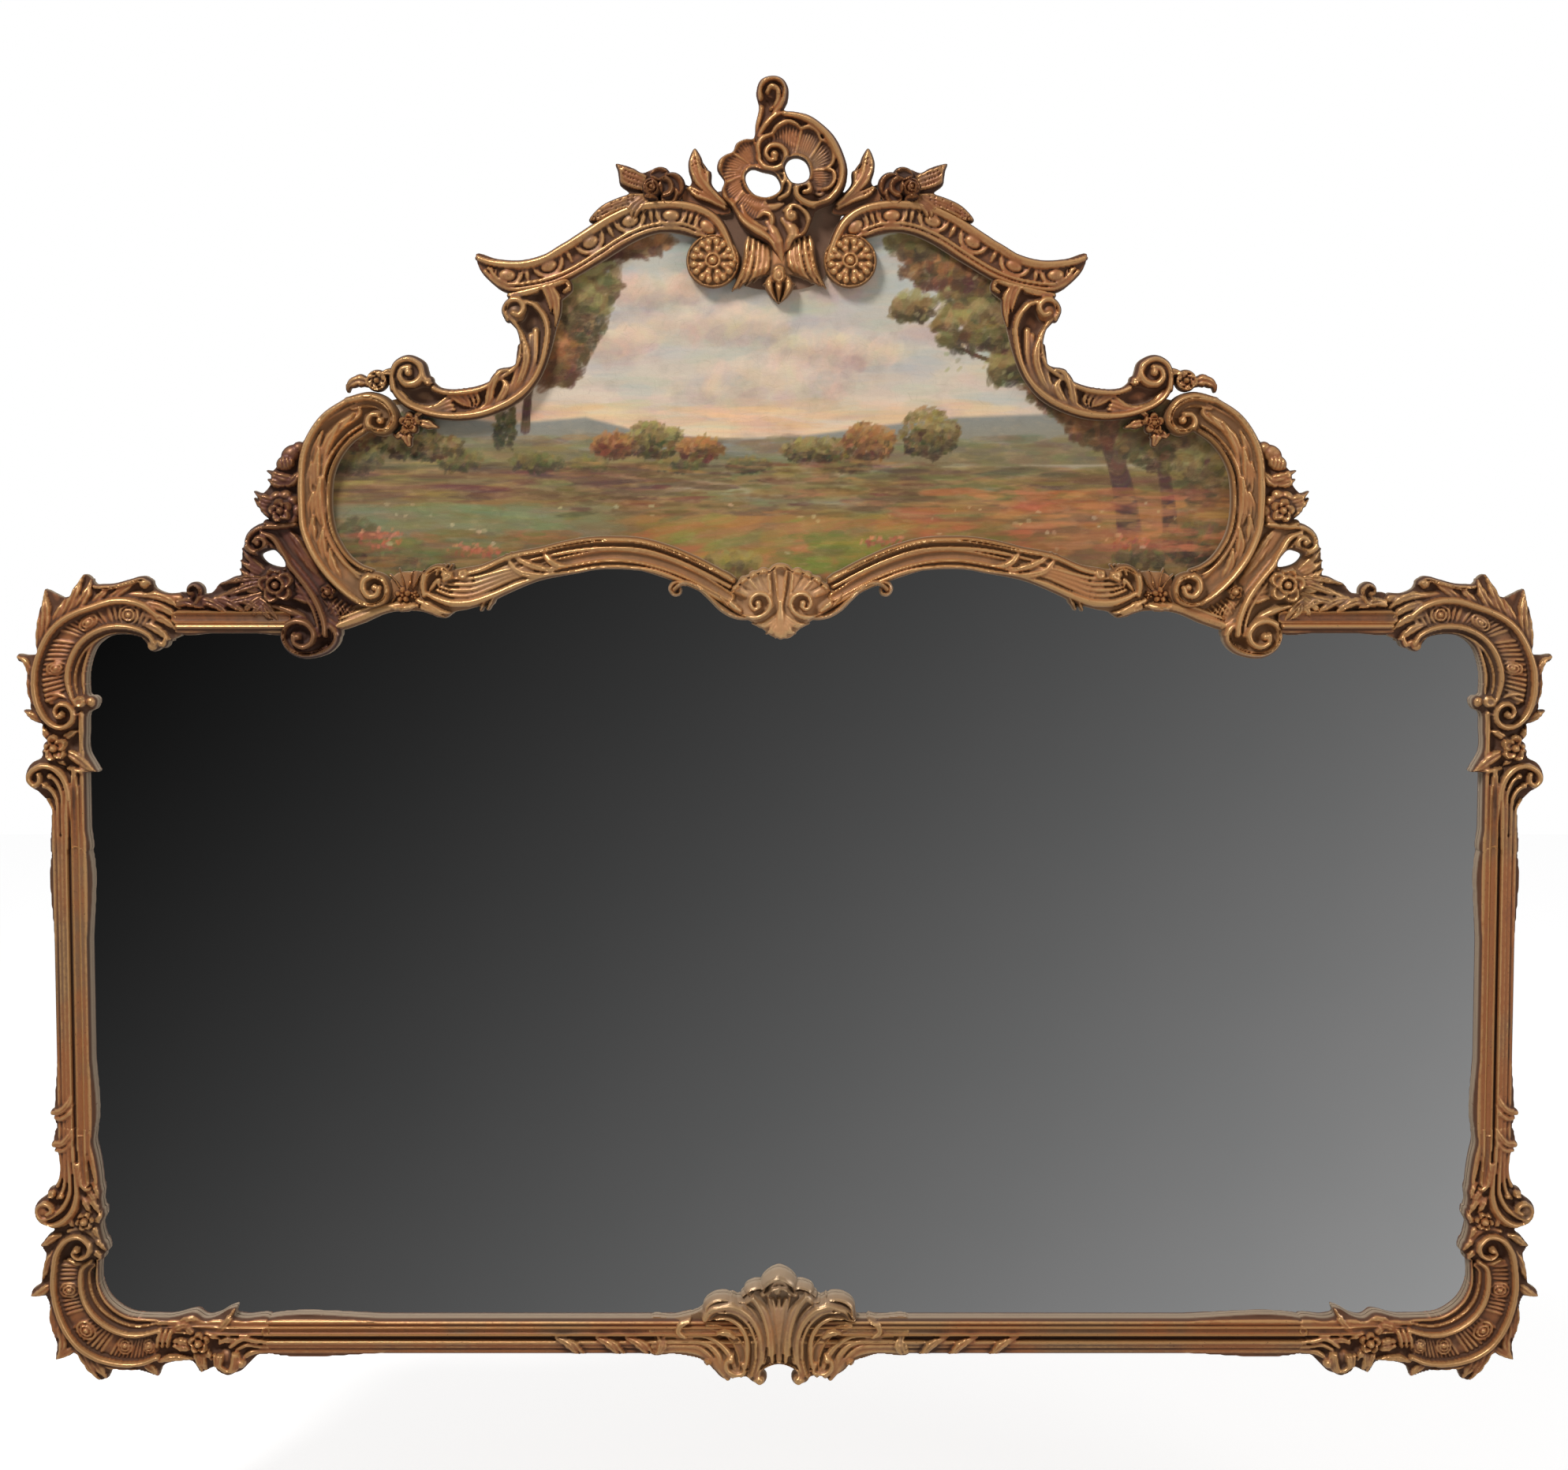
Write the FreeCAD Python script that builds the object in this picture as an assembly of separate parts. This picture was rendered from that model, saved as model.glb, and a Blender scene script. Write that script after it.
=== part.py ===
# Overmantel mirror with a painted panel above the glass (a trumeau), carved and gilded wood.
#
# Millimetres. +X is to the right and +Z is up. The wall plane is y = 0 and the front faces -Y,
# so a "depth" below is the distance in front of the wall. The origin lies on the wall plane, on
# the glass's centre line, at mid height of the back frame's bottom rail.
#
# The back frame is plain pine. It carries the glass, the painted panel and the hangers, and the
# carved pieces of the front are glued on it. A left-hand piece is drawn, and its right-hand
# partner is the mirror image. Outlines run corner, bulge, corner, bulge...: each bulge is the
# middle of an arc between two corners, and None makes that stretch straight.
import FreeCAD, Part
import math
import os

# ---- sizes of the glass and its frame ----
SIGHT_HALF = 816.5          # centre line to the frame's inner (sight) edge
SIGHT_LOW = 25.0            # bottom sight edge
SIGHT_HIGH = 841.0          # top sight edge, where the picture part starts
MOULDING_WIDTH = 41.0       # stiles and rails, across the face
GLASS_LAP = 12.0            # glass held behind the sight edge
GLASS_GAP = 1.0             # between the glass and the back frame
BACK_INSET = 4.0            # back frame kept inside the moulding's outer edge

# ---- depths in front of the wall ----
LAP_DEPTH = 20.0            # back frame's thickness, and the seat of all carved pieces
GLASS_THICKNESS = 5.0
PANEL_THICKNESS = 5.0
BACKBOARD_THICKNESS = 6.0
MOULDING_DEPTH = 46.0       # highest member of the plain mouldings
CARVING_FLOOR = 38.0        # bottom of the channels in the carving
CARVING_CREST = 46.0        # rims of the carving
SCROLL_CREST = 52.0         # raised scrolls and volutes
BLOSSOM_CREST = 58.0        # flowers and shells
CREST_BOARD_DEPTH = 28.0

# ---- picture part ----
PICTURE_AXIS = -3.5         # its centre line sits a little left of the glass's
UPRIGHT_OUTER = 538.0       # from the picture part's centre line
UPRIGHT_WIDTH = 28.0
UPRIGHT_TOP = 236.0         # above the top sight edge
CROSS_BATTEN_HEIGHT = 40.0
TRANSOM_LOW = 45.0          # above the top sight edge
TRANSOM_HEIGHT = 50.0
CENTRE_UPRIGHT_WIDTH = 40.0
CENTRE_UPRIGHT_TOP = 486.0  # above the top sight edge
PANEL_TOP = 420.0           # above the top sight edge, behind the crest
SEAM_GAP = 4.0              # between the glass's top edge and the panel's bottom edge
TOP_RAIL_END = 570.0        # from the picture part's centre line

# ---- hangers on the cross batten ----
HANGER_X = 330.0            # from the picture part's centre line
POCKET_WIDTH = 60.0
POCKET_DEPTH = 8.0
STRAP_WIDTH = 16.0
STRAP_THICKNESS = 1.6
STRAP_HEIGHT = 18.0         # above the batten's lower edge, under the bow of a raised ring
RING_WIRE = 2.0             # radius
RING_CLEARANCE = 0.06       # radial, between the ring and its knuckle
RING_HALF = 16.0            # half of the ring's width, to the wire's centre
RING_LEG = 12.0
KNUCKLE_WALL = 1.6
KNUCKLE_DROP = 5.0          # ring's bar below the batten's lower edge
SCREW_RADIUS = 1.6
SCREW_HOLE_RADIUS = 1.9
SCREW_LENGTH = 8.0
SCREW_HEAD_RADIUS = 3.2
SCREW_HEAD_HEIGHT = 1.2

# ---- glazing fillets ----
FILLET_WIDTH = 10.0
FILLET_SCREW_SPACING = 380.0

# ---- carving details ----
LOWER_CORNER_REACH = 226.0  # up the stile, from the sight corner
UPPER_CORNER_REACH = 255.0  # down the stile
LOWER_CORNER_LENGTH = 203.0 # along the bottom rail
UPPER_CORNER_LENGTH = 112.0 # along the top rail
RAIL_UNDER_SHELL = 36.0     # depth to which the bottom rail runs on behind its shell
RIM = 6.0                   # width of a carved piece's raised rim
BEAD_HALF = 4.0             # half width of a raised scroll
EGG_RADIUS = 9.0
EGG_CREST = 45.0
ROSETTE_RADIUS = 29.0
ROSETTE_PETALS = 10
ROSETTE_SEAT = 34.0
BUD_RADIUS = 8.0

# ---- places that follow from the sizes ----
GLASS_HALF = SIGHT_HALF + GLASS_LAP
GLASS_LOW = SIGHT_LOW - GLASS_LAP
GLASS_HIGH = SIGHT_HIGH + GLASS_LAP
GLASS_BACK = LAP_DEPTH - GLASS_THICKNESS
PANEL_BACK = LAP_DEPTH - PANEL_THICKNESS
BACKBOARD_BACK = GLASS_BACK - BACKBOARD_THICKNESS
BACK_WIDTH = MOULDING_WIDTH - GLASS_LAP - GLASS_GAP - BACK_INSET
BACK_INNER = GLASS_HALF + GLASS_GAP
BACK_OUTER = BACK_INNER + BACK_WIDTH
BACK_LOW = GLASS_LOW - GLASS_GAP - BACK_WIDTH
BACK_HIGH = GLASS_HIGH + GLASS_GAP + BACK_WIDTH
UPRIGHT_INNER = UPRIGHT_OUTER - UPRIGHT_WIDTH
RAISED_HALF = UPRIGHT_INNER - GLASS_GAP
CROSS_LOW = SIGHT_HIGH + UPRIGHT_TOP - CROSS_BATTEN_HEIGHT
BATTEN_DEPTH = PANEL_BACK
RING_Z = CROSS_LOW - KNUCKLE_DROP
KNUCKLE_RADIUS = RING_WIRE + RING_CLEARANCE + KNUCKLE_WALL
RING_DEPTH = POCKET_DEPTH - KNUCKLE_RADIUS
LOWER_CORNER = (-SIGHT_HALF, SIGHT_LOW)
UPPER_CORNER = (-SIGHT_HALF, SIGHT_HIGH)
PICTURE = (PICTURE_AXIS, SIGHT_HIGH)


# ---- drawing ----
def at(x, z, depth=0.0):
    return FreeCAD.Vector(x, -depth, z)


def arcs(points, origin=(0.0, 0.0), closed=True):
    """Wire of arcs and straight runs through corner, bulge, corner, bulge..."""
    placed = [None if p is None else at(p[0] + origin[0], p[1] + origin[1]) for p in points]
    if closed:
        placed = placed + [placed[0]]
    edges = []
    for index in range(0, len(placed) - 1, 2):
        start, bulge, end = placed[index:index + 3]
        if bulge is None:
            edges.append(Part.LineSegment(start, end).toShape())
        else:
            edges.append(Part.Arc(start, bulge, end).toShape())
    return Part.Wire(edges)


def outline(points, origin=(0.0, 0.0)):
    return Part.Face(arcs(points, origin))


def board(face, back, front):
    """A flat face in the wall plane made into a board between two depths."""
    seated = face.copy()
    seated.translate(at(0.0, 0.0, back))
    return seated.extrude(at(0.0, 0.0, front - back))


def column(face):
    """The full depth of the carving over an outline, to cut a neighbour back to it."""
    return board(face, LAP_DEPTH - 1.0, BLOSSOM_CREST + 20.0)


def block(x0, x1, z0, z1, back, front):
    return Part.makeBox(x1 - x0, front - back, z1 - z0, at(x0, z0, front))


def pin(x, z, radius, back, front):
    return Part.makeCylinder(radius, front - back, at(x, z, back), FreeCAD.Vector(0, -1, 0))


def channelled(face, rim=RIM):
    """A carved piece: a board whose middle is sunk, so that a rim stands up all round."""
    middle = face.makeOffset2D(-rim)
    return board(face, LAP_DEPTH, CARVING_CREST).cut(board(middle, CARVING_FLOOR, CARVING_CREST + 1.0))


def scroll(points, origin, front=SCROLL_CREST, half=BEAD_HALF):
    """A raised band of even width along a path of arcs, with round ends."""
    ribbon = Part.Face(arcs(points, origin, closed=False).makeOffset2D(half))
    return board(ribbon, CARVING_FLOOR - 1.0, front)


def volute(x, z, radius, front=SCROLL_CREST):
    """The eye of a scroll: a round boss with a ring groove and a raised button."""
    groove = pin(x, z, radius * 0.72, front - 5.0, front + 1.0)
    button = pin(x, z, radius * 0.4, front - 6.0, front + 2.0)
    return pin(x, z, radius, LAP_DEPTH, front).cut(groove).fuse(button)


def leaf(base, tip, width, origin, back=LAP_DEPTH, front=SCROLL_CREST):
    """A pointed leaf between two points, as two arcs that meet at its tip."""
    dx, dz = tip[0] - base[0], tip[1] - base[1]
    length = math.hypot(dx, dz)
    middle = ((base[0] + tip[0]) / 2, (base[1] + tip[1]) / 2)
    side = (-dz / length * width / 2, dx / length * width / 2)
    left = (middle[0] + side[0], middle[1] + side[1])
    right = (middle[0] - side[0], middle[1] - side[1])
    return board(outline([base, left, tip, right], origin), back, front)


def blossom(x, z, radius, petals, back=LAP_DEPTH, front=BLOSSOM_CREST):
    """An open flower: a ring of round petals over a disc, and a centre bud."""
    flower = pin(x, z, radius * 0.6, back, front - 5.0)
    petal_radius = radius * math.sin(math.pi / petals) * 1.15
    reach = radius - petal_radius
    for index in range(petals):
        turn = 2.0 * math.pi * (index + 0.5) / petals
        petal = pin(x + reach * math.cos(turn), z + reach * math.sin(turn), petal_radius, back, front - 3.0)
        flower = flower.fuse(petal)
    return flower.fuse(pin(x, z, radius * 0.3, back, front))


def mirrored(half, crown, foot):
    """Closed outline, alike on both sides of x = 0, from the corners and bulges of its right side."""
    other = [(-x, z) for x, z in reversed(half)]
    return half + [foot] + other + [crown]


def joined(shapes):
    solid = shapes[0].fuse(shapes[1:])
    return solid.removeSplitter()


def cut_back(shape, faces):
    """Trims a carved piece to the outlines of the pieces that it is fitted against."""
    return shape.cut([column(face) for face in faces])


def other_hand(shape, axis):
    return shape.mirror(FreeCAD.Vector(axis, 0, 0), FreeCAD.Vector(1, 0, 0))


# ---- outlines of the carved pieces: the two corners, from the sight corner ----
LOWER_CORNER_FACE = outline([
    (-41, LOWER_CORNER_REACH), (-48, 212), (-43, 200), (-41, 184), (-44, 160), (-55, 156), (-56, 146),
    (-72, 127), (-50, 109), (-58, 101), (-65, 89), (-59, 78), (-62, 64), (-66, 54), (-65, 43),
    (-79, 31), (-61, 27), (-51, -8), (-51, -49), (-40, -44), (-24, -43), (-6, -56), (3, -75),
    (14, -66), (18, -60), (46, -62), (70, -70), (76, -57), (92, -51), (110, -52), (121, -66),
    (131, -59), (139, -56), (155, -69), (170, -63), (184, -48), (LOWER_CORNER_LENGTH, -41), None,
    (LOWER_CORNER_LENGTH, 0),
    (184, 2), (167, 5), (161, 14), (150, 8), (139, 2), (128, 2), (117, 8), (104, 5), (67, -1),
    (35, 4), (8, 27), (-2, 61), (3, 73), (13, 81), (7, 101), (10, 124), (10, 155), (0, 189),
    None, (0, LOWER_CORNER_REACH), None], LOWER_CORNER)

UPPER_CORNER_FACE = outline([
    (-41, -UPPER_CORNER_REACH), (-39, -228), (-42, -203), (-71, -168), (-53, -148), (-50, -139), (-43, -131),
    (-52, -121), (-47, -110), (-59, -103), (-71, -93), (-65, -74), (-67, -52), (-71, -46),
    (-72, -37), (-81, -29), (-70, -24), (-62, -26), (-56, -26), (-54, 2), (-50, 30), (-48, 42),
    (-45, 51), (-33, 43), (-20, 39), (-7, 51), (1, 68), (12, 64), (18, 54), (39, 56), (58, 62),
    (77, 67), (83, 51), (98, 45), (115, 44), None, (UPPER_CORNER_LENGTH, 0), (104, -7), (95, -13), (84, -25),
    (73, -12), (50, 0), (25, -7), (10, -24), (2, -50), (-1, -62), (2, -72), (16, -81), (3, -92),
    (0, -116), (0, -141), (9, -151), (13, -164), (4, -180), (0, -198), None,
    (0, -UPPER_CORNER_REACH), None],
    UPPER_CORNER)

# ---- outlines of the picture part, from its centre line and the top sight edge ----
SHOULDER_FACE = outline([
    (-483, 240), (-475, 229), (-458, 226), (-443, 240), (-448, 260), (-474, 276), (-508, 270),
    (-539, 242), (-556, 205), (-563, 160), (-556, 110), (-530, 62), (-488, 29), (-463, 29),
    (-452, 48), (-456, 64), (-466, 71), (-484, 71), (-498, 76), (-521, 104), (-529, 150),
    (-519, 201), (-498, 227), (-490, 235)], PICTURE)

BRACKET_FACE = outline([
    (-553, 121), (-578, 127), (-598, 126), (-619, 119), (-623, 103), (-632, 86), (-625, 66),
    (-630, 63), (-632, 58), (-610, 30), (-581, 8), None, (-581, -3), (-554, -27), (-517, -3),
    (-508, 4), (-493, 10), None, (-478, 42), None, (-538, 121), None], PICTURE)
EAR_HOLE = outline([
    (-605, 90), (-596, 96), (-588, 95), (-581, 88), (-578, 77), (-590, 76), (-601, 80),
    (-604, 84)], PICTURE)

GARLAND_FACE = outline([
    (-702, 44), None, (-692, 47), (-683, 58), (-670, 46), (-666, 45), (-659, 50), (-653, 57),
    (-646, 60), (-636, 61), (-626, 64), (-612, 38), (-588, 10), (-597, 14), (-606, 15),
    (-614, 19), (-622, 17), (-632, 25), (-644, 17), (-650, 25), (-659, 23), (-673, 27),
    (-688, 22), (-695, 26), (-702, 26), None], PICTURE)

BOUQUET_FACE = outline([
    (-555, 218), (-561, 217), (-568, 208), (-582, 204), (-586, 188), (-591, 184), (-598, 187),
    (-595, 174), (-589, 164), (-599, 157), (-612, 163), (-612, 147), (-598, 137), (-598, 129),
    (-592, 120), (-572, 112), (-548, 120), None, (-548, 170), None], PICTURE)

NECK_FACE = outline([
    (-453, 298), (-444, 265), (-408, 249), (-358, 247), (-316, 262), (-278, 295), (-266, 345),
    (-268, 372), (-280, 392), None, (-314, 392), (-321, 370), (-310, 353), (-306, 347),
    (-306, 341), (-302, 324), (-312, 307), (-326, 305), (-335, 290), (-368, 281), (-398, 285),
    (-403, 294), (-411, 300), (-431, 321)], PICTURE)

ARCH_FACE = outline([
    (-354, 431), (-352, 437), (-347, 436), (-313, 429), (-278, 435), (-243, 454), (-203, 480),
    (-148, 499), (-97, 494), (-59, 464), (-47, 425), (-56, 403), (-77, 397), (-106, 416),
    (-101, 450), (-138, 462), (-178, 446), (-210, 426), (-243, 406), (-283, 392), (-320, 392),
    (-342, 409)], PICTURE)

ROSE_FACE = outline([
    (-224, 475), (-212, 486), (-209, 492), (-199, 496), (-184, 505), (-185, 511), (-190, 518),
    (-194, 530), (-190, 540), (-182, 535), (-174, 534), (-168, 536), (-158, 527), (-152, 529),
    (-147, 534), (-134, 537), (-122, 528), (-114, 531), (-108, 520), (-108, 502), (-118, 489),
    (-130, 484), (-146, 485), (-152, 482), (-160, 476), (-170, 466), (-180, 479), (-192, 480),
    (-208, 471), (-214, 469)], PICTURE)

CREST_LEAF_FACE = outline([
    (-102, 558), (-108, 549), (-108, 540), (-107, 530), (-110, 515), (-104, 508), (-108, 502),
    (-92, 497), (-62, 486), (-73, 501), (-78, 518), (-78, 528), (-87, 535), (-90, 548)], PICTURE)

MID_RAIL_FACE = outline([
    (-517, 2), (-478, 17), (-438, 24), (-423, 25), (-398, 18), (-386, 20), (-378, 26),
    (-350, 30), (-328, 41), (-296, 54), (-258, 64), (-198, 76), (-128, 63), (-93, 47),
    (-58, 24), None, (-58, 60), (-88, 82), (-120, 96), (-188, 112), (-268, 102), (-318, 90),
    (-364, 73), (-376, 70), (-382, 76), (-399, 82), (-416, 66), (-422, 50), (-418, 38),
    (-450, 35), (-503, 22), (-511, 14)], PICTURE)

MID_SHELL_FACE = outline(mirrored([
    (13, 70), (25, 73), (36, 63), (43, 62), (47, 54), (54, 52), (58, 42), (62, 34), (62, 26),
    (48, 16), (34, 13), (28, 4), (18, 1), (14, -5), (8, -7)], (0, 77), (0, -10)), PICTURE)
MID_SHELL_ARM = [(52, 20), (66, 28), (78, 39), (90, 50), (106, 57), (114, 58), (122, 52)]

BOTTOM_SHELL_FACE = outline(mirrored([
    (17, 38), (30, 39), (42, 25), (56, 28), (68, 24), (80, 24), (89, 12), (97, 8), (100, 0),
    (100, -24), (95, -49), (87, -60), (76, -67), (65, -72), (52, -71), (42, -75), (33, -73),
    (23, -79), (13, -71), (12, -62), (13, -55)], (0, 60), (0, -51)), (PICTURE_AXIS, SIGHT_LOW))

CARTOUCHE_FACE = outline([
    (-31, 566), (-47, 566), (-56, 552), (-73, 538), (-66, 516), (-68, 503), (-61, 489),
    (-50, 470), (-28, 455), (-13, 449), (-5, 437), (-3, 430), (2, 424), (8, 434), (12, 446),
    (28, 452), (33, 470), (34, 480), (40, 486), (66, 497), (74, 530), (64, 568), (27, 595),
    (15, 599), (7, 606), None, (3, 609), (-10, 639), (-21, 607), (-25, 600), (-26, 588),
    (-30, 578)], PICTURE)
CREST_HOLES = [
    outline([(-43, 518), (-41, 530), (-34, 532), (-24, 528), (-8, 527), (0, 517), (-2, 506),
             (-20, 501), (-38, 510), (-42, 514)], PICTURE),
    outline([(4, 522), (3, 534), (9, 543), (22, 545), (31, 533), (30, 522), (22, 517),
             (12, 518)], PICTURE)]

CREST_BOARD_FACE = outline([
    (-74, 493), (-20, 500), (66, 493), (52, 475), (50, 440), None, (50, 400), None, (20, 396),
    None, (-20, 396), None, (-50, 400), None, (-50, 440), (-58, 470)], PICTURE)

ROSETTE_X = -77.5
ROSETTE_Z = 428.0
EGGS = [(-316, 412), (-268, 423), (-218, 450), (-178, 471), (-128, 480), (-84, 467)]


# ---- back frame ----
def back_stile():
    return block(-BACK_OUTER, -BACK_INNER, BACK_LOW, BACK_HIGH, 0.0, LAP_DEPTH)


def back_bottom_rail():
    return block(-BACK_INNER, BACK_INNER, BACK_LOW, BACK_LOW + BACK_WIDTH, 0.0, LAP_DEPTH)


def back_top_rail(inner_end):
    """One side's top rail, from the stile to the raised middle of the glass."""
    return block(-BACK_INNER, inner_end, BACK_HIGH - BACK_WIDTH, BACK_HIGH, 0.0, LAP_DEPTH)


def upright():
    x = PICTURE_AXIS - UPRIGHT_OUTER
    return block(x, x + UPRIGHT_WIDTH, BACK_HIGH, SIGHT_HIGH + UPRIGHT_TOP, 0.0, BATTEN_DEPTH)


def transom():
    low = SIGHT_HIGH + TRANSOM_LOW
    left, right = PICTURE_AXIS - UPRIGHT_INNER, PICTURE_AXIS + UPRIGHT_INNER
    return block(left, right, low, low + TRANSOM_HEIGHT, 0.0, BACKBOARD_BACK)


def hanger_screw_places(side):
    x = PICTURE_AXIS + side * HANGER_X
    return [(x, CROSS_LOW + STRAP_HEIGHT * share) for share in (0.3, 0.75)]


def cross_batten():
    """The batten that carries the hangers, each in a pocket so that it clears the wall."""
    left, right = PICTURE_AXIS - UPRIGHT_INNER, PICTURE_AXIS + UPRIGHT_INNER
    top = CROSS_LOW + CROSS_BATTEN_HEIGHT
    batten = block(left, right, CROSS_LOW, top, 0.0, BATTEN_DEPTH)
    half = CENTRE_UPRIGHT_WIDTH / 2
    batten = batten.cut(block(PICTURE_AXIS - half, PICTURE_AXIS + half, CROSS_LOW, top,
                              BATTEN_DEPTH / 2, BATTEN_DEPTH + 1.0))
    for side in (-1, 1):
        x = PICTURE_AXIS + side * HANGER_X
        half = POCKET_WIDTH / 2
        batten = batten.cut(block(x - half, x + half, CROSS_LOW - 1.0, top + 1.0, -1.0, POCKET_DEPTH))
        for hole_x, hole_z in hanger_screw_places(side):
            batten = batten.cut(pin(hole_x, hole_z, SCREW_HOLE_RADIUS, -1.0, BATTEN_DEPTH + 1.0))
    return batten


def centre_upright():
    """Stands on the transom, is halved over the cross batten and reaches up behind the crest."""
    low = SIGHT_HIGH + TRANSOM_LOW + TRANSOM_HEIGHT
    top = SIGHT_HIGH + CENTRE_UPRIGHT_TOP
    left, right = PICTURE_AXIS - CENTRE_UPRIGHT_WIDTH / 2, PICTURE_AXIS + CENTRE_UPRIGHT_WIDTH / 2
    stem = block(left, right, low, top, 0.0, BATTEN_DEPTH)
    head = block(left, right, SIGHT_HIGH + PANEL_TOP + GLASS_GAP, top, 0.0, LAP_DEPTH)
    halving = block(left - 1.0, right + 1.0, CROSS_LOW, CROSS_LOW + CROSS_BATTEN_HEIGHT, -1.0,
                    BATTEN_DEPTH / 2)
    return stem.fuse(head).cut(halving)


# ---- glass, painted panel and what holds them ----
def seam(shift):
    """The line along the transom rail where the glass ends and the painted panel starts."""
    half = [(RAISED_HALF, 34), (438, 47), (378, 50), (318, 68), (248, 84), (190, 91), (120, 75), (60, 45)]
    points = [(-x, z) for x, z in half] + [(0, 36)] + [(x, z) for x, z in reversed(half)]
    curve = Part.BSplineCurve()
    curve.interpolate([at(x + PICTURE_AXIS, z + SIGHT_HIGH + shift) for x, z in points])
    return curve.toShape(), points[0], points[-1]


def plate_below_seam(side_gap, back, front):
    """A plate over the whole glass opening, raised in the middle up to the seam."""
    top, first, last = seam(-SEAM_GAP / 2)
    left, right = first[0] + PICTURE_AXIS, last[0] + PICTURE_AXIS
    end = first[1] + SIGHT_HIGH - SEAM_GAP / 2
    half, low, high = GLASS_HALF - side_gap, GLASS_LOW + side_gap, GLASS_HIGH - side_gap
    corners = [(left, end), (left, high), (-half, high), (-half, low), (half, low), (half, high),
               (right, high), (right, end)]
    edges = [top]
    for a, b in zip(corners, corners[1:]):
        edges.append(Part.LineSegment(at(*a), at(*b)).toShape())
    return board(Part.Face(Part.Wire(Part.sortEdges(edges)[0])), back, front)


def mirror_glass():
    return plate_below_seam(0.0, GLASS_BACK, LAP_DEPTH)


def glass_backboard():
    return plate_below_seam(2.0, BACKBOARD_BACK, GLASS_BACK)


def painted_panel():
    """The picture's board. Its edge runs hidden behind the scrolls, the arches and the crest."""
    bottom, first, last = seam(SEAM_GAP / 2)
    side = [(-532, 66), (-546, 110), (-546, 190), (-520, 236), (-484, 262), (-440, 272), (-400, 262),
            (-355, 262), (-313, 280), (-290, 310), (-280, 350), (-292, 400), (-248, 420), (-212, 440),
            (-178, 458), (-138, 474), (-104, 466), (-92, PANEL_TOP)]
    path = [(first[0], first[1] + SEAM_GAP / 2)] + side + [(-x, z) for x, z in reversed(side)]
    path.append((last[0], last[1] + SEAM_GAP / 2))
    edges = [bottom]
    for a, b in zip(path, path[1:]):
        start, end = at(a[0] + PICTURE_AXIS, a[1] + SIGHT_HIGH), at(b[0] + PICTURE_AXIS, b[1] + SIGHT_HIGH)
        edges.append(Part.LineSegment(start, end).toShape())
    return board(Part.Face(Part.Wire(Part.sortEdges(edges)[0])), PANEL_BACK, LAP_DEPTH)


def fillet_screw_places():
    count = int(2 * GLASS_HALF // FILLET_SCREW_SPACING)
    first = -FILLET_SCREW_SPACING * (count - 1) / 2
    places = []
    for z in (GLASS_LOW + FILLET_WIDTH / 2, GLASS_HIGH - FILLET_WIDTH / 2):
        for index in range(count):
            x = first + index * FILLET_SCREW_SPACING
            if z < SIGHT_LOW or abs(x - PICTURE_AXIS) > UPRIGHT_OUTER:
                places.append((x, z))
    return places


def glazing_fillets():
    """Pine strips inside the back frame, screwed over the edge of the backboard."""
    left, right = PICTURE_AXIS - UPRIGHT_OUTER, PICTURE_AXIS + UPRIGHT_OUTER
    half, low, high = GLASS_HALF + GLASS_GAP, GLASS_LOW - GLASS_GAP, GLASS_HIGH + GLASS_GAP
    strips = [
        block(-half, half, low, low + FILLET_WIDTH, 0.0, BACKBOARD_BACK),
        block(-half, left, high - FILLET_WIDTH, high, 0.0, BACKBOARD_BACK),
        block(right, half, high - FILLET_WIDTH, high, 0.0, BACKBOARD_BACK),
        block(-half, -half + FILLET_WIDTH, low + FILLET_WIDTH, high - FILLET_WIDTH, 0.0, BACKBOARD_BACK),
        block(half - FILLET_WIDTH, half, low + FILLET_WIDTH, high - FILLET_WIDTH, 0.0, BACKBOARD_BACK)]
    holes = [pin(x, z, SCREW_HOLE_RADIUS, -1.0, BACKBOARD_BACK + 1.0) for x, z in fillet_screw_places()]
    sinks = [pin(x, z, SCREW_HEAD_RADIUS + 0.3, -1.0, SCREW_HEAD_HEIGHT) for x, z in fillet_screw_places()]
    return Part.makeCompound([strip.cut(holes + sinks) for strip in strips])


def fillet_screws():
    screws = []
    for x, z in fillet_screw_places():
        head = pin(x, z, SCREW_HEAD_RADIUS, 0.0, SCREW_HEAD_HEIGHT)
        screws.append(head.fuse(pin(x, z, SCREW_RADIUS, 0.5, BACKBOARD_BACK - 0.5)))
    return Part.makeCompound(screws)


# ---- hangers ----
def hanger_strap():
    """A steel strap folded round the ring's bar and screwed into its pocket."""
    x = PICTURE_AXIS - HANGER_X
    half = STRAP_WIDTH / 2
    plate = block(x - half, x + half, RING_Z, CROSS_LOW + STRAP_HEIGHT,
                  POCKET_DEPTH - STRAP_THICKNESS, POCKET_DEPTH)
    along = FreeCAD.Vector(1, 0, 0)
    knuckle = Part.makeCylinder(KNUCKLE_RADIUS, STRAP_WIDTH, at(x - half, RING_Z, RING_DEPTH), along)
    bore = Part.makeCylinder(RING_WIRE + RING_CLEARANCE, STRAP_WIDTH + 2.0,
                             at(x - half - 1.0, RING_Z, RING_DEPTH), along)
    strap = plate.fuse(knuckle).cut(bore)
    for hole_x, hole_z in hanger_screw_places(-1):
        strap = strap.cut(pin(hole_x, hole_z, SCREW_HOLE_RADIUS, 0.0, POCKET_DEPTH + 1.0))
    return strap


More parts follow.
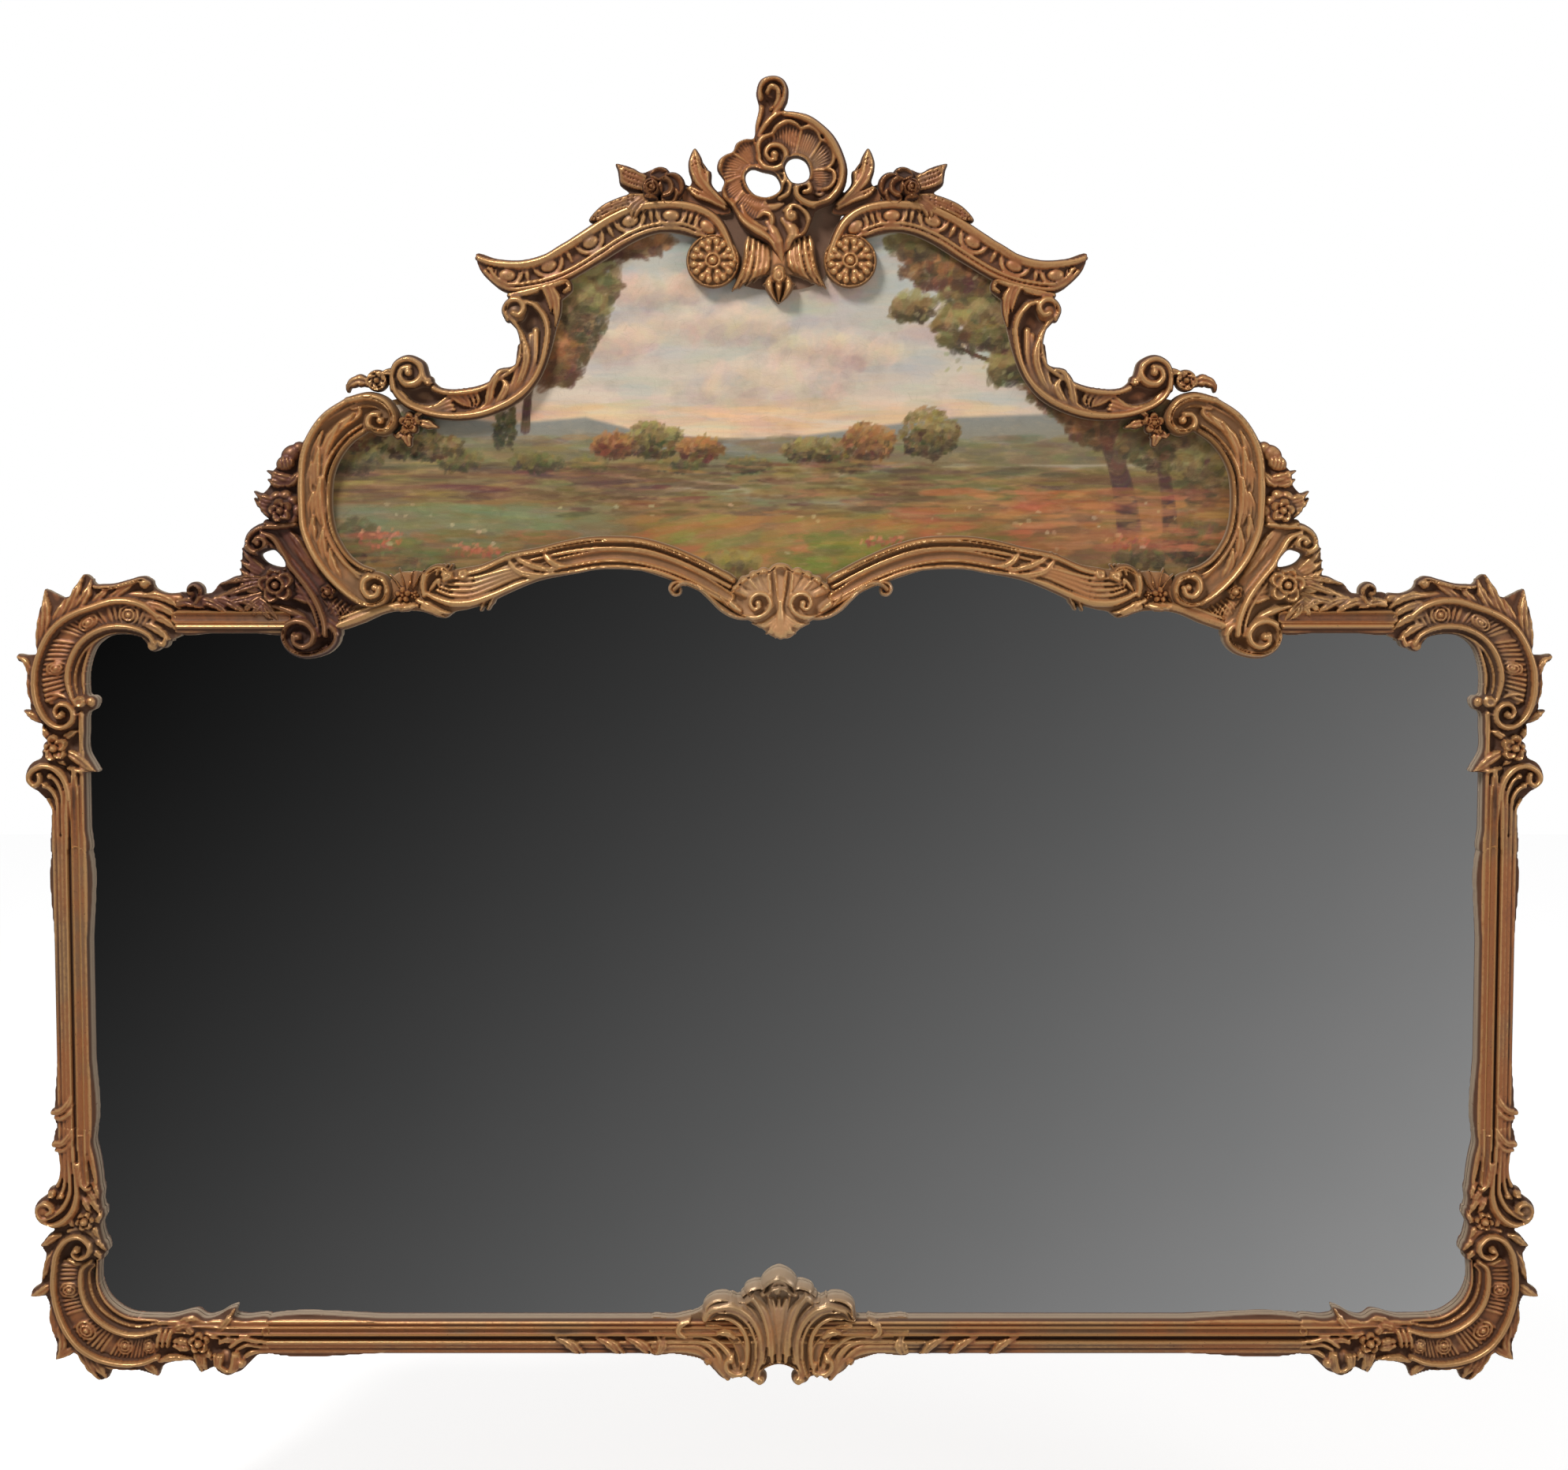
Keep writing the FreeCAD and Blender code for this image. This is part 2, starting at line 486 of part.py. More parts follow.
def hanger_ring():
    """A D of steel wire, hanging from its straight bar in the strap's knuckle."""
    x = PICTURE_AXIS - HANGER_X
    bow_z = RING_Z - RING_LEG
    across, up = FreeCAD.Vector(1, 0, 0), FreeCAD.Vector(0, 0, 1)
    bar = Part.makeCylinder(RING_WIRE, 2 * RING_HALF, at(x - RING_HALF, RING_Z, RING_DEPTH), across)
    pieces = [bar]
    for end in (x - RING_HALF, x + RING_HALF):
        pieces.append(Part.makeSphere(RING_WIRE, at(end, RING_Z, RING_DEPTH)))
        pieces.append(Part.makeCylinder(RING_WIRE, RING_LEG, at(end, bow_z, RING_DEPTH), up))
    wire = Part.Face(Part.Wire(Part.makeCircle(RING_WIRE, at(x - RING_HALF, bow_z, RING_DEPTH), up)))
    bow = wire.revolve(at(x, bow_z, RING_DEPTH), FreeCAD.Vector(0, 1, 0), -180)
    return pieces[0].fuse(pieces[1:] + [bow])


def hanger_screws():
    screws = []
    plate_face = POCKET_DEPTH - STRAP_THICKNESS
    for side in (-1, 1):
        for x, z in hanger_screw_places(side):
            head = pin(x, z, SCREW_HEAD_RADIUS, plate_face - SCREW_HEAD_HEIGHT, plate_face)
            screws.append(head.fuse(pin(x, z, SCREW_RADIUS, plate_face - 0.5, plate_face + SCREW_LENGTH)))
    return Part.makeCompound(screws)


# ---- plain mouldings ----
def moulding_section(point):
    """The section of stiles and rails, from the sight edge outwards. point(out, depth) places it."""
    width, face = MOULDING_WIDTH, MOULDING_DEPTH
    edges = [
        Part.LineSegment(point(0, LAP_DEPTH), point(0, face - 5)),
        Part.LineSegment(point(0, face - 5), point(6, face - 4)),
        Part.Arc(point(6, face - 4), point(11.5, face), point(17, face - 4)),
        Part.LineSegment(point(17, face - 4), point(20, face - 8)),
        Part.Arc(point(20, face - 8), point(28, face - 6), point(36, face - 2)),
        Part.Arc(point(36, face - 2), point(width - 1, face - 6), point(width, face - 12)),
        Part.LineSegment(point(width, face - 12), point(width, LAP_DEPTH)),
        Part.LineSegment(point(width, LAP_DEPTH), point(0, LAP_DEPTH))]
    return Part.Face(Part.Wire([edge.toShape() for edge in edges]))


def stile():
    low, high = SIGHT_LOW + LOWER_CORNER_REACH, SIGHT_HIGH - UPPER_CORNER_REACH
    section = moulding_section(lambda out, depth: at(-SIGHT_HALF - out, low, depth))
    return section.extrude(FreeCAD.Vector(0, 0, high - low))


def bottom_rail():
    """The bottom moulding, with three acanthus wraps on each side of the shell."""
    half = SIGHT_HALF - LOWER_CORNER_LENGTH
    section = moulding_section(lambda out, depth: at(-half, SIGHT_LOW - out, depth))
    run = section.extrude(FreeCAD.Vector(2 * half, 0, 0))
    run = run.cut(board(BOTTOM_SHELL_FACE, RAIL_UNDER_SHELL, BLOSSOM_CREST))
    wraps = []
    for x in (-252, -205, -168):
        wrap = leaf((x - 22, -4), (x + 14, -43), 22, (PICTURE_AXIS, SIGHT_LOW), front=MOULDING_DEPTH + 3)
        wraps += [wrap, other_hand(wrap, PICTURE_AXIS)]
    return joined([run] + wraps)


def top_rail(picture_axis):
    """The left rail between corner and bracket, for a picture part that stands on the given axis."""
    start = -SIGHT_HALF + UPPER_CORNER_LENGTH
    section = moulding_section(lambda out, depth: at(start, SIGHT_HIGH + out, depth))
    run = section.extrude(FreeCAD.Vector(picture_axis - TOP_RAIL_END - start, 0, 0))
    neighbours = [UPPER_CORNER_FACE]
    for face in (GARLAND_FACE, BRACKET_FACE):
        neighbours.append(face.translated(at(picture_axis - PICTURE_AXIS, 0.0)))
    return cut_back(run, neighbours)


# ---- corner cartouches ----
def corner_lower():
    """C-scroll round a ribbed panel with three cabochons, knobs outside and a flower at its foot."""
    outer = [(-5, 91), (-20, 102), (-33, 97), (-47, 71), (-48, 41), (-28, -37), (15, -49), (48, -54),
             (70, -46)]
    inner = [(-5, 71), (-15, 52), (-9, 18), (4, 2), (29, -12), (55, -18), (77, -10)]
    pieces = [
        board(LOWER_CORNER_FACE, LAP_DEPTH, CARVING_FLOOR + 2.0),
        scroll(outer, LOWER_CORNER),
        scroll(inner, LOWER_CORNER, CARVING_CREST, 3.0),
        volute(-SIGHT_HALF - 15, SIGHT_LOW + 87, 10),
        volute(-SIGHT_HALF - 57, SIGHT_LOW + 133, 11, CARVING_CREST),
        volute(-SIGHT_HALF + 155, SIGHT_LOW - 50, 9, CARVING_CREST),
        blossom(-SIGHT_HALF - 10, SIGHT_LOW + 119, 9, 6),
        blossom(-SIGHT_HALF + 123, SIGHT_LOW - 26, 15, 5),
        leaf((-30, 130), (-42, 215), 26, LOWER_CORNER, front=CARVING_CREST),
        leaf((70, -10), (108, -32), 20, LOWER_CORNER)]
    for x, z in ((-30, 37), (-11, -12), (35, -31)):
        pieces.append(pin(x - SIGHT_HALF, z + SIGHT_LOW, BUD_RADIUS, LAP_DEPTH, CARVING_CREST))
    return joined(pieces)


def corner_upper():
    """As the lower corner, with its scroll under the arched top and a flower at the stile."""
    outer = [(-13, -95), (-23, -110), (-47, -95), (-55, -60), (-52, -30), (-35, 14), (18, 31), (66, 24),
             (97, -4)]
    inner = [(-5, -87), (-13, -82), (-16, -60), (-12, -25), (8, 0), (30, 12), (52, 12), (74, 6), (88, -8)]
    pieces = [
        board(UPPER_CORNER_FACE, LAP_DEPTH, CARVING_FLOOR + 2.0),
        scroll(outer, UPPER_CORNER),
        scroll(inner, UPPER_CORNER, CARVING_CREST, 3.0),
        volute(-SIGHT_HALF - 25, SIGHT_HIGH - 94, 11),
        volute(-SIGHT_HALF - 57, SIGHT_HIGH - 168, 12, CARVING_CREST),
        blossom(-SIGHT_HALF - 34, SIGHT_HIGH - 135, 9, 6),
        leaf((-30, -165), (-23, -246), 22, UPPER_CORNER, front=CARVING_CREST)]
    for x, z in ((-31, -43), (4, 9), (53, 17)):
        pieces.append(pin(x - SIGHT_HALF, z + SIGHT_HIGH, BUD_RADIUS, LAP_DEPTH, CARVING_CREST))
    return joined(pieces)


# ---- picture part ----
def shoulder():
    """The big C-scroll at the side of the picture, with an eye at each end."""
    return joined([
        channelled(SHOULDER_FACE),
        volute(PICTURE_AXIS - 464, SIGHT_HIGH + 246, 19),
        volute(PICTURE_AXIS - 475, SIGHT_HIGH + 54, 22)])


def bracket():
    """The scroll that braces the shoulder on the top rail: a pierced ear above, a volute below."""
    stem = [(-602, 104), (-616, 111), (-605, 121), (-580, 108), (-569, 75), (-552, 48), (-536, 14), (-529, -8),
            (-545, -20)]
    solid = joined([
        board(BRACKET_FACE.cut(EAR_HOLE), LAP_DEPTH, CARVING_FLOOR + 2.0),
        scroll(stem, PICTURE),
        volute(PICTURE_AXIS - 608, SIGHT_HIGH + 106, 10),
        volute(PICTURE_AXIS - 553, SIGHT_HIGH - 4, 19, BLOSSOM_CREST),
        blossom(PICTURE_AXIS - 586, SIGHT_HIGH + 54, 21, 5)])
    return cut_back(solid, [SHOULDER_FACE, MID_RAIL_FACE, EAR_HOLE])


def top_garland():
    """Leaves laid along the top rail, ending in a curl beside the corner."""
    solid = joined([
        board(GARLAND_FACE, LAP_DEPTH, CARVING_CREST),
        volute(PICTURE_AXIS - 683, SIGHT_HIGH + 46, 9),
        leaf((-620, 34), (-668, 46), 14, PICTURE, back=CARVING_CREST),
        leaf((-606, 24), (-654, 18), 12, PICTURE, back=CARVING_CREST)])
    return cut_back(solid, [UPPER_CORNER_FACE, BRACKET_FACE])


def side_bouquet():
    """Flowers and leaves on the outer side of the shoulder."""
    solid = joined([
        board(BOUQUET_FACE, LAP_DEPTH, CARVING_CREST),
        blossom(PICTURE_AXIS - 579, SIGHT_HIGH + 140, 14, 6),
        blossom(PICTURE_AXIS - 573, SIGHT_HIGH + 192, 11, 5, front=SCROLL_CREST),
        leaf((-575, 160), (-598, 186), 16, PICTURE),
        leaf((-582, 145), (-612, 161), 16, PICTURE)])
    return cut_back(solid, [SHOULDER_FACE, BRACKET_FACE])


def neck():
    """The leafy scroll that climbs from the shoulder to the arch."""
    solid = joined([
        channelled(NECK_FACE),
        volute(PICTURE_AXIS - 431, SIGHT_HIGH + 301, 19),
        volute(PICTURE_AXIS - 306, SIGHT_HIGH + 370, 12),
        leaf((-290, 392), (-259, 350), 15, PICTURE),
        leaf((-340, 268), (-322, 303), 14, PICTURE, back=CARVING_FLOOR - 1.0)])
    return cut_back(solid, [SHOULDER_FACE, ARCH_FACE])


def shoulder_flowers():
    """A rosette and a flower in the hollow between shoulder and neck."""
    solid = joined([
        blossom(PICTURE_AXIS - 468, SIGHT_HIGH + 291, 13, 6),
        leaf((-472, 290), (-503, 284), 18, PICTURE, front=CARVING_CREST),
        blossom(PICTURE_AXIS - 430, SIGHT_HIGH + 241, 15, 5),
        leaf((-424, 242), (-396, 240), 12, PICTURE, front=CARVING_CREST),
        block(PICTURE_AXIS - 462, PICTURE_AXIS - 440, SIGHT_HIGH + 250, SIGHT_HIGH + 286,
              LAP_DEPTH, CARVING_FLOOR)])
    return cut_back(solid, [SHOULDER_FACE, NECK_FACE])


def arch():
    """Egg and dart moulding that ends round a rosette."""
    eggs = [pin(x + PICTURE_AXIS, z + SIGHT_HIGH, EGG_RADIUS, CARVING_FLOOR - 1.0, EGG_CREST) for x, z in EGGS]
    eye = pin(PICTURE_AXIS + ROSETTE_X, SIGHT_HIGH + ROSETTE_Z, ROSETTE_RADIUS, ROSETTE_SEAT, BLOSSOM_CREST)
    solid = joined([channelled(ARCH_FACE)] + eggs).cut(eye)
    return cut_back(solid, [ROSE_FACE])


def rosette():
    return blossom(PICTURE_AXIS + ROSETTE_X, SIGHT_HIGH + ROSETTE_Z, ROSETTE_RADIUS - 0.5, ROSETTE_PETALS,
                   back=ROSETTE_SEAT, front=SCROLL_CREST)


def rose_spray():
    """An open rose with three leaves, laid over the arch."""
    solid = joined([
        board(ROSE_FACE, LAP_DEPTH, CARVING_CREST),
        pin(PICTURE_AXIS - 134, SIGHT_HIGH + 510, 23, CARVING_CREST, SCROLL_CREST),
        pin(PICTURE_AXIS - 141, SIGHT_HIGH + 511, 14, CARVING_CREST, BLOSSOM_CREST),
        pin(PICTURE_AXIS - 145, SIGHT_HIGH + 511, 7, CARVING_CREST, BLOSSOM_CREST + 4.0),
        leaf((-162, 520), (-190, 538), 14, PICTURE, back=CARVING_CREST),
        leaf((-166, 500), (-222, 476), 16, PICTURE, back=CARVING_CREST)])
    return solid


def crest_leaf():
    """A tall pointed leaf between the rose and the cartouche."""
    solid = joined([
        board(CREST_LEAF_FACE, LAP_DEPTH, CARVING_FLOOR),
        leaf((-74, 492), (-98, 550), 14, PICTURE, front=CARVING_CREST)])
    return cut_back(solid, [ROSE_FACE, ARCH_FACE, CARTOUCHE_FACE])


def crest_cartouche():
    """The pierced shell cartouche at the top: one large and one small C, and a knob above."""
    big_c = [(8, 598), (50, 578), (68, 535), (62, 503), (40, 492), (24, 497), (15, 507)]
    small_c = [(-46, 512), (-35, 501), (-18, 497), (4, 508), (2, 528)]
    foot_s = [(-60, 490), (-46, 470), (-22, 454), (0, 450), (26, 462), (28, 478), (12, 490)]
    pieces = [
        board(CARTOUCHE_FACE.cut(CREST_HOLES), LAP_DEPTH, CARVING_FLOOR + 2.0),
        scroll(big_c, PICTURE, BLOSSOM_CREST, 5.0),
        scroll(small_c, PICTURE),
        scroll(foot_s, PICTURE),
        volute(PICTURE_AXIS - 8, SIGHT_HIGH + 546, 11),
        volute(PICTURE_AXIS + 27, SIGHT_HIGH + 510, 9, BLOSSOM_CREST),
        volute(PICTURE_AXIS + 13, SIGHT_HIGH + 482, 9),
        volute(PICTURE_AXIS - 10, SIGHT_HIGH + 620, 16)]
    for turn in (20, 60, 100, 140):
        angle = math.radians(turn)
        base = (10 + 26 * math.cos(angle), 538 + 22 * math.sin(angle))
        tip = (10 + 46 * math.cos(angle), 538 + 46 * math.sin(angle))
        pieces.append(leaf(base, tip, 16, PICTURE, front=CARVING_CREST))
    for turn in (110, 155, 200):
        angle = math.radians(turn)
        base = (-26 + 22 * math.cos(angle), 518 + 20 * math.sin(angle))
        tip = (-26 + 40 * math.cos(angle), 518 + 40 * math.sin(angle))
        pieces.append(leaf(base, tip, 15, PICTURE, front=CARVING_CREST))
    return cut_back(joined(pieces), CREST_HOLES)


def crest_board():
    """The flat ground between the two arches, behind the crest's foot."""
    ground = board(CREST_BOARD_FACE, LAP_DEPTH, CREST_BOARD_DEPTH)
    neighbours = [ARCH_FACE, CREST_LEAF_FACE]
    neighbours += [other_hand(face, PICTURE_AXIS) for face in neighbours]
    return cut_back(ground, neighbours + [CARTOUCHE_FACE])


def pendant_leaves():
    """Two fans of leaves and a small shell that hang under the cartouche."""
    back = CREST_BOARD_DEPTH
    pieces = [
        block(PICTURE_AXIS - 42, PICTURE_AXIS + 42, SIGHT_HIGH + 420, SIGHT_HIGH + 448, back, back + 6.0),
        leaf((-2, 446), (-2, 378), 34, PICTURE, back, CARVING_CREST),
        pin(PICTURE_AXIS - 2, SIGHT_HIGH + 412, 9, back, SCROLL_CREST)]
    for side in (-1, 1):
        pieces.append(leaf((side * 22, 450), (side * 22, 402), 16, PICTURE, back, SCROLL_CREST))
        pieces.append(leaf((side * 34, 448), (side * 46, 394), 16, PICTURE, back, SCROLL_CREST))
        pieces.append(leaf((side * 12, 440), (side * 22, 400), 16, PICTURE, back, CARVING_CREST))
    solid = joined(pieces)
    return cut_back(solid, [ARCH_FACE, other_hand(ARCH_FACE, PICTURE_AXIS), CARTOUCHE_FACE])


def mid_rail():
    """The bowed rail between glass and picture, with a C-scroll at its outer end."""
    curl = [(-378, 68), (-392, 74), (-408, 66), (-411, 50), (-404, 40), (-380, 32), (-345, 34)]
    solid = joined([
        channelled(MID_RAIL_FACE, 5.0),
        scroll(curl, PICTURE),
        volute(PICTURE_AXIS - 370, SIGHT_HIGH + 68, 6, CARVING_CREST),
        leaf((-352, 52), (-338, 28), 14, PICTURE),
        leaf((-316, 86), (-290, 62), 13, PICTURE, back=CARVING_FLOOR - 1.0)])
    arm = other_hand(shell_arm_face(), PICTURE_AXIS)
    return cut_back(solid, [SHOULDER_FACE, MID_SHELL_FACE, arm])


def mid_spray():
    """A small flower and leaves between the shoulder's eye and the rail's scroll."""
    solid = joined([
        blossom(PICTURE_AXIS - 440, SIGHT_HIGH + 43, 12, 5, front=SCROLL_CREST),
        leaf((-440, 46), (-452, 74), 12, PICTURE, front=CARVING_CREST),
        leaf((-438, 46), (-418, 74), 14, PICTURE, front=CARVING_CREST),
        leaf((-436, 44), (-433, 68), 14, PICTURE, front=CARVING_CREST)])
    return cut_back(solid, [SHOULDER_FACE, MID_RAIL_FACE])


def shell_arm_face():
    arm = arcs(MID_SHELL_ARM, PICTURE, closed=False).makeOffset2D(4.5)
    return Part.Face(arm)


def mid_shell():
    """A scallop shell over two volutes, whose stems run out along the rail as curls."""
    arm = board(shell_arm_face(), LAP_DEPTH, CARVING_CREST)
    pieces = [
        board(MID_SHELL_FACE, LAP_DEPTH, CARVING_CREST),
        arm,
        other_hand(arm, PICTURE_AXIS),
        volute(PICTURE_AXIS + 26, SIGHT_HIGH + 33, 15),
        volute(PICTURE_AXIS - 26, SIGHT_HIGH + 33, 15)]
    for turn in range(-60, 61, 20):
        angle = math.radians(turn)
        base = (12 * math.sin(angle), 30 + 12 * math.cos(angle))
        tip = (45 * math.sin(angle), 30 + 43 * math.cos(angle))
        pieces.append(leaf(base, tip, 9, PICTURE, front=SCROLL_CREST))
    return joined(pieces)


def bottom_shell():
    """The large fronded shell that laps over the bottom rail."""
    origin = (PICTURE_AXIS, SIGHT_LOW)
    pieces = [board(BOTTOM_SHELL_FACE, LAP_DEPTH, CARVING_CREST)]
    pieces.append(leaf((0, -46), (0, 54), 26, origin, front=BLOSSOM_CREST))
    pieces.append(pin(PICTURE_AXIS, SIGHT_LOW + 46, 9, LAP_DEPTH, BLOSSOM_CREST))
    for side in (-1, 1):
        pieces.append(leaf((side * 8, -42), (side * 36, 34), 22, origin, front=BLOSSOM_CREST - 2.0))
        pieces.append(leaf((side * 18, -44), (side * 78, 20), 26, origin, front=SCROLL_CREST))
        pieces.append(leaf((side * 22, -52), (side * 94, -30), 24, origin, front=CARVING_CREST + 3.0))
        pieces.append(volute(PICTURE_AXIS + side * 23, SIGHT_LOW - 70, 8))
    return joined(pieces).cut(bottom_rail())


# ---- the assembly ----
SINGLES = {
    "back_bottom_rail": back_bottom_rail(),
    "back_top_rail_left": back_top_rail(PICTURE_AXIS - UPRIGHT_INNER),
    "back_top_rail_right": other_hand(back_top_rail(-PICTURE_AXIS - UPRIGHT_INNER), 0.0),
    "transom": transom(),
    "cross_batten": cross_batten(),
    "centre_upright": centre_upright(),
    "mirror_glass": mirror_glass(),
    "glass_backboard": glass_backboard(),
    "glazing_fillets": glazing_fillets(),
    "fillet_screws": fillet_screws(),
    "painted_panel": painted_panel(),
    "hanger_screws": hanger_screws(),
    "bottom_rail": bottom_rail(),
    "top_rail_left": top_rail(PICTURE_AXIS),
    "top_rail_right": other_hand(top_rail(-PICTURE_AXIS), 0.0),
    "crest_cartouche": crest_cartouche(),
    "crest_board": crest_board(),
    "pendant_leaves": pendant_leaves(),
    "mid_shell": mid_shell(),
    "bottom_shell": bottom_shell(),
}

FRAME_PAIRS = {
    "back_stile": back_stile(),
    "stile": stile(),
    "corner_lower": corner_lower(),
    "corner_upper": corner_upper(),
}

PICTURE_PAIRS = {
    "upright": upright(),
    "hanger_strap": hanger_strap(),
    "hanger_ring": hanger_ring(),
    "shoulder": shoulder(),
    "bracket": bracket(),
    "top_garland": top_garland(),
    "side_bouquet": side_bouquet(),
    "neck": neck(),
    "shoulder_flowers": shoulder_flowers(),
    "arch": arch(),
    "rosette": rosette(),
    "rose_spray": rose_spray(),
    "crest_leaf": crest_leaf(),
    "mid_rail": mid_rail(),
    "mid_spray": mid_spray(),
}


def main():
    nodes = dict(SINGLES)
    for name, shape in FRAME_PAIRS.items():
        nodes[name + "_left"] = shape
        nodes[name + "_right"] = other_hand(shape, 0.0)
    for name, shape in PICTURE_PAIRS.items():
        nodes[name + "_left"] = shape
        nodes[name + "_right"] = other_hand(shape, PICTURE_AXIS)
    os.makedirs("parts", exist_ok=True)
    for name, shape in nodes.items():
        solids = shape.Solids
        print(name, len(solids), "solid(s)", round(shape.Volume / 1000.0, 1), "cm3", shape.isValid())
        shape.exportStep(os.path.join("parts", name + ".step"))


main()
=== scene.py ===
# Overmantel mirror with a painted panel above the glass, in a carved and gilded frame.
#
# Metres in the part's own frame: +X right, +Z up, the wall plane at y = 0 and the front facing -Y.
# The carved front is drawn in millimetres on one drawing of the whole mirror, whose datum lies
# below the glass's centre line, and each ornament is carved into a block by strokes on that drawing.
import math
import bpy
import numpy as np
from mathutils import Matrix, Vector


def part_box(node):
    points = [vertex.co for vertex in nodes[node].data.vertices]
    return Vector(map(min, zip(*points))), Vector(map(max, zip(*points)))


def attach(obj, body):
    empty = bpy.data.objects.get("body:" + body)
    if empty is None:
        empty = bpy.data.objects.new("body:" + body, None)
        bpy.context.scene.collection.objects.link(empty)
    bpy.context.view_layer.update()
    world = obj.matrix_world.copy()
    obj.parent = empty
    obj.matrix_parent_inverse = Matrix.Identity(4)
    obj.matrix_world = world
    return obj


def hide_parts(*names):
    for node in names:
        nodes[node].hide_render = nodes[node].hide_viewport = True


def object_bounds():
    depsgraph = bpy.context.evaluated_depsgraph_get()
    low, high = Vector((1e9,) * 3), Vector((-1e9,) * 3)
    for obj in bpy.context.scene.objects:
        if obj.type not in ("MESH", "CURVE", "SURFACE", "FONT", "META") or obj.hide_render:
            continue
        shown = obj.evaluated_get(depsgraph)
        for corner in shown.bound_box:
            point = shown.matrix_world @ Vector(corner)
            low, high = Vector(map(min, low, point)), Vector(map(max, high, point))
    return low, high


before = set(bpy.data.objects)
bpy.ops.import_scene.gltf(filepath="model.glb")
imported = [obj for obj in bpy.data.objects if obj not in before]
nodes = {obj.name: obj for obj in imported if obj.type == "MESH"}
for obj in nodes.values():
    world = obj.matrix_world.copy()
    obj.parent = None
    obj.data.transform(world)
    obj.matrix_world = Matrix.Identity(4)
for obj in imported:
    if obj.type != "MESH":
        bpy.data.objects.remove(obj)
cad_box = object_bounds()


# ---- camera, floor and light ----
# A plain white studio. The camera stands a little above the mirror's middle and looks slightly
# down, as the photograph was taken; a dark card behind it is what the glass shows.
CAMERA_PLACE = (-0.0006, -3.4315, 0.9881)
CAMERA_TILT = 4.5
CAMERA_LENS = 67.0
FLOOR_DROP = 0.25
CARD_DISTANCE = 6.0
CARD_SIZE = 9.0
CARD_HEIGHT = 0.75
CARD_ACROSS, CARD_UP, CARD_LEVEL = 0.0813, 0.0821, 0.273    # its shading, over a metre
WORLD_LIGHT = 0.42
FLOOR_HALF = 8.0
FLOOR_GLOW = 0.62


class Value:
    """A socket of a shader node. Arithmetic on it adds Math nodes."""

    def __init__(self, tree, socket):
        self.tree = tree
        self.socket = socket

    def node(self, kind, settings=None, out=0, **inputs):
        """Any node: its type, its settings, and its sockets' values or links by name."""
        made = self.tree.nodes.new("ShaderNode" + kind)
        for key, value in (settings or {}).items():
            setattr(made, key, value)
        for key, value in inputs.items():
            name = key.replace("_", " ").strip()
            socket = made.inputs[int(name)] if name.isdigit() else made.inputs[name]
            if isinstance(value, Value):
                self.tree.links.new(value.socket, socket)
            else:
                socket.default_value = value
        return Value(self.tree, made.outputs[out])

    def maths(self, operation, other=0.0, swap=False):
        first, second = (other, self) if swap else (self, other)
        return self.node("Math", {"operation": operation}, _0=first, _1=second)

    def __add__(self, other): return self.maths("ADD", other)
    def __radd__(self, other): return self.maths("ADD", other)
    def __sub__(self, other): return self.maths("SUBTRACT", other)
    def __rsub__(self, other): return self.maths("SUBTRACT", other, swap=True)
    def __mul__(self, other): return self.maths("MULTIPLY", other)
    def __rmul__(self, other): return self.maths("MULTIPLY", other)
    def __truediv__(self, other): return self.maths("DIVIDE", other)
    def __pow__(self, other): return self.maths("POWER", other)

    def clamp(self):
        return self.node("Clamp", Value=self)

    def between(self, low, high):
        """0 below low, 1 above high and a smooth step from one to the other."""
        return self.node("MapRange", {"interpolation_type": "SMOOTHSTEP"}, Value=self, From_Min=low,
            From_Max=high)

    def mix(self, first, second):
        """A colour between two colours, by this value."""
        pair = {}
        for name, colour in (("_6", first), ("_7", second)):
            pair[name] = colour if isinstance(colour, Value) else (*colour, 1.0)
        return self.node("Mix", {"data_type": "RGBA"}, out=2, _0=self, **pair)

    def blend(self, mode, share, colour):
        """This colour with another laid over it by a share."""
        return self.node("Mix", {"data_type": "RGBA", "blend_type": mode}, out=2, _0=share, _6=self,
            _7=(*colour, 1.0))

    def part(self, axis):
        return self.node("SeparateXYZ", out=axis, Vector=self)

    def noise(self, scale, detail, roughness, stretch=None):
        """Noise over a position, with so many waves to the metre."""
        place = self.node("Mapping", Vector=self, Scale=stretch) if stretch else self
        return self.node("TexNoise", Vector=place, Scale=scale, Detail=detail, Roughness=roughness)


def srgb(*colour):
    """A colour as it is read from a screen, as a linear colour."""
    return tuple(((c / 255 + 0.055) / 1.055) ** 2.4 if c > 10 else c / 255 / 12.92 for c in colour)


def new_material(name):
    """An empty material, as its shader node and a Value from which to start."""
    material = bpy.data.materials.new(name)
    material.use_nodes = True
    shader = material.node_tree.nodes["Principled BSDF"]
    return material, shader, Value(material.node_tree, shader.inputs["Base Color"])


def feed(shader, **inputs):
    """Sets sockets of a shader to numbers, or links values to them."""
    for key, value in inputs.items():
        socket = shader.inputs[key.replace("_", " ")]
        if isinstance(value, Value):
            value.tree.links.new(value.socket, socket)
        else:
            socket.default_value = value


def plain_mesh(name, corners, faces):
    mesh = bpy.data.meshes.new(name)
    mesh.from_pydata(corners, [], faces)
    piece = bpy.data.objects.new(name, mesh)
    bpy.context.scene.collection.objects.link(piece)
    return piece


def card(name, centre, half_x, half_z, half_y=0.0):
    """A flat studio card: upright, or lying when it has a half_y."""
    x, y, z = centre
    if half_y:
        corners = [(x - half_x, y - half_y, z), (x + half_x, y - half_y, z), (x + half_x, y + half_y, z),
            (x - half_x, y + half_y, z)]
    else:
        corners = [(x - half_x, y, z - half_z), (x - half_x, y, z + half_z), (x + half_x, y, z + half_z),
            (x + half_x, y, z - half_z)]
    return plain_mesh(name, corners, [(0, 1, 2, 3)])


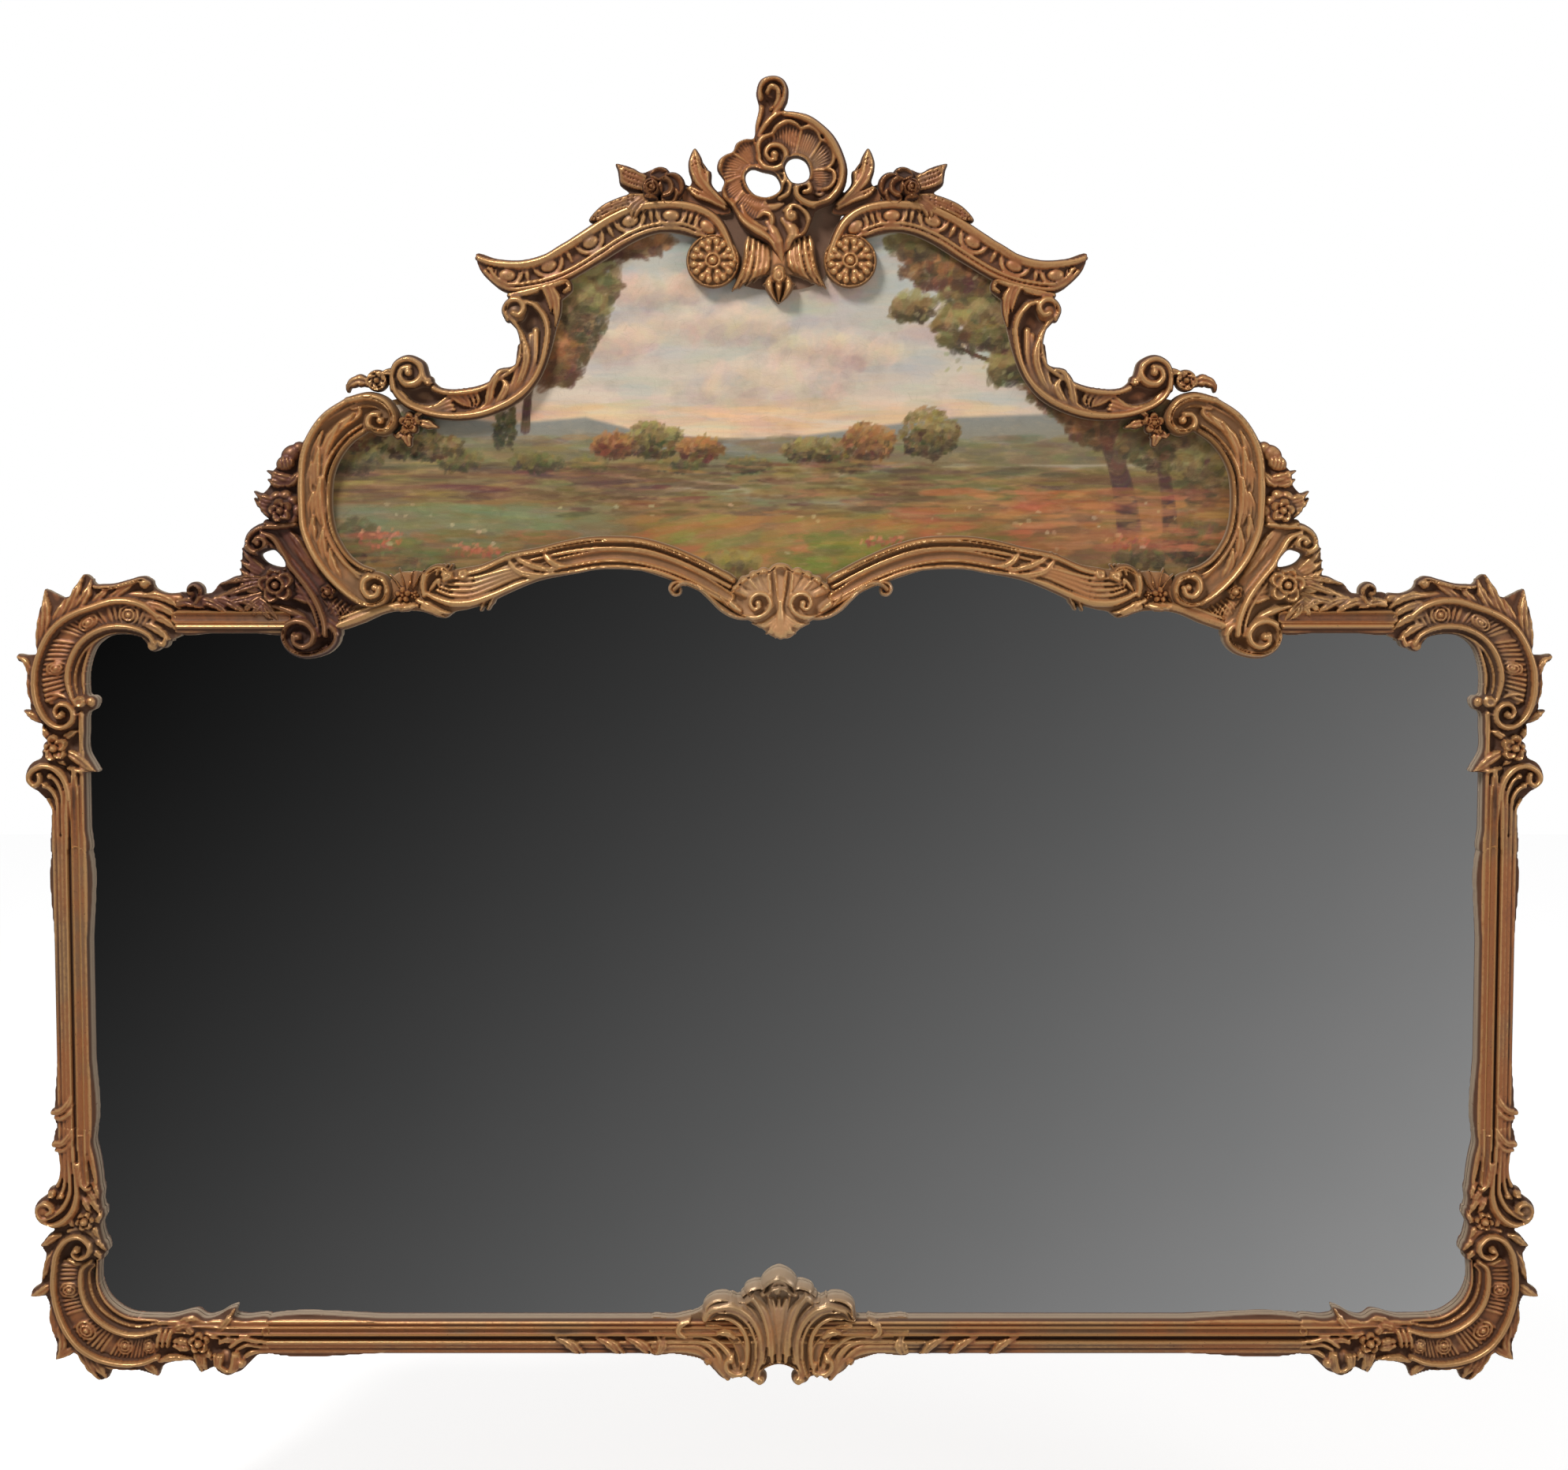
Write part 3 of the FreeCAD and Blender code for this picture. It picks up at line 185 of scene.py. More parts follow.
camera_data = bpy.data.cameras.new("camera")
camera_data.lens = CAMERA_LENS
camera_data.sensor_width = 36.0
camera = bpy.data.objects.new("camera", camera_data)
camera.location = CAMERA_PLACE
camera.rotation_euler = (math.radians(90.0 - CAMERA_TILT), 0.0, 0.0)
bpy.context.scene.collection.objects.link(camera)
bpy.context.scene.camera = camera
bpy.context.scene.view_settings.view_transform = "Standard"

world = bpy.data.worlds.new("studio")
bpy.context.scene.world = world
world.use_nodes = True
world_start = Value(world.node_tree, world.node_tree.nodes["Background"].inputs[0])
seen = world_start.node("LightPath", out="Is Camera Ray").maths("MAXIMUM", world_start.node("LightPath",
    out="Is Transmission Ray"))
strength = seen * (1.0 - WORLD_LIGHT) + WORLD_LIGHT
background = world.node_tree.nodes["Background"]
background.inputs["Color"].default_value = (1.0, 1.0, 1.0, 1.0)
world.node_tree.links.new(strength.socket, background.inputs["Strength"])

floor = card("floor", (0.0, 0.0, cad_box[0][2] - FLOOR_DROP), FLOOR_HALF, 0.0, FLOOR_HALF)
floor.visible_glossy = False
floor_material, shader, start = new_material("floor_white")
seen = start.node("LightPath", out="Is Camera Ray")
feed(shader, Base_Color=(0.8, 0.8, 0.8, 1.0), Roughness=0.9, Emission_Color=(1.0, 1.0, 1.0, 1.0))
feed(shader, Emission_Strength=seen * FLOOR_GLOW)
floor.data.materials.append(floor_material)

# The card glows in a gradient and is seen only by glossy rays, in the glass and the gilding: a painted
# reflection.
card_piece = card("dark_card", (0.0, -CARD_DISTANCE, CARD_HEIGHT), CARD_SIZE / 2, CARD_SIZE / 2)
card_piece.visible_camera = False
card_piece.visible_diffuse = False
card_piece.visible_shadow = False
card_material = bpy.data.materials.new("card_shading")
card_material.use_nodes = True
card_nodes = card_material.node_tree.nodes
card_nodes.clear()
emission = card_nodes.new("ShaderNodeEmission")
card_out = card_nodes.new("ShaderNodeOutputMaterial")
card_material.node_tree.links.new(emission.outputs[0], card_out.inputs[0])
start = Value(card_material.node_tree, emission.inputs[0])
place = start.node("NewGeometry", out="Position")
level = place.part("X") * CARD_ACROSS - place.part("Z") * CARD_UP + CARD_LEVEL
glow = ((level.clamp() + 0.055) * (1 / 1.055)) ** 2.4
card_material.node_tree.links.new(glow.socket, emission.inputs["Strength"])
card_piece.data.materials.append(card_material)


def lamp(name, place, aim, size, power):
    data = bpy.data.lights.new(name, "AREA")
    data.shape = "DISK"
    data.size = size
    data.energy = power
    light = bpy.data.objects.new(name, data)
    light.location = place
    light.rotation_euler = (Vector(aim) - Vector(place)).to_track_quat("-Z", "Y").to_euler()
    bpy.context.scene.collection.objects.link(light)


lamp("key", (-1.4, -2.4, 3.6), (0.0, 0.0, 0.8), 0.8, 110.0)
lamp("fill", (2.6, -2.4, 1.6), (0.0, 0.0, 0.7), 1.6, 22.0)


# ---- carving: how every ornament is made ----
# Lime wood and composition, carved in relief and glued on the back frame. A block is a grid of
# heights above its seat; strokes raise or cut it as a gouge would, and its outline is sawn out.
MM = 0.001
glass_low, glass_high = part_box("mirror_glass")
rail_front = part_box("bottom_rail")[1].y
transom_low, transom_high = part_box("transom")
GLASS_AXIS = (glass_low.x + glass_high.x) / 2
PICTURE_AXIS = (transom_low.x + transom_high.x) / 2
DATUM = (GLASS_AXIS - 1.5 * MM, glass_low.z - 67.0 * MM)
SEAT = -rail_front
STEP = 1.2
COMMON_LIFT = 5.0
LOW_FORMS = 16.5
BACK_STEP = 0.15
WEAR = 0.7
VALLEY_WIDTH = 4.5
VALLEY_DEPTH = 3.0
EDGE_REACH = 12.0
EDGE_ROUND = 8.5
EDGE_SWELL = 0.25
SMOOTH_UP_TO = math.radians(62.0)


def bead(u):
    return np.sqrt(1.0 - u * u)


def ridge(u):
    return 1.0 - np.abs(u)


def band(u):
    return (1.0 - u ** 6) ** 0.5


def gutter(u):
    """A hollow between two rolled edges."""
    rims = np.exp(-((np.abs(u) - 0.74) / 0.2) ** 2)
    return (0.35 + 0.65 * rims) * (1.0 - u ** 10) ** 0.5


def blade(u):
    """A leaf's section: two swelling halves and a groove along the middle."""
    return bead(u) * (1.0 - 0.4 * np.exp(-(u / 0.18) ** 2))


def way(text):
    """Points of the drawing, from a text of x,z pairs."""
    return [tuple(map(float, pair.split(","))) for pair in text.split()] if isinstance(text, str) else text


def flow(points, closed=False, spacing=2.0):
    """A smooth line through points, which may be written as a text of x,z pairs."""
    p = np.array(way(points), float)
    if closed:
        p = np.vstack([p[-1], p, p[:2]])
    else:
        p = np.vstack([2 * p[0] - p[1], p, 2 * p[-1] - p[-2]])
    line = []
    for a, b, c, d in zip(p, p[1:], p[2:], p[3:]):
        before, along, after = (max(np.hypot(*v), 1e-6) for v in (b - a, c - b, d - c))
        leave = (c - a) * along / (before + along)
        arrive = (d - b) * along / (along + after)
        count = max(2, int(along / spacing))
        t = (np.arange(count) / count)[:, None]
        line.append(b * (1 + 2 * t) * (1 - t) ** 2 + leave * t * (1 - t) ** 2 + c * t * t * (3 - 2 * t)
            - arrive * t * t * (1 - t))
    line.append(line[0][:1] if closed else p[-2:-1])
    return np.vstack(line)


def spread(values, share):
    """A number, or numbers spaced evenly along a line, at each share of its length."""
    if np.ndim(values) == 0:
        return np.full(np.shape(share), float(values))
    return np.interp(share, np.linspace(0.0, 1.0, len(values)), values)


def coil(x, z, radius, start, turns, eye=0.18):
    """Points of a spiral that winds in. start is in degrees; clockwise turns are negative."""
    share = np.linspace(0.0, 1.0, max(6, int(abs(turns) * 10)))
    angle = np.radians(start) + 2 * np.pi * turns * share
    r = radius * eye ** share
    return [(x + a, z + b) for a, b in zip(r * np.cos(angle), r * np.sin(angle))]


def beside(points, offset):
    """A line kept at a distance to the left of another (to the right when negative)."""
    line = flow(points, spacing=6.0)
    along = np.gradient(line, axis=0)
    along /= np.hypot(along[:, 0], along[:, 1])[:, None]
    gap = spread(offset, np.linspace(0, 1, len(line)))[:, None]
    return line + gap * np.stack([-along[:, 1], along[:, 0]], 1)


class Carving:
    """A block of wood over a part of the drawing."""
    built = 0

    def __init__(self, left, low, right, high, step=STEP):
        self.step, self.left, self.low = step, left, low
        self.x, self.z = np.meshgrid(np.arange(left, right + step, step), np.arange(low, high + step, step))
        self.height = np.full(self.x.shape, 2.0)
        self.inside = np.full(self.x.shape, -9.0)

    def near(self, line, reach):
        """Each point's distance to a line, the side it lies on and its share of the length."""
        distance = np.full(self.x.shape, 99.0)
        side = np.ones(self.x.shape)
        run = np.zeros(self.x.shape)
        steps = np.diff(line, axis=0)
        lengths = np.maximum(np.hypot(steps[:, 0], steps[:, 1]), 1e-6)
        starts = np.concatenate([[0.0], np.cumsum(lengths)])
        origin, size = np.array([self.left, self.low]), self.x.shape[::-1]
        for k in range(0, len(steps), 8):
            part = line[k:k + 9]
            first = np.clip((part.min(0) - reach - origin) / self.step, 0, size).astype(int)
            last = np.clip((part.max(0) + reach - origin) / self.step + 2, 0, size).astype(int)
            area = (slice(first[1], last[1]), slice(first[0], last[0]))
            px, pz = self.x[area][..., None], self.z[area][..., None]
            if not px.size:
                continue
            a, d, n = line[k:k + 8][:len(part) - 1], steps[k:k + 8], lengths[k:k + 8]
            t = np.clip(((px - a[:, 0]) * d[:, 0] + (pz - a[:, 1]) * d[:, 1]) / n ** 2, 0, 1)
            ox, oz = px - a[:, 0] - t * d[:, 0], pz - a[:, 1] - t * d[:, 1]
            gap = np.hypot(ox, oz)
            best = gap.argmin(-1)[..., None]
            gap = np.take_along_axis(gap, best, -1)[..., 0]
            turn = np.take_along_axis(d[:, 0] * oz - d[:, 1] * ox, best, -1)[..., 0]
            here = np.take_along_axis(starts[k:k + len(a)] + t * n, best, -1)[..., 0]
            closer = gap < distance[area]
            distance[area] = np.where(closer, gap, distance[area])
            side[area] = np.where(closer, np.sign(turn), side[area])
            run[area] = np.where(closer, here, run[area])
        return distance, side, run / starts[-1]

    def raise_to(self, height, where):
        self.height = np.where(where, np.maximum(self.height, height), self.height)

    def stroke(self, points, half, top, steep=1.0, form=bead, closed=False, veins=0, lobes=0.0):
        """A band along a line: its half width and top along the way, and its section.
        veins cuts so many slanting grooves into each side, and lobes scallops its edges with them."""
        line = flow(points, closed, spacing=min(2.5, max(0.7, 0.5 * np.max(half))))
        distance, side, share = self.near(line, np.max(half) + 1.5)
        width = np.maximum(spread(half, share), 0.05)
        reach = distance / width
        beat = (share * veins - 0.45 * np.minimum(reach, 1.0)) % 1.0 if veins else 0.0
        if lobes:
            width = width * (1.0 - lobes * np.abs(2 * beat - 1.0) ** 1.5)
        u = np.clip(side * distance / width, -1.0, 1.0)
        height = spread(top, share) - steep * width * (1.0 - form(u))
        if veins:
            height = height - 0.22 * width * np.abs(u) * np.abs(2 * beat - 1.0) ** 3
        self.raise_to(height, distance < width)
        self.inside = np.maximum(self.inside, np.where(distance < 90, width - distance, -9.0))

    def strokes(self, *rows):
        for row in rows:
            self.stroke(*row)

    def groove(self, points, half, depth):
        distance, side, share = self.near(flow(points, spacing=1.0), np.max(half))
        u = np.clip(side * distance / np.maximum(spread(half, share), 0.05), -1.0, 1.0)
        self.height = self.height - np.where(np.abs(u) < 1, spread(depth, share) * bead(u), 0.0)

    def away(self, points):
        """How far inside a closed outline each point is."""
        ring = flow(points, closed=True)
        distance = np.minimum(self.near(ring, EDGE_REACH)[0], EDGE_REACH)
        within = np.zeros(self.x.shape, bool)
        a, b = ring[:-1], ring[1:]
        for row, z in enumerate(self.z[:, 0]):
            hit = (a[:, 1] > z) != (b[:, 1] > z)
            cross = a[hit, 0] + (z - a[hit, 1]) * (b[hit, 0] - a[hit, 0]) / (b[hit, 1] - a[hit, 1])
            within[row] = np.searchsorted(np.sort(cross), self.x[row]) % 2 == 1
        return np.where(within, distance, -distance)

    def ground(self, points, top):
        """The board inside an outline."""
        inside = self.away(points)
        self.raise_to(top, inside > -self.step)
        self.inside = np.maximum(self.inside, inside)

    def pierce(self, points):
        self.inside = np.minimum(self.inside, -self.away(points))

    def turned(self, x, z, tilt):
        """Each point's place along and across a line through a centre, tilted by so many degrees."""
        c, s = math.cos(math.radians(tilt)), math.sin(math.radians(tilt))
        dx, dz = self.x - x, self.z - z
        return dx * c + dz * s, dz * c - dx * s

    def ball(self, x, z, radius, top, squash=1.0, tilt=0.0):
        along, across = self.turned(x, z, tilt)
        r = np.hypot(along / radius, across / (radius * squash))
        self.raise_to(top - radius * min(squash, 1.0) * (1 - bead(np.minimum(r, 1.0))), r < 1)
        self.inside = np.maximum(self.inside, np.where(r < 3, (1 - r) * radius * min(squash, 1.0), -9.0))

    def ring(self, x, z, radius, half, top, form=bead):
        turn = np.linspace(0, 2 * np.pi, 12, endpoint=False)
        self.stroke([(x + radius * math.cos(a), z + radius * math.sin(a)) for a in turn], half, top, 1.0,
            form, closed=True)

    def volute(self, x, z, radius, start, turns, top, lead=(), width=0.30, eye=0.2):
        """A scroll's end: a band that leads in, winds up and rises to a round eye."""
        self.ball(x, z, radius, top - 0.35 * radius)
        path = list(lead) + coil(x, z, radius * (1 - width * 0.8), start, turns, eye)
        half = radius * width
        self.stroke(path, [half * 0.8] * 2 + [half, half * 0.75, half * 0.5], [top - 1.0, top, top + 1.5],
            1.1)
        self.ball(x, z, radius * 0.26, top + 2.0)

    def dish(self, x, z, radius, top, sunk, squash=1.0, tilt=0.0, cut=2.5):
        """A petal laid over what is there: hollow, with a rolled edge and a cut round it."""
        along, across = self.turned(x, z, tilt)
        r = np.hypot(along / (radius * squash), across / radius)
        edge = (1 - r) * radius * min(squash, 1.0)
        hollow, roll = np.clip((0.84 - r) / 0.5, 0, 1), np.clip((r - 0.84) / 0.16, 0, 1)
        form = top - sunk * hollow ** 1.3 - 3.5 * roll ** 2
        self.height = np.where(edge > 0, form, self.height - cut * np.clip(1 + edge / 1.8, 0, 1))
        self.inside = np.maximum(self.inside, np.where(r < 3, edge, -9.0))

    def trim(self, points):
        """Saws the block to an outline."""
        self.inside = np.minimum(self.inside, self.away(points))

    def flower(self, x, z, radius, petals, top, turn=0.0, bud=0.3):
        """Broad petals laid round a bud."""
        size = 0.62 * radius * math.sin(math.pi / petals) + 0.06 * radius
        for k in range(petals):
            a = math.radians(turn) + 2 * math.pi * k / petals
            out = radius - size * 1.15
            self.dish(x + out * math.cos(a), z + out * math.sin(a), size, top - 1.0, 0.4 * size, 1.15,
                math.degrees(a), 4.0)
        self.dish(x, z, radius * bud * 1.2, top - 1.0, 0.0, cut=5.0)
        self.ball(x, z, radius * bud, top + 2.5)

    def fan(self, first, last, count, top, fill=1.04):
        """Fingers side by side between two guide lines, as flutes, ribs or the lobes of a leaf."""
        a, b = (resampled(p, 12) for p in (first, last))
        gap = np.hypot(*(a - b).T) / count / 2 * fill
        for k in range(count):
            self.stroke(a + (b - a) * (k + 0.5) / count, gap, top)

    def blur(self, values, radius):
        """A Gaussian blur over the wood alone."""
        taps = np.arange(-int(2.5 * radius / self.step) - 1, int(2.5 * radius / self.step) + 2)
        weights = np.exp(-0.5 * (taps * self.step / radius) ** 2)
        solid = (self.inside > 0).astype(float)
        out, mass = values * solid, solid
        for axis in (0, 1):
            out = sum(w * np.roll(out, t, axis) for w, t in zip(weights, taps))
            mass = sum(w * np.roll(mass, t, axis) for w, t in zip(weights, taps))
        return out / np.maximum(mass, 1e-6)

    def build(self, name, node, rim=7.0, back=0.0, layers=None, closed=True):
        """The finished solid, as deep as its node: edges rounded down to a side wall, and a flat back.
        Forms as low as the mouldings keep a common level, and the tall ones rise to the node's front."""
        height = np.maximum(self.blur(self.height, WEAR), 1.0)
        height = np.maximum(height, self.blur(height, VALLEY_WIDTH) - VALLEY_DEPTH)
        if node:
            highest = height[self.inside > 0].max()
            spare = (-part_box(node)[0].y - SEAT) / MM - highest - COMMON_LIFT
            tall = np.clip((height - LOW_FORMS) / max(highest - LOW_FORMS, 1.0), 0.0, 1.0)
            height = height + COMMON_LIFT * np.clip(height / 14.0, 0.0, 1.0) + spare * tall
        depth = np.clip(self.inside, 0.0, EDGE_REACH)
        height = np.minimum(height, rim + EDGE_ROUND * np.sqrt(depth) + EDGE_SWELL * depth ** 2)
        # crest and hollow measure the ridges and recesses; the gilding paints highlights on the one and shade
        # in the other.
        layers = layers or {"crest": (height - self.blur(height, 2.4)) / 1.6,
            "hollow": (self.blur(height, 6.0) - height) / 6.0}
        inside = np.where(np.abs(self.inside) < 0.12, 0.12, self.inside)
        inside[:, 0] = inside[:, -1] = inside[0, :] = inside[-1, :] = -1.0
        solid = inside > 0
        number = np.full(solid.shape, -1)
        number[solid] = np.arange(solid.sum())
        places = [np.stack([self.x[solid], self.z[solid], height[solid]], 1)]
        worn = [np.stack([v[solid] for v in layers.values()], 1)]
        count = int(solid.sum())
        cuts = []
        for axis in (0, 1):
            here = tuple(slice(0, n - (axis == k)) for k, n in enumerate(solid.shape))
            there = tuple(slice(1 if axis == k else 0, n) for k, n in enumerate(solid.shape))
            crossing = solid[here] != solid[there]
            ids = np.full(crossing.shape, -1)
            ids[crossing] = count + np.arange(crossing.sum())
            count += int(crossing.sum())
            a, b = inside[here][crossing], inside[there][crossing]
            t = a / (a - b)
            x = self.x[here][crossing] * (1 - t) + self.x[there][crossing] * t
            z = self.z[here][crossing] * (1 - t) + self.z[there][crossing] * t
            own = np.where(a > 0, height[here][crossing], height[there][crossing])
            places.append(np.stack([x, z, np.minimum(own, rim)], 1))
            level = [np.where(a > 0, v[here][crossing], v[there][crossing]) for v in layers.values()]
            worn.append(np.stack(level, 1))
            cuts.append(ids)
        up, across = cuts
        corner = [number[:-1, :-1], number[:-1, 1:], number[1:, 1:], number[1:, :-1]]
        middle = [across[:-1, :], up[:, 1:], across[1:, :], up[:, :-1]]
        case = sum((c >= 0).astype(int) << k for k, c in enumerate(corner))
        faces, walls = [], []
        for kind in range(1, 16):
            cells = case == kind
            if not cells.any():
                continue
            loop, leaving, entering = [], [], []
            for k in range(4):
                has, following = kind >> k & 1, kind >> ((k + 1) % 4) & 1
                if has:
                    loop.append(corner[k][cells])
                if has != following:
                    loop.append(middle[k][cells])
                    (leaving if has else entering).append((len(loop), middle[k][cells]))
            faces.append(np.stack(loop, 1))
            for place, ids in leaving:
                after = [e for e in entering if e[0] > place] or entering
                walls.append(np.stack([ids, after[0][1]], 1))
        points = np.vstack(places)
        x, z, out = points.T * MM
        front = np.stack([x + DATUM[0], -SEAT - out, z + DATUM[1]], 1)
        rear = front.copy()
        Carving.built += 1    # no two backs share a plane, so overlapping pieces shade cleanly
        rear[:, 1] = -(SEAT + (back + BACK_STEP * (Carving.built % 7)) * MM)
        loops, sizes = [], []
        for block in faces:
            loops += [block.ravel()] + [(block[:, ::-1] + count).ravel()] * closed
            sizes += [np.full((1 + closed) * len(block), block.shape[1])]
        if closed:
            a, b = np.vstack(walls).T
            loops.append(np.stack([b, a, a + count, b + count], 1).ravel())
            sizes.append(np.full(len(a), 4))
            front, worn = np.vstack([front, rear]), worn * 2
        return make_piece(name, front, np.concatenate(loops), np.concatenate(sizes), layers, np.vstack(worn))


def teeth(block, inner, outer, count, top, fill=1.0, lift=0.0, cut=0.9):
    """Ribs across a band, from its inner line to its outer one, with grooves cut between them."""
    a, b = (resampled(p, 2 * count + 1) for p in (inner, outer))
    for k in range(1, 2 * count, 2):
        half = [np.hypot(*(p[k + 1] - p[k - 1])) / 2 * fill for p in (a, b)]
        block.stroke([a[k], (a[k] + b[k]) / 2, b[k]], [half[0], sum(half) / 2, half[1]],
            [top, top + lift, top])
    for k in range(2, 2 * count - 1, 2):
        block.groove([a[k], (a[k] + b[k]) / 2, b[k]], [0.6, 0.9, 1.0], cut)


def resampled(points, count):
    line = flow(points)
    run = np.concatenate([[0], np.cumsum(np.hypot(*np.diff(line, axis=0).T))])
    at = np.linspace(0, run[-1], count)
    return np.stack([np.interp(at, run, line[:, k]) for k in (0, 1)], 1)


def make_piece(name, places, loops, sizes, layers, values_at):
    """A mesh object from flat arrays, with its layers' values on the points, smoothly shaded."""
    mesh = bpy.data.meshes.new(name)
    mesh.vertices.add(len(places))
    mesh.vertices.foreach_set("co", places.astype(np.float32).ravel())
    mesh.loops.add(len(loops))
    mesh.loops.foreach_set("vertex_index", loops.astype(np.int32))
    mesh.polygons.add(len(sizes))
    mesh.polygons.foreach_set("loop_start", np.concatenate([[0], np.cumsum(sizes)[:-1]]).astype(np.int32))
    for key, values in zip(layers, values_at.T):
        mesh.attributes.new(key, "FLOAT", "POINT").data.foreach_set("value", values.astype(np.float32))
    mesh.update(calc_edges=True)
    mesh.validate()
    mesh.polygons.foreach_set("use_smooth", np.ones(len(mesh.polygons), bool))
    mesh.set_sharp_from_angle(angle=SMOOTH_UP_TO)
    piece = bpy.data.objects.new(name, mesh)
    bpy.context.scene.collection.objects.link(piece)
    return piece


def other_hand(piece, name, axis):
    """The mirror image of a piece, about an upright axis in the wall plane."""
    mesh = piece.data.copy()
    mesh.name = name
    places = np.empty(len(mesh.vertices) * 3, np.float32)
    mesh.vertices.foreach_get("co", places)
    places[0::3] = 2 * axis - places[0::3]
    mesh.vertices.foreach_set("co", places)
    mesh.flip_normals()
    mesh.update()
    other = bpy.data.objects.new(name, mesh)
    bpy.context.scene.collection.objects.link(other)
    return other


def gilding(name, gold=1.0, red=0.0, dark=0.0, bright=0.0, pale=0.0, rub=(116, 86, 52)):
    """Bronze-gold leaf over reddish bole: crests rubbed bright with a painted highlight, hollows glazed brown
    with painted shade.
    """
    material, shader, start = new_material(name)
    place = start.node("NewGeometry", out="Position")
    crest = start.node("Attribute", {"attribute_name": "crest"}, out="Fac")
    hollow = start.node("Attribute", {"attribute_name": "hollow"}, out="Fac")
    cloud = place.noise(9.0, 4.0, 0.6)
    grain = place.noise(140.0, 3.0, 0.6)
    speck = place.noise(420.0, 2.0, 0.6)
    # Crests: rubbed gold, with a painted highlight along the ridges.
    rubbed_and_highlit = (crest + (grain - 0.5) * 1.1 + (cloud - 0.5) * 1.2).between(0.0, 0.95)
    # Hollows: brown glaze, with painted shade in the recesses.
    deep = (hollow + (grain - 0.5) * 0.45 - crest * 0.3).between(0.0, 0.62)
    patina = cloud.between(0.46, 0.66)
    bole = place.noise(23.0, 4.0, 0.65).between(0.56 - 0.36 * red, 0.74 - 0.24 * red)
    base = patina.mix(srgb(153, 94, 52), srgb(128, 94, 64))
    base = (bole * (0.4 + 0.5 * red)).mix(base, srgb(108, 62, 50))
    base = (rubbed_and_highlit * (0.8 * gold)).mix(base, srgb(208, 160, 106))
    base = (deep * 0.85).mix(base, srgb(66, 38, 20))
    base = (speck.between(0.64, 0.74) * 0.7).mix(base, srgb(66, 42, 30))
    for share, mode, tint in ((dark, "MULTIPLY", (140, 104, 104)), (bright, "SCREEN", rub)):
        if share:
            base = base.blend(mode, share, srgb(*tint))
    if pale:
        height = place.part("Z")
        base = (height.between(0.005, 0.075) * pale).mix(base, srgb(160, 138, 112))
    # Side walls near the back, which face sideways, are painted a pale grey: worn gesso at the lip, and a
    # painted highlight where those walls would lie in shade.
    depth = place.part("Y")
    facing = start.node("NewGeometry", out="Normal").part("Y").maths("ABSOLUTE")
    edge = (1 - facing.between(0.3, 0.75)) * depth.between(-0.034, -0.027)
    base = (edge * 0.85).mix(base, srgb(158, 138, 114))
    feed(shader, Base_Color=base, Metallic=(rubbed_and_highlit * 0.35 + 0.2) * (1 - deep) * (1 - edge),
        Roughness=deep * 0.3 - rubbed_and_highlit * 0.14 + 0.48, Normal=start.node("Bump", Height=grain * 0.6 + speck * 0.4,
        Distance=0.0006, Strength=0.5))
    return material


GILDED = gilding("aged_gilding")
GILDED_RED = gilding("aged_gilding_red", gold=0.55, red=1.0, dark=0.35)
GILDED_PALE = gilding("aged_gilding_pale", red=0.4, pale=0.75, bright=0.7)
GILDED_BROWN = gilding("aged_gilding_brown", dark=0.35)
GILDED_ROSE = gilding("aged_gilding_rose", gold=0.8, red=0.35, dark=0.55)
# Darkened as painted shade, for the sunk crest board.
GILDED_SHADED = gilding("aged_gilding_painted_shade", gold=0.4, dark=0.9, pale=0.3)
GILDED_BRIGHT = gilding("aged_gilding_bright", bright=0.6)
GILDED_LIGHT = gilding("aged_gilding_light", bright=1.0, rub=(148, 114, 80))


def fit(piece, node, material=GILDED):
    """Gives a piece its finish and puts it on the frame in place of its node's plain solid."""
    piece.data.materials.clear()
    piece.data.materials.append(material)
    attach(piece, "root")
    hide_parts(node)


def fit_pair(block, name, node, material=GILDED, right_material=None, rim=7.0, back=0.0, axis=PICTURE_AXIS,
        depth_of=None):
    """Builds a left piece, and its mirror image as the right one."""
    left = block.build(name + "_left", (depth_of or node) + "_left", rim, back)
    right = other_hand(left, name + "_right", axis)
    fit(left, node + "_left", material)
    fit(right, node + "_right", right_material or material)


# ---- the back frame: pine, and what is screwed to it ----
# Plain sawn pine halved at the corners, with the fillets that hold the glass in its rebate.
# These pieces keep their own solids; the faces show long grain that turns with each piece.
def pine(name, along, tone=0.0):
    """Old sawn pine, its grain running along an axis."""
    material, shader, start = new_material(name)
    place = start.node("TexCoord", out="Object")
    stretch = [16.0, 16.0, 16.0]
    stretch[along] = 0.9
    rings = place.node("Mapping", Vector=place, Scale=stretch)
    grain = rings.node("TexNoise", Vector=rings, Scale=3.2, Detail=6.0, Roughness=0.62, Distortion=0.6)
    lines = place.noise(90.0, 2.0, 0.5, stretch=[s / 16.0 for s in stretch])
    stain = place.noise(4.0, 3.0, 0.6)
    base = grain.between(0.35, 0.68).mix(srgb(206, 164, 108), srgb(150, 100, 58))
    base = (stain.between(0.4, 0.75) * (0.45 + tone)).mix(base, srgb(98, 66, 40))
    feed(shader, Base_Color=base, Roughness=lines * 0.2 + 0.6, Normal=start.node("Bump",
        Height=lines * 0.5 + grain, Distance=0.0008, Strength=0.5))
    return material


def dress(node, material):
    """Gives a node's own solid a finish."""
    piece = bpy.data.objects[node]
    for slot in piece.material_slots:
        slot.material = material
    if not piece.material_slots:
        piece.data.materials.append(material)


PINE_UPRIGHT = pine("pine_upright", 2)
PINE_ACROSS = pine("pine_across", 0, 0.1)
for node in nodes:
    if node.startswith(("back_stile", "upright", "centre_upright")):
        dress(node, PINE_UPRIGHT)
    elif node.startswith(("back_", "transom", "cross_batten", "glazing_fillets")):
        dress(node, PINE_ACROSS)


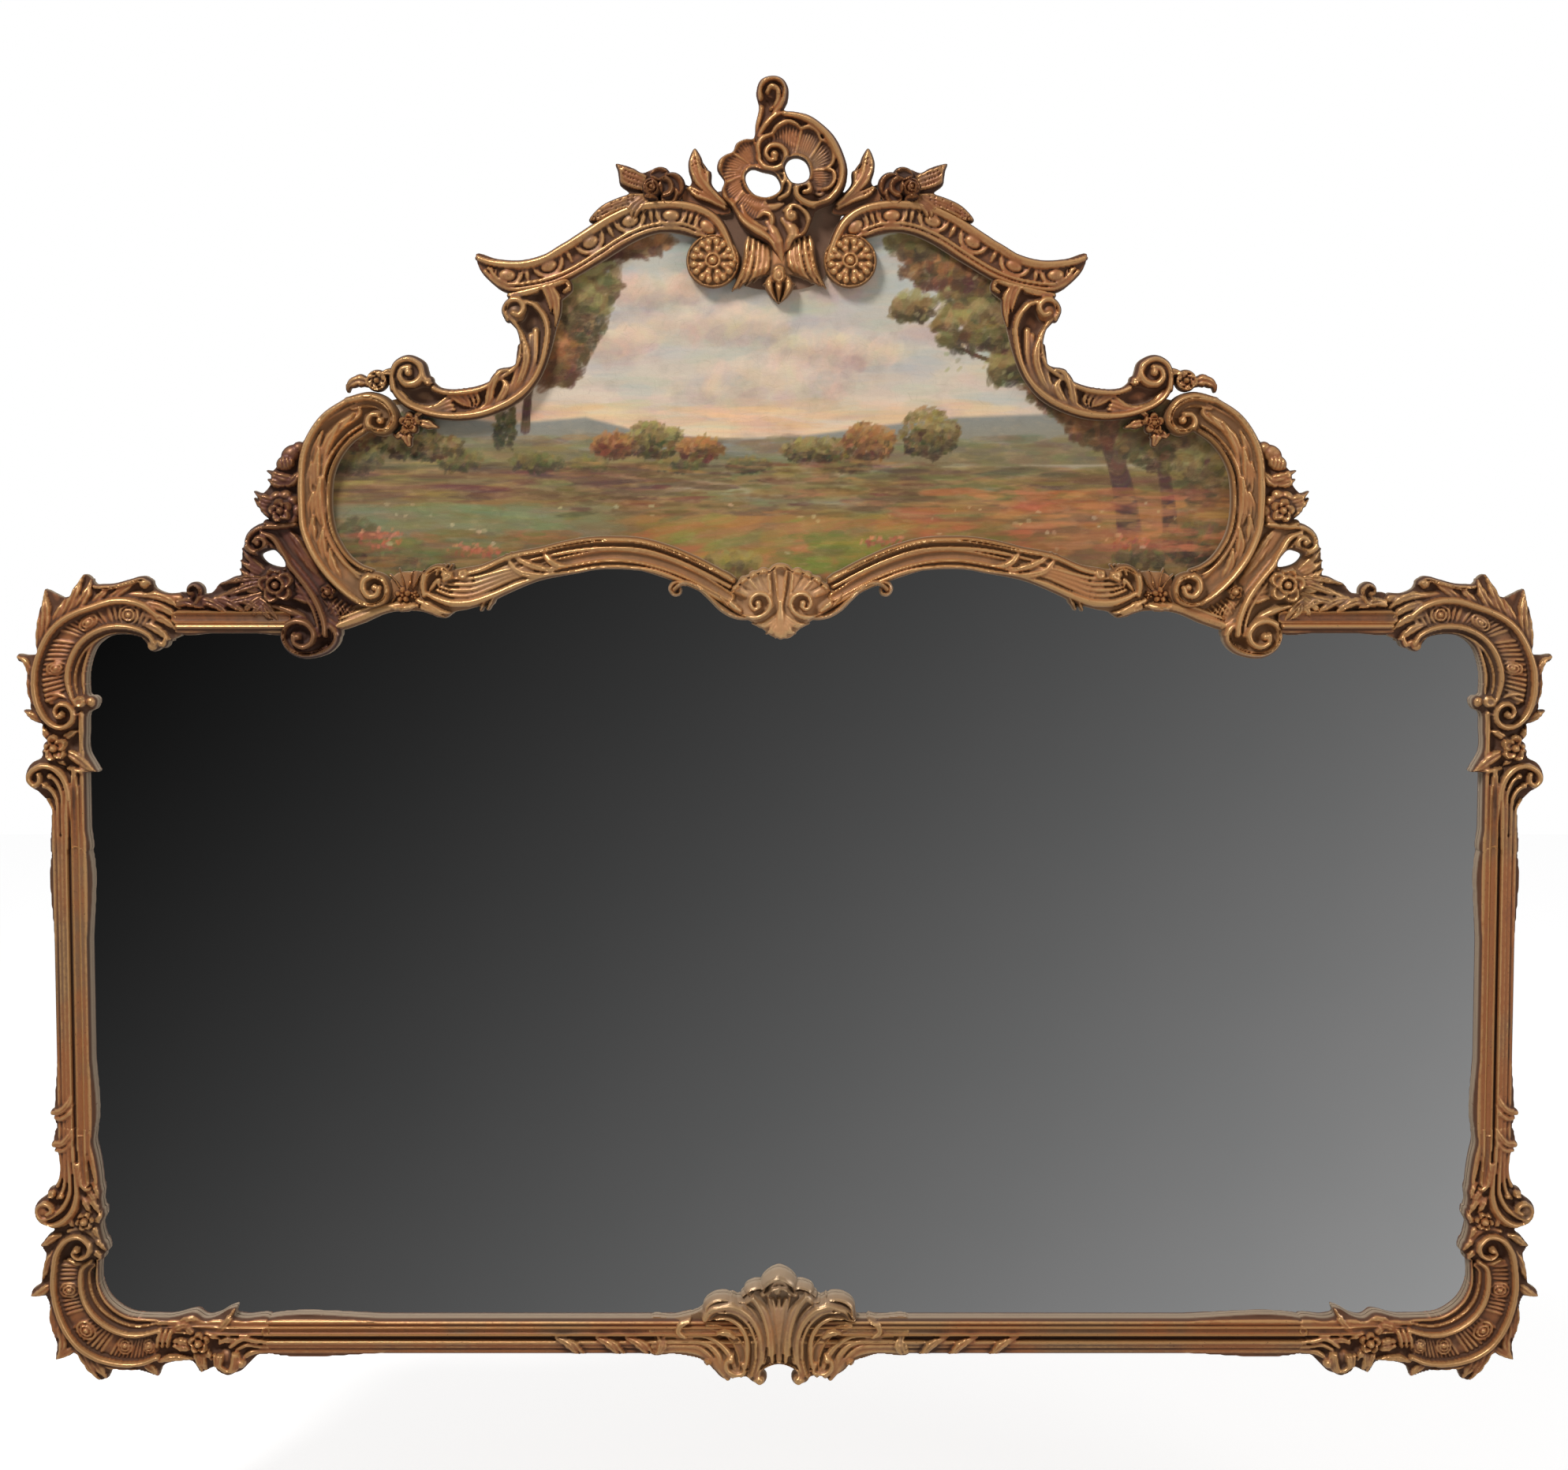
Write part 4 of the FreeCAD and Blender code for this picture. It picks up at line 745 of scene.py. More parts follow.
# ---- the glass, its backboard and the steel ----
# A silvered plate; a raw board behind it; common zinc-plated screws, straps and rings.
def silvered(name):
    """Old silvering: a clean mirror with the faintest haze."""
    material, shader, start = new_material(name)
    haze = start.node("NewGeometry", out="Position").noise(5.0, 3.0, 0.6)
    feed(shader, Base_Color=haze.between(0.2, 0.8).mix((0.93, 0.94, 0.94), (0.96, 0.96, 0.96)), Metallic=1.0,
        Roughness=haze * 0.02 + 0.005)
    return material


def steel(name):
    material, shader, start = new_material(name)
    place = start.node("TexCoord", out="Object")
    dull = place.noise(120.0, 4.0, 0.6)
    feed(shader, Base_Color=dull.between(0.35, 0.7).mix(srgb(170, 168, 160), srgb(110, 106, 98)),
        Metallic=0.9, Roughness=dull * 0.25 + 0.28)
    return material


dress("mirror_glass", silvered("silvering"))
dress("glass_backboard", pine("board_back", 0, 0.3))
ZINC = steel("zinc_steel")
for node in nodes:
    if node.startswith(("hanger_", "fillet_screws")):
        dress(node, ZINC)


# ---- stiles and rails: the straight mouldings ----
# Run with a plane: flutes outside, a gold hollow, and a pale lip at the glass. Acanthus leaves are
# wrapped across the bottom rail, and the drawing's lines are kept straight between the corners.
def leaf_wrap(block, foot, bend, tip, size, top):
    """A narrow acanthus blade bent across a moulding, with a smaller one beside it."""
    block.stroke([foot, bend, tip], [size * 0.5, size, 1.2], [top - 3, top, top - 3], 0.9, blade, veins=4,
        lobes=0.14)
    lean = [(p[0] + size * 1.1, p[1] + size * 0.2) for p in (foot, bend, tip)]
    block.stroke(lean, [size * 0.4, size * 0.7, 1], [top - 4, top - 1, top - 4], 0.9, blade, veins=3)


stile = Carving(-866, 300, -810, 646)
for x, half, top, form in ((-853, 3.2, 13, bead), (-847.5, 2.4, 15, bead), (-842.5, 2.6, 17, bead),
        (-837.6, 2.2, 18, bead), (-827, 6.2, 20, gutter), (-818.4, 3.6, 16, band)):
    stile.stroke([(x, 304), (x, 420), (x, 530), (x, 641)], half, top, 0.9, form)
stile.ground("-856,304 -856,400 -856,520 -856,641 -815,641 -815,520 -815,400 -815,304", 9)
stile.groove("-821.6,304 -821.6,470 -821.6,641", 0.9, 2.5)
stile.groove("-833.9,304 -833.9,470 -833.9,641", 1.1, 3.5)
stile.stroke("-861,328 -852,330 -843,338 -838,350", [4, 4, 4, 1.5], [16, 20, 21, 18], 0.9, blade, veins=4)
stile.stroke("-858,322 -850,322 -841,328 -836,338", [3, 3.4, 3.4, 1.5], [15, 19, 20, 17], 0.9)
fit_pair(stile, "stile_moulding", "stile", axis=GLASS_AXIS)

bottom = Carving(-622, 30, 625, 84)
RAIL_ENDS = (-613, 616)
for z, half, top, form in ((41.5, 4.2, 12, bead), (47.5, 2.8, 14, bead), (53, 2.8, 17, bead),
        (67, 6.4, 20, gutter), (76.4, 3.4, 16, band)):
    bottom.stroke([(x, z) for x in np.linspace(*RAIL_ENDS, 5)], half, top, 0.9, form)
bottom.ground([(x, 37.5) for x in np.linspace(*RAIL_ENDS, 9)]
    + [(x, 79.5) for x in np.linspace(*RAIL_ENDS, 9)[::-1]], 9)
bottom.groove([(x, 59) for x in np.linspace(*RAIL_ENDS, 5)], 1.2, 4)
bottom.groove([(x, 73.4) for x in np.linspace(*RAIL_ENDS, 5)], 0.9, 2.5)
for x in (-255, -207, -172):
    for side in (1, -1):
        middle = 1.5
        foot, bend, tip = ((middle + side * (x + a - middle), z) for a, z in ((-14, 59), (0, 52), (13, 37)))
        leaf_wrap(bottom, foot, bend, tip, 5.5, 21)
fit(bottom.build("bottom_rail_moulding", "bottom_rail"), "bottom_rail")

top = Carving(-712, 888, -572, 928)
for z, half, high, form in ((896.6, 3.4, 13, bead), (901.8, 2.1, 19, bead), (912, 8.5, 18, gutter)):
    top.stroke([(-706, z), (-660, z), (-620, z), (-577, z)], half, high, 0.8, form)
top.ground("-706,893.5 -660,893.5 -620,893.5 -577,893.5 -577,921 -620,921 -660,921 -706,921", 8)
fit_pair(top, "top_rail_moulding", "top_rail", axis=GLASS_AXIS)


# ---- upper corners: C-scrolls over the corners of the glass ----
# A C-scroll turns from the stile to the top rail. Its hollow holds combed ribs and cabochons, a
# plain gold cove follows the glass, and leaves break out past the outer edge.
def cabochon(block, x, z, radius, top, squash=1, tilt=0):
    """A polished oval in two raised rings."""
    block.ball(x, z, radius * 1.5, top - 3, squash, tilt)
    for size, high in ((1.25, -1), (0.75, 0.5)):
        turn = np.radians(tilt)
        path = [(x + radius * size * (math.cos(a) * math.cos(turn) - squash * math.sin(a) * math.sin(turn)), z
            + radius * size * (math.cos(a) * math.sin(turn) + squash * math.sin(a) * math.cos(turn)))
            for a in np.linspace(0, 2 * np.pi, 12, endpoint=False)]
        block.stroke(path, radius * 0.17, top + high, 1.3, closed=True)
    block.ball(x, z, radius * 0.5, top + 1.5, squash, tilt)


def leaves(block, paths, size, top, veins=4, lobes=0.14):
    """Acanthus blades along paths (a semicolon between them), each swelling from its foot to its tip."""
    for path in paths.split(";") if isinstance(paths, str) else paths:
        block.stroke(path, [size * 0.6, size, size * 0.8, 1.2], [top - 3, top, top, top - 4], 0.9, blade,
            veins=veins, lobes=lobes)


upper = Carving(-902, 634, -694, 970)
upper.ground("""-857,634 -857,670 -857,690 -870,706 -884,717 -886,728 -880,741 -868,748 -866,757 -859,765
    -866,776 -861,785 -873,790 -879,803 -879,822 -882,840 -883,856 -893,862 -893,869 -880,868 -871,870
    -868,888 -865,908 -863,930 -858,944 -848,940 -836,935 -826,941 -820,951 -814,962 -807,960 -800,951
    -785,948 -765,954 -748,957 -736,957 -730,946 -716,940 -700,939 -700,894 -716,884 -733,872 -741,880
    -752,892 -770,895 -788,889 -802,878 -810,860 -813,840 -812,822 -801,817 -803,806 -812,800 -814,780
    -814,756 -803,732 -815,731 -815,700 -815,665 -815,636""", 8)
upper.ground("""-856,812 -860,838 -857,864 -846,888 -826,908 -798,920 -768,924 -742,916 -732,902 -752,903
    -784,905 -806,896 -824,878 -832,860 -835,840 -831,820""", 12.5)
UPPER_RIDGE = """-837,799 -843,796 -847,803 -842,811 -832,810 -826,800 -830,789 -841,784 -854,789 -865,803
    -871,826 -870,852 -863,874 -852,894 -838,908 -820,918 -800,925 -780,931 -760,931 -742,925 -728,914"""
UPPER_INNER = """-824,810 -830,824 -833,842 -829,862 -820,879 -806,892 -788,900 -770,902 -752,899 -738,892
    -731,882"""
leaves(upper, """-866,792 -874,796 -880,800 -886,803; -869,806 -876,822 -879,838 -880,850; -868,836 -877,850
    -884,862 -893,866; -866,868 -866,888 -865,908 -864,924; -852,896 -845,912 -838,926 -834,935; -790,928
    -776,938 -762,948 -750,955; -806,924 -796,934 -788,942 -782,947""", 6, 17)
leaves(upper, """-862,880 -858,902 -857,924 -859,944; -842,906 -830,924 -821,944 -814,961; -830,914 -818,926
    -808,942 -804,956""", 8, 19)
for sweep in (("""-837.6,634 -836,676 -834,706 -839,724 -850,736 -864,739 -876,733 -880,724 -874,716 -867,721
        -868,729""", [2.2, 3.4, 4.5, 4.5, 4.5, 4, 3.5, 3], [18, 20, 22, 22, 22, 22, 22]),
        ("-842.5,634 -841,676 -841,704 -847,720 -855,728", [2.6, 2.8, 3.2, 3.2, 3], [17, 19, 20, 20]),
        ("-847.5,634 -847,672 -848,698 -854,710 -862,716", [2.4, 2.6, 3, 3.2, 3], [15, 17, 18, 18]),
        ("-853,634 -852.5,664 -853,686 -859,698", [3.2, 3, 3, 2.4], [13, 15, 16]),
        ("-855,634 -855,660 -855,680", [2, 2, 2], 12)):
    upper.stroke(*sweep, 1.1)
upper.ball(-855, 727, 4, 22)
upper.ball(-862, 716, 4, 20)
upper.ball(-873, 727, 12, 15)
upper.stroke("-827,634 -827,680 -827,710 -828,735", [6.2, 6, 5.5, 3], 20, 0.9, gutter)
upper.groove("-833.9,634 -833.5,660 -833,700", [1.1, 1.1, 0.6], 3.5)
upper.groove("-821.6,634 -821.6,680 -821.6,730", 0.9, 2.5)
upper.stroke("-818.4,634 -818.4,690 -818.4,740 -818.4,780 -819,800", 3.4, 16, 0.9, band)
leaves(upper, """-848,752 -846,747 -842,743 -838,739; -856,768 -860,776 -863,782 -864,787; -842,768 -835,774
    -828,778 -821,780""", 5, 17, 3)
upper.stroke("-838,756 -824,748 -812,738 -803,732", [4, 7, 6, 1.5], [17, 19, 18, 14], 0.9, blade, veins=4)
upper.stroke("-834,736 -822,733 -806,732", [2.5, 3, 1.2], [18, 19, 16])
upper.flower(-849, 760, 16, 5, 25, 100, 0.25)
teeth(upper, "-832,822 -836,842 -832,864 -822,884", "-858,812 -862,838 -859,864 -848,888", 13, 14, fill=1.05,
    cut=1.4)
teeth(upper, "-818,888 -802,900 -784,905", "-843,896 -826,912 -796,924", 9, 14, fill=1.05, cut=1.4)
teeth(upper, "-782,906 -766,906 -748,904 -738,900", "-790,926 -768,928 -746,922 -728,908", 9, 14, fill=1.05,
    cut=1.4)
cabochon(upper, -846, 853, 9, 17, 0.6, 10)
cabochon(upper, -808, 906, 9, 17, 0.62, 40)
cabochon(upper, -761, 915, 8.5, 17)
upper.stroke("-830,796 -826,806 -832,816 -844,822 -856,822", [2, 3, 3, 2.4, 1.5], [15, 17, 17, 16, 14], 1.2)
upper.ball(-839, 800, 14, 17)
upper.stroke(UPPER_RIDGE, [2.2, 3, 3.4, 4, 4.2, 4.2, 4, 4, 4, 4.2, 4.5, 4.5, 4],
    [26, 25, 23, 22, 22, 22, 22, 22, 22, 21, 20, 18], 1.2)
upper.ball(-839, 800, 3.6, 27)
upper.strokes(
    (beside(UPPER_INNER, -4.5), [3, 5, 6, 6, 5, 3], 15, 0.7, gutter),
    (UPPER_INNER, [2.8, 3.4, 3.4, 3.4, 3.2, 2.8], [20, 21, 21, 21, 20], 1.2),
    (beside("""-812,822 -813,845 -809,862 -802,878 -790,888 -775,895 -765,895 -752,892 -743,886""", 3), 2.4,
     13, 1.2))
upper.ball(-819, 814, 7, 20)
upper.ring(-819, 814, 5, 1.8, 21)
upper.ball(-807, 814, 6.5, 17)
upper.ball(-734, 879, 7, 18)
upper.strokes(
    ("-728,884 -722,880 -718,888", [3, 4, 3], 16),
    ("-800,948 -780,948 -760,953 -744,957 -736,953", [2.5, 3.5, 3.5, 3.5, 3], [18, 19, 19, 20], 1.2))
upper.ball(-742, 952, 6.5, 20)
upper.stroke("-775,938 -750,938 -725,936 -702,934", [3, 5, 5, 5], 13, 0.7)
leaves(upper, """-748,928 -730,926 -714,919 -703,908; -744,916 -728,913 -714,905 -704,896; -744,904 -732,900
    -722,893 -713,885; -742,938 -726,937 -712,931 -702,922""", 6, 17, 4)
fit_pair(upper, "corner_upper_scroll", "corner_upper", axis=GLASS_AXIS)


# ---- lower corners: C-scrolls under the corners of the glass ----
# The same C-scroll turned over, with the stile's foot curled into a knob above it and flowers,
# knobs and leaves that tie it to the bottom rail.
lower = Carving(-900, -2, -604, 312)
lower.ground("""-857,310 -862,291 -857,280 -855,262 -858,246 -870,230 -882,220 -885,206 -878,195 -864,188
    -870,178 -879,168 -874,156 -878,138 -881,122 -891,114 -892,106 -876,106 -870,90 -866,68 -863,48 -864,31
    -852,33 -842,38 -830,28 -820,14 -812,5 -803,8 -797,18 -775,18 -758,14 -744,10 -737,22 -720,28 -702,27
    -693,15 -683,18 -674,21 -662,14 -645,16 -634,26 -624,35 -610,38 -610,80 -640,80 -652,84 -649,93 -658,91
    -672,83 -686,80 -699,87 -722,82 -750,78 -775,81 -795,91 -810,106 -816,124 -816,148 -802,160 -804,172
    -808,190 -805,205 -807,225 -808,248 -811,272 -815,292 -815,310""", 8)
lower.ground("""-854,150 -857,124 -854,98 -844,74 -828,54 -806,40 -774,34 -744,40 -742,60 -768,58 -790,64
    -808,74 -824,92 -832,108 -835,126 -832,146""", 12.5)
LOWER_RIDGE = """-834,168 -838,162 -831,156 -821,160 -819,171 -831,181 -846,177 -857,163 -862,140 -863,118
    -859,94 -850,70 -836,50 -818,37 -798,30 -776,27 -758,29 -742,35"""
LOWER_INNER = "-820,150 -829,142 -831,124 -827,103 -817,86 -802,73 -785,65 -768,62 -752,64 -738,68"
leaves(lower, """-856,180 -864,178 -872,172 -879,168; -864,160 -870,148 -874,136 -878,128; -866,122 -874,116
    -882,111 -891,108; -864,100 -866,84 -864,68 -862,52; -818,36 -804,26 -786,22 -768,18; -760,26 -752,22
    -746,16 -743,11; -838,48 -846,42 -856,36 -864,31""", 6, 16)
leaves(lower, """-858,92 -856,70 -854,50 -862,31; -842,54 -832,38 -822,20 -813,6; -826,42 -816,28 -808,16
    -804,8""", 7.5, 18)
for sweep in (("""-837.6,312 -836.6,280 -834,250 -834,228 -840,210 -852,198 -866,194 -878,200""",
        [2.2, 3, 3, 3.4, 4, 4.4, 4, 3], [18, 20, 20, 20, 20]),
        ("-842.5,312 -842,276 -841,250 -842,232 -850,216 -862,206 -872,204", [2.6, 3, 3, 3, 3.6, 3.6, 3],
        [17, 18, 19, 19, 19]), ("-847.5,312 -847,276 -847,252 -850,236 -857,226", [2.4, 3, 3, 3, 2.4],
        [15, 16, 17, 17]), ("-853,312 -853,276 -852,256 -857,240", [3.2, 3, 3, 2.4], [13, 14, 15]),
        ("-834,240 -833,222 -838,206 -848,196 -858,192", [2, 3, 3.4, 3, 2], 17)):
    lower.stroke(*sweep, 1.1)
lower.ball(-873, 212, 12, 20)
lower.stroke("-864,204 -876,202 -882,211 -877,220 -867,220 -862,213 -868,209", [3, 3.6, 4, 4, 3.6, 3, 2.4],
    [19, 21, 22, 22, 23, 23], 1.2)
lower.ball(-864, 232, 6, 19)
lower.ring(-864, 232, 4.2, 1.6, 20)
lower.ball(-852, 229, 4, 20)
lower.stroke("-860,290 -850,292 -842,300 -837,310", [4.5, 4, 4, 2], [16, 19, 20, 18], 0.9, blade, veins=4)
lower.strokes(
    ("-858,283 -848,284 -840,291 -835,302", [3, 3.4, 3.4, 2], [15, 18, 19, 17], 0.9),
    ("-827,312 -827,285 -825,262 -823,244", [6.2, 6, 5.5, 4.5], 20, 0.9, gutter))
lower.groove("-833.9,312 -833.5,290 -832,266", [1.1, 1.1, 0.6], 3.5)
lower.strokes(
    ("-818.4,312 -818,285 -814,262 -811,246", [3.2, 3.6, 4, 3], 16, 0.9, band),
    ("-832,268 -830,250 -824,238 -818,238", [2, 3, 3, 2], 20))
leaves(lower, """-824,236 -818,232 -814,226 -812,220; -822,228 -816,222 -811,214 -808,206; -828,228 -824,220
    -820,212 -818,206; -816,244 -811,238 -809,230 -808,224; -834,196 -840,196 -842,202 -840,206; -816,200
    -810,200 -806,206 -805,212; -822,190 -814,188 -810,182 -808,176; -816,176 -808,172 -803,166 -801,162;
    -818,166 -812,160 -808,154 -814,151""", 4.6, 18, 3)
lower.flower(-825, 199, 11, 6, 22, 10, 0.36)
lower.stroke("-845,186 -830,189 -818,184 -811,172", [3, 4.5, 4.5, 2.5], [15, 17, 17, 15])
teeth(lower, "-834,146 -835,124 -831,104 -824,92", "-854,148 -857,124 -854,100 -848,84", 12, 14, fill=1.05,
    cut=1.4)
teeth(lower, "-820,84 -806,73 -790,65", "-844,72 -826,52 -806,40", 8, 14, fill=1.05, cut=1.4)
teeth(lower, "-786,60 -768,57 -744,62", "-800,38 -772,33 -744,40", 12, 14, fill=1.05, cut=1.4)
cabochon(lower, -845, 116, 9, 17, 0.72)
cabochon(lower, -826, 67, 9.5, 17, 0.75, -40)
cabochon(lower, -780, 49, 8, 17, 0.8, 90)
cabochon(lower, -752, 48, 6.5, 17, 0.8, 90)
lower.stroke("-818,152 -826,148 -836,148 -846,152", [2, 3, 3, 2], [15, 17, 17, 15])
lower.ball(-832, 167, 13, 17)
lower.stroke(LOWER_RIDGE, [2.2, 3, 3.6, 4, 4.2, 4.2, 4.2, 4.2, 4.2, 4.2, 4.2, 3.8, 3.5],
    [26, 25, 23, 22, 22, 22, 22, 22, 22, 22, 21, 20], 1.2)
lower.ball(-833, 166, 3.6, 27)
lower.strokes(
    (beside(LOWER_INNER, 5.5), [4, 6, 7, 7, 6, 4], 15, 0.7, gutter),
    (LOWER_INNER, [2.8, 3.4, 3.4, 3.4, 2.8], [20, 21, 21, 21, 20], 1.2),
    ("-812,150 -813,124 -806,104 -793,90 -776,81 -750,78.5 -700,78", [2, 2.6, 2.6, 2.6, 2.4], 13, 1.2),
    ("-738,68 -700,68 -660,67 -612,67", [4, 6, 6.4, 6.4], [17, 18, 20, 20], 0.9, gutter),
    ("-740,76.4 -690,76.4 -650,76.4 -608,76.4", 3.4, 16, 0.9, band))
for k, x in enumerate((-740, -734, -728)):
    lower.stroke([(x - 2, 48), (x, 58), (x + 3, 67)], [2.4, 3.2, 2.6], [18, 21, 20], 1.1)
leaves(lower, """-724,66 -716,72 -706,74 -698,70; -722,54 -712,54 -704,52 -698,50; -722,48 -712,46 -704,46
    -698,48; -714,78 -704,82 -696,82 -690,78; -690,60 -682,62 -674,60 -668,56; -690,46 -684,42 -680,36
    -678,30; -698,60 -702,66 -706,70 -712,70; -672,64 -664,72 -656,82 -650,92; -668,52 -660,56 -648,56
    -636,58; -697,46 -695,36 -692,26 -690,16; -688,44 -688,34 -687,26 -685,18; -740,30 -726,34 -712,34
    -700,32""", 5, 19, 3)
lower.flower(-692, 53, 13, 5, 23, 20, 0.32)
lower.ball(-660, 32, 16, 17)
for reach, high in ((14, 19), (9, 21), (4.5, 22)):
    lower.stroke([(-660 - reach, 38), (-664 - reach * 0.5, 26 - reach * 0.35), (-656, 22 - reach * 0.5),
        (-656 + reach * 0.8, 28), (-654 + reach * 0.6, 40)], [2, 3, 3.2, 3, 2], high, 1.2)
lower.ball(-643, 28, 6.5, 21)
lower.strokes(
    ("-655,48 -640,58 -625,55 -611,53", [3, 4, 3.4, 2.8], [19, 20, 19, 17]),
    ("-648,44 -636,50 -624,48 -611,47", [3, 3.4, 3, 2.8], [17, 18, 16, 14]),
    ("-640,34 -630,40 -620,41 -611,41.5", [3, 4, 4, 4], [15, 15, 13, 12]))
fit_pair(lower, "corner_lower_scroll", "corner_lower", axis=GLASS_AXIS)


# ---- garlands: leaves along the top rails ----
# A curled knob at the corner, then long blades that lie on the rail and droop over its edge.
garland = Carving(-712, 898, -580, 968)
garland.ground("""-706,922 -690,919 -670,921 -650,914 -634,918 -615,913 -596,909 -584,906 -584,955 -606,957
    -628,958 -645,955 -656,952 -666,941 -680,940 -706,940""", 7)
leaves(garland, """-596,952 -616,950 -636,943 -656,937; -600,958 -622,958 -640,955 -654,951; -606,940 -622,934
    -640,930 -652,924; -684,930 -668,930 -650,920 -644,913; -660,934 -644,930 -630,920 -620,913; -640,936
    -622,930 -606,920 -598,914; -616,936 -602,928 -592,916 -586,906; -704,930 -692,930 -680,926 -672,921""",
    6, 18, 4)
garland.ball(-685, 943, 10.5, 14)
garland.strokes(
    ("""-692,926 -682,930 -677,938 -677,946 -684,951 -691,947 -691,941 -686,940""",
     [2.4, 2.8, 3, 3, 2.8, 2.4, 2, 1.8], [16, 18, 20, 21, 22, 22, 22], 1.3),
    ("-698,932 -690,934 -685,938", [2, 3, 2], [15, 18, 17], 1.1),
    ("-706,926 -698,928 -690,932", [3, 4, 3], 15))
fit_pair(garland, "top_garland", "top_garland", GILDED_RED, GILDED, rim=5)


# ---- brackets: the pierced ears that carry the picture's frame ----
# An S-stem rises from a big volute at the glass to a curl outside, round an opening; a flower lies
# on the stem and leaves fan out under it.
bracket = Carving(-640, 862, -478, 1030)
bracket.ground("""-631,972 -629,990 -625,1002 -620,1014 -608,1020 -594,1022 -578,1026 -562,1024 -550,990
    -532,958 -506,934 -490,922 -500,905 -520,894 -528,880 -541,871 -558,868 -574,876 -583,890 -584,906
    -600,911 -622,915 -634,935 -632,955""", 7)
STEM = "-604,1010 -591,1004 -582,990 -572,972 -560,957 -549,942 -540,926 -534,908 -532,892"
bracket.strokes(
    (beside(STEM, 12), [5, 8, 9, 9, 8, 6], 12, 0.5),
    (STEM, [3.5, 4, 4, 4, 4, 4, 3.6], [21, 22, 22, 21, 22, 23], 1.1),
    (beside(STEM, -7.5), [2.5, 3, 3, 3, 3, 3], [18, 19, 19, 18, 19, 20], 1.2),
    ("-578,990 -566,974 -552,956 -540,940 -530,926", [1.5, 2.5, 3, 2.5, 1.5], [15, 17, 17, 16, 14], 1, ridge))
leaves(bracket, "-576,1014 -564,1000 -552,982 -540,966; -570,1000 -560,986 -548,970 -536,954", 5, 15, 5, 0.1)
bracket.stroke("""-566,1020 -590,1018 -606,1017 -619,1008 -622,996 -612,988 -602,992 -600,1001 -608,1005
    -613,1000""", [3, 4, 4.4, 4.6, 4.6, 4.2, 3.6, 3, 2.4], [17, 20, 21, 22, 23, 24, 24], 1.1)
bracket.ball(-610, 1000, 10, 17)
bracket.ball(-609, 999, 4, 24)
leaves(bracket, """-602,966 -612,974 -622,984 -629,992; -600,960 -612,966 -622,972 -631,978; -602,952 -614,956
    -624,962 -632,968; -606,944 -618,944 -628,950 -634,956""", 5.5, 17, 4)
leaves(bracket, """-602,936 -612,932 -624,922 -632,914; -598,932 -604,924 -600,914 -590,908; -604,930 -612,922
    -616,914 -618,910; -570,936 -560,934 -550,930 -543,920; -572,944 -562,944 -554,938 -548,932""", 5.5, 18,
    4)
bracket.stroke("-600,926 -586,924 -570,918 -556,910 -548,900", [2, 4, 5, 4.5, 3], [15, 18, 19, 18, 17], 0.9)
bracket.flower(-588, 950, 22, 5, 26, 100, 0.2)
bracket.ring(-588, 950, 9, 2, 27)
bracket.ball(-561, 890, 23, 18)
bracket.stroke("""-532,905 -523,898 -521,886 -530,875 -546,869 -562,869 -576,877 -582,890 -578,902 -566,908
    -553,905 -545,895 -547,884 -557,878 -567,883 -568,892""",
    [4, 4.5, 4.5, 4.5, 5, 5, 4.5, 4, 4, 3.6, 3.2, 2.8], [19, 20, 21, 22, 23, 24, 25, 26, 27], 1.1)
bracket.ball(-563, 890, 4.5, 26)
bracket.flower(-529, 942, 9, 5, 21, 10, 0.4)
bracket.stroke("-536,918 -526,908 -514,900", [2, 2.6, 2], [15, 16, 14])
for k in range(5):
    x = -530 + 5.5 * k
    bracket.strokes(
        ([(x, 932 - 2.2 * k), (x + 6, 922 - 2.2 * k), (x + 9, 914 - 2.0 * k)], [0.8, 1.2, 0.8], [13, 14, 13]),
        ([(x + 10, 934 - 3.0 * k), (x + 3, 925 - 2.4 * k), (x - 2, 918 - 2.0 * k)], [0.8, 1.2, 0.8],
         [13, 14, 13]))
bracket.pierce("-607,985 -600,989 -592,990 -586,985 -580,976 -580,971 -592,972 -602,977")
fit_pair(bracket, "bracket_ear", "bracket", GILDED_RED, GILDED_BRIGHT, rim=6)


# ---- side bouquets: fruit, flowers and leaves outside the shoulders ----
# Rounded leaves at the top, a folded leaf with two points, then a berry cluster among petals.
bouquet = Carving(-624, 1008, -546, 1126)
bouquet.ground("""-553,1120 -564,1109 -580,1099 -587,1088 -594,1080 -596,1066 -606,1054 -611,1044 -602,1034
    -594,1020 -580,1014 -558,1022 -556,1060 -556,1090""", 8)
leaves(bouquet, """-566,1072 -578,1074 -590,1078 -599,1082; -580,1066 -588,1068 -594,1070 -598,1072; -574,1066
    -566,1072 -562,1078 -560,1082; -586,1046 -596,1048 -606,1052 -614,1058; -590,1040 -600,1040 -608,1044
    -614,1050; -590,1034 -598,1034 -604,1038 -609,1042""", 6.5, 19, 4)
bouquet.ball(-571, 1101, 13, 17, 0.8, 40)
bouquet.ball(-577, 1091, 12, 21, 0.8, 20)
for k in range(4):
    bouquet.groove([(-585 + 4.5 * k, 1098), (-584 + 4.5 * k, 1090), (-582 + 4.5 * k, 1083)], [0.6, 1.4, 0.6],
        2)
bouquet.ball(-562, 1108, 8, 15)
for x, z in ((-570, 1046), (-565, 1036), (-570, 1026), (-588, 1052), (-578, 1053)):
    bouquet.ball(x, z, 8.5, 18, 0.8, 30)
bouquet.ball(-583, 1020, 10, 17, 0.7)
bouquet.ball(-595, 1034, 8, 17)
bouquet.flower(-582, 1036, 14, 5, 27, 30, 0.25)
fit_pair(bouquet, "side_bouquet", "side_bouquet", GILDED_RED, GILDED, rim=6)


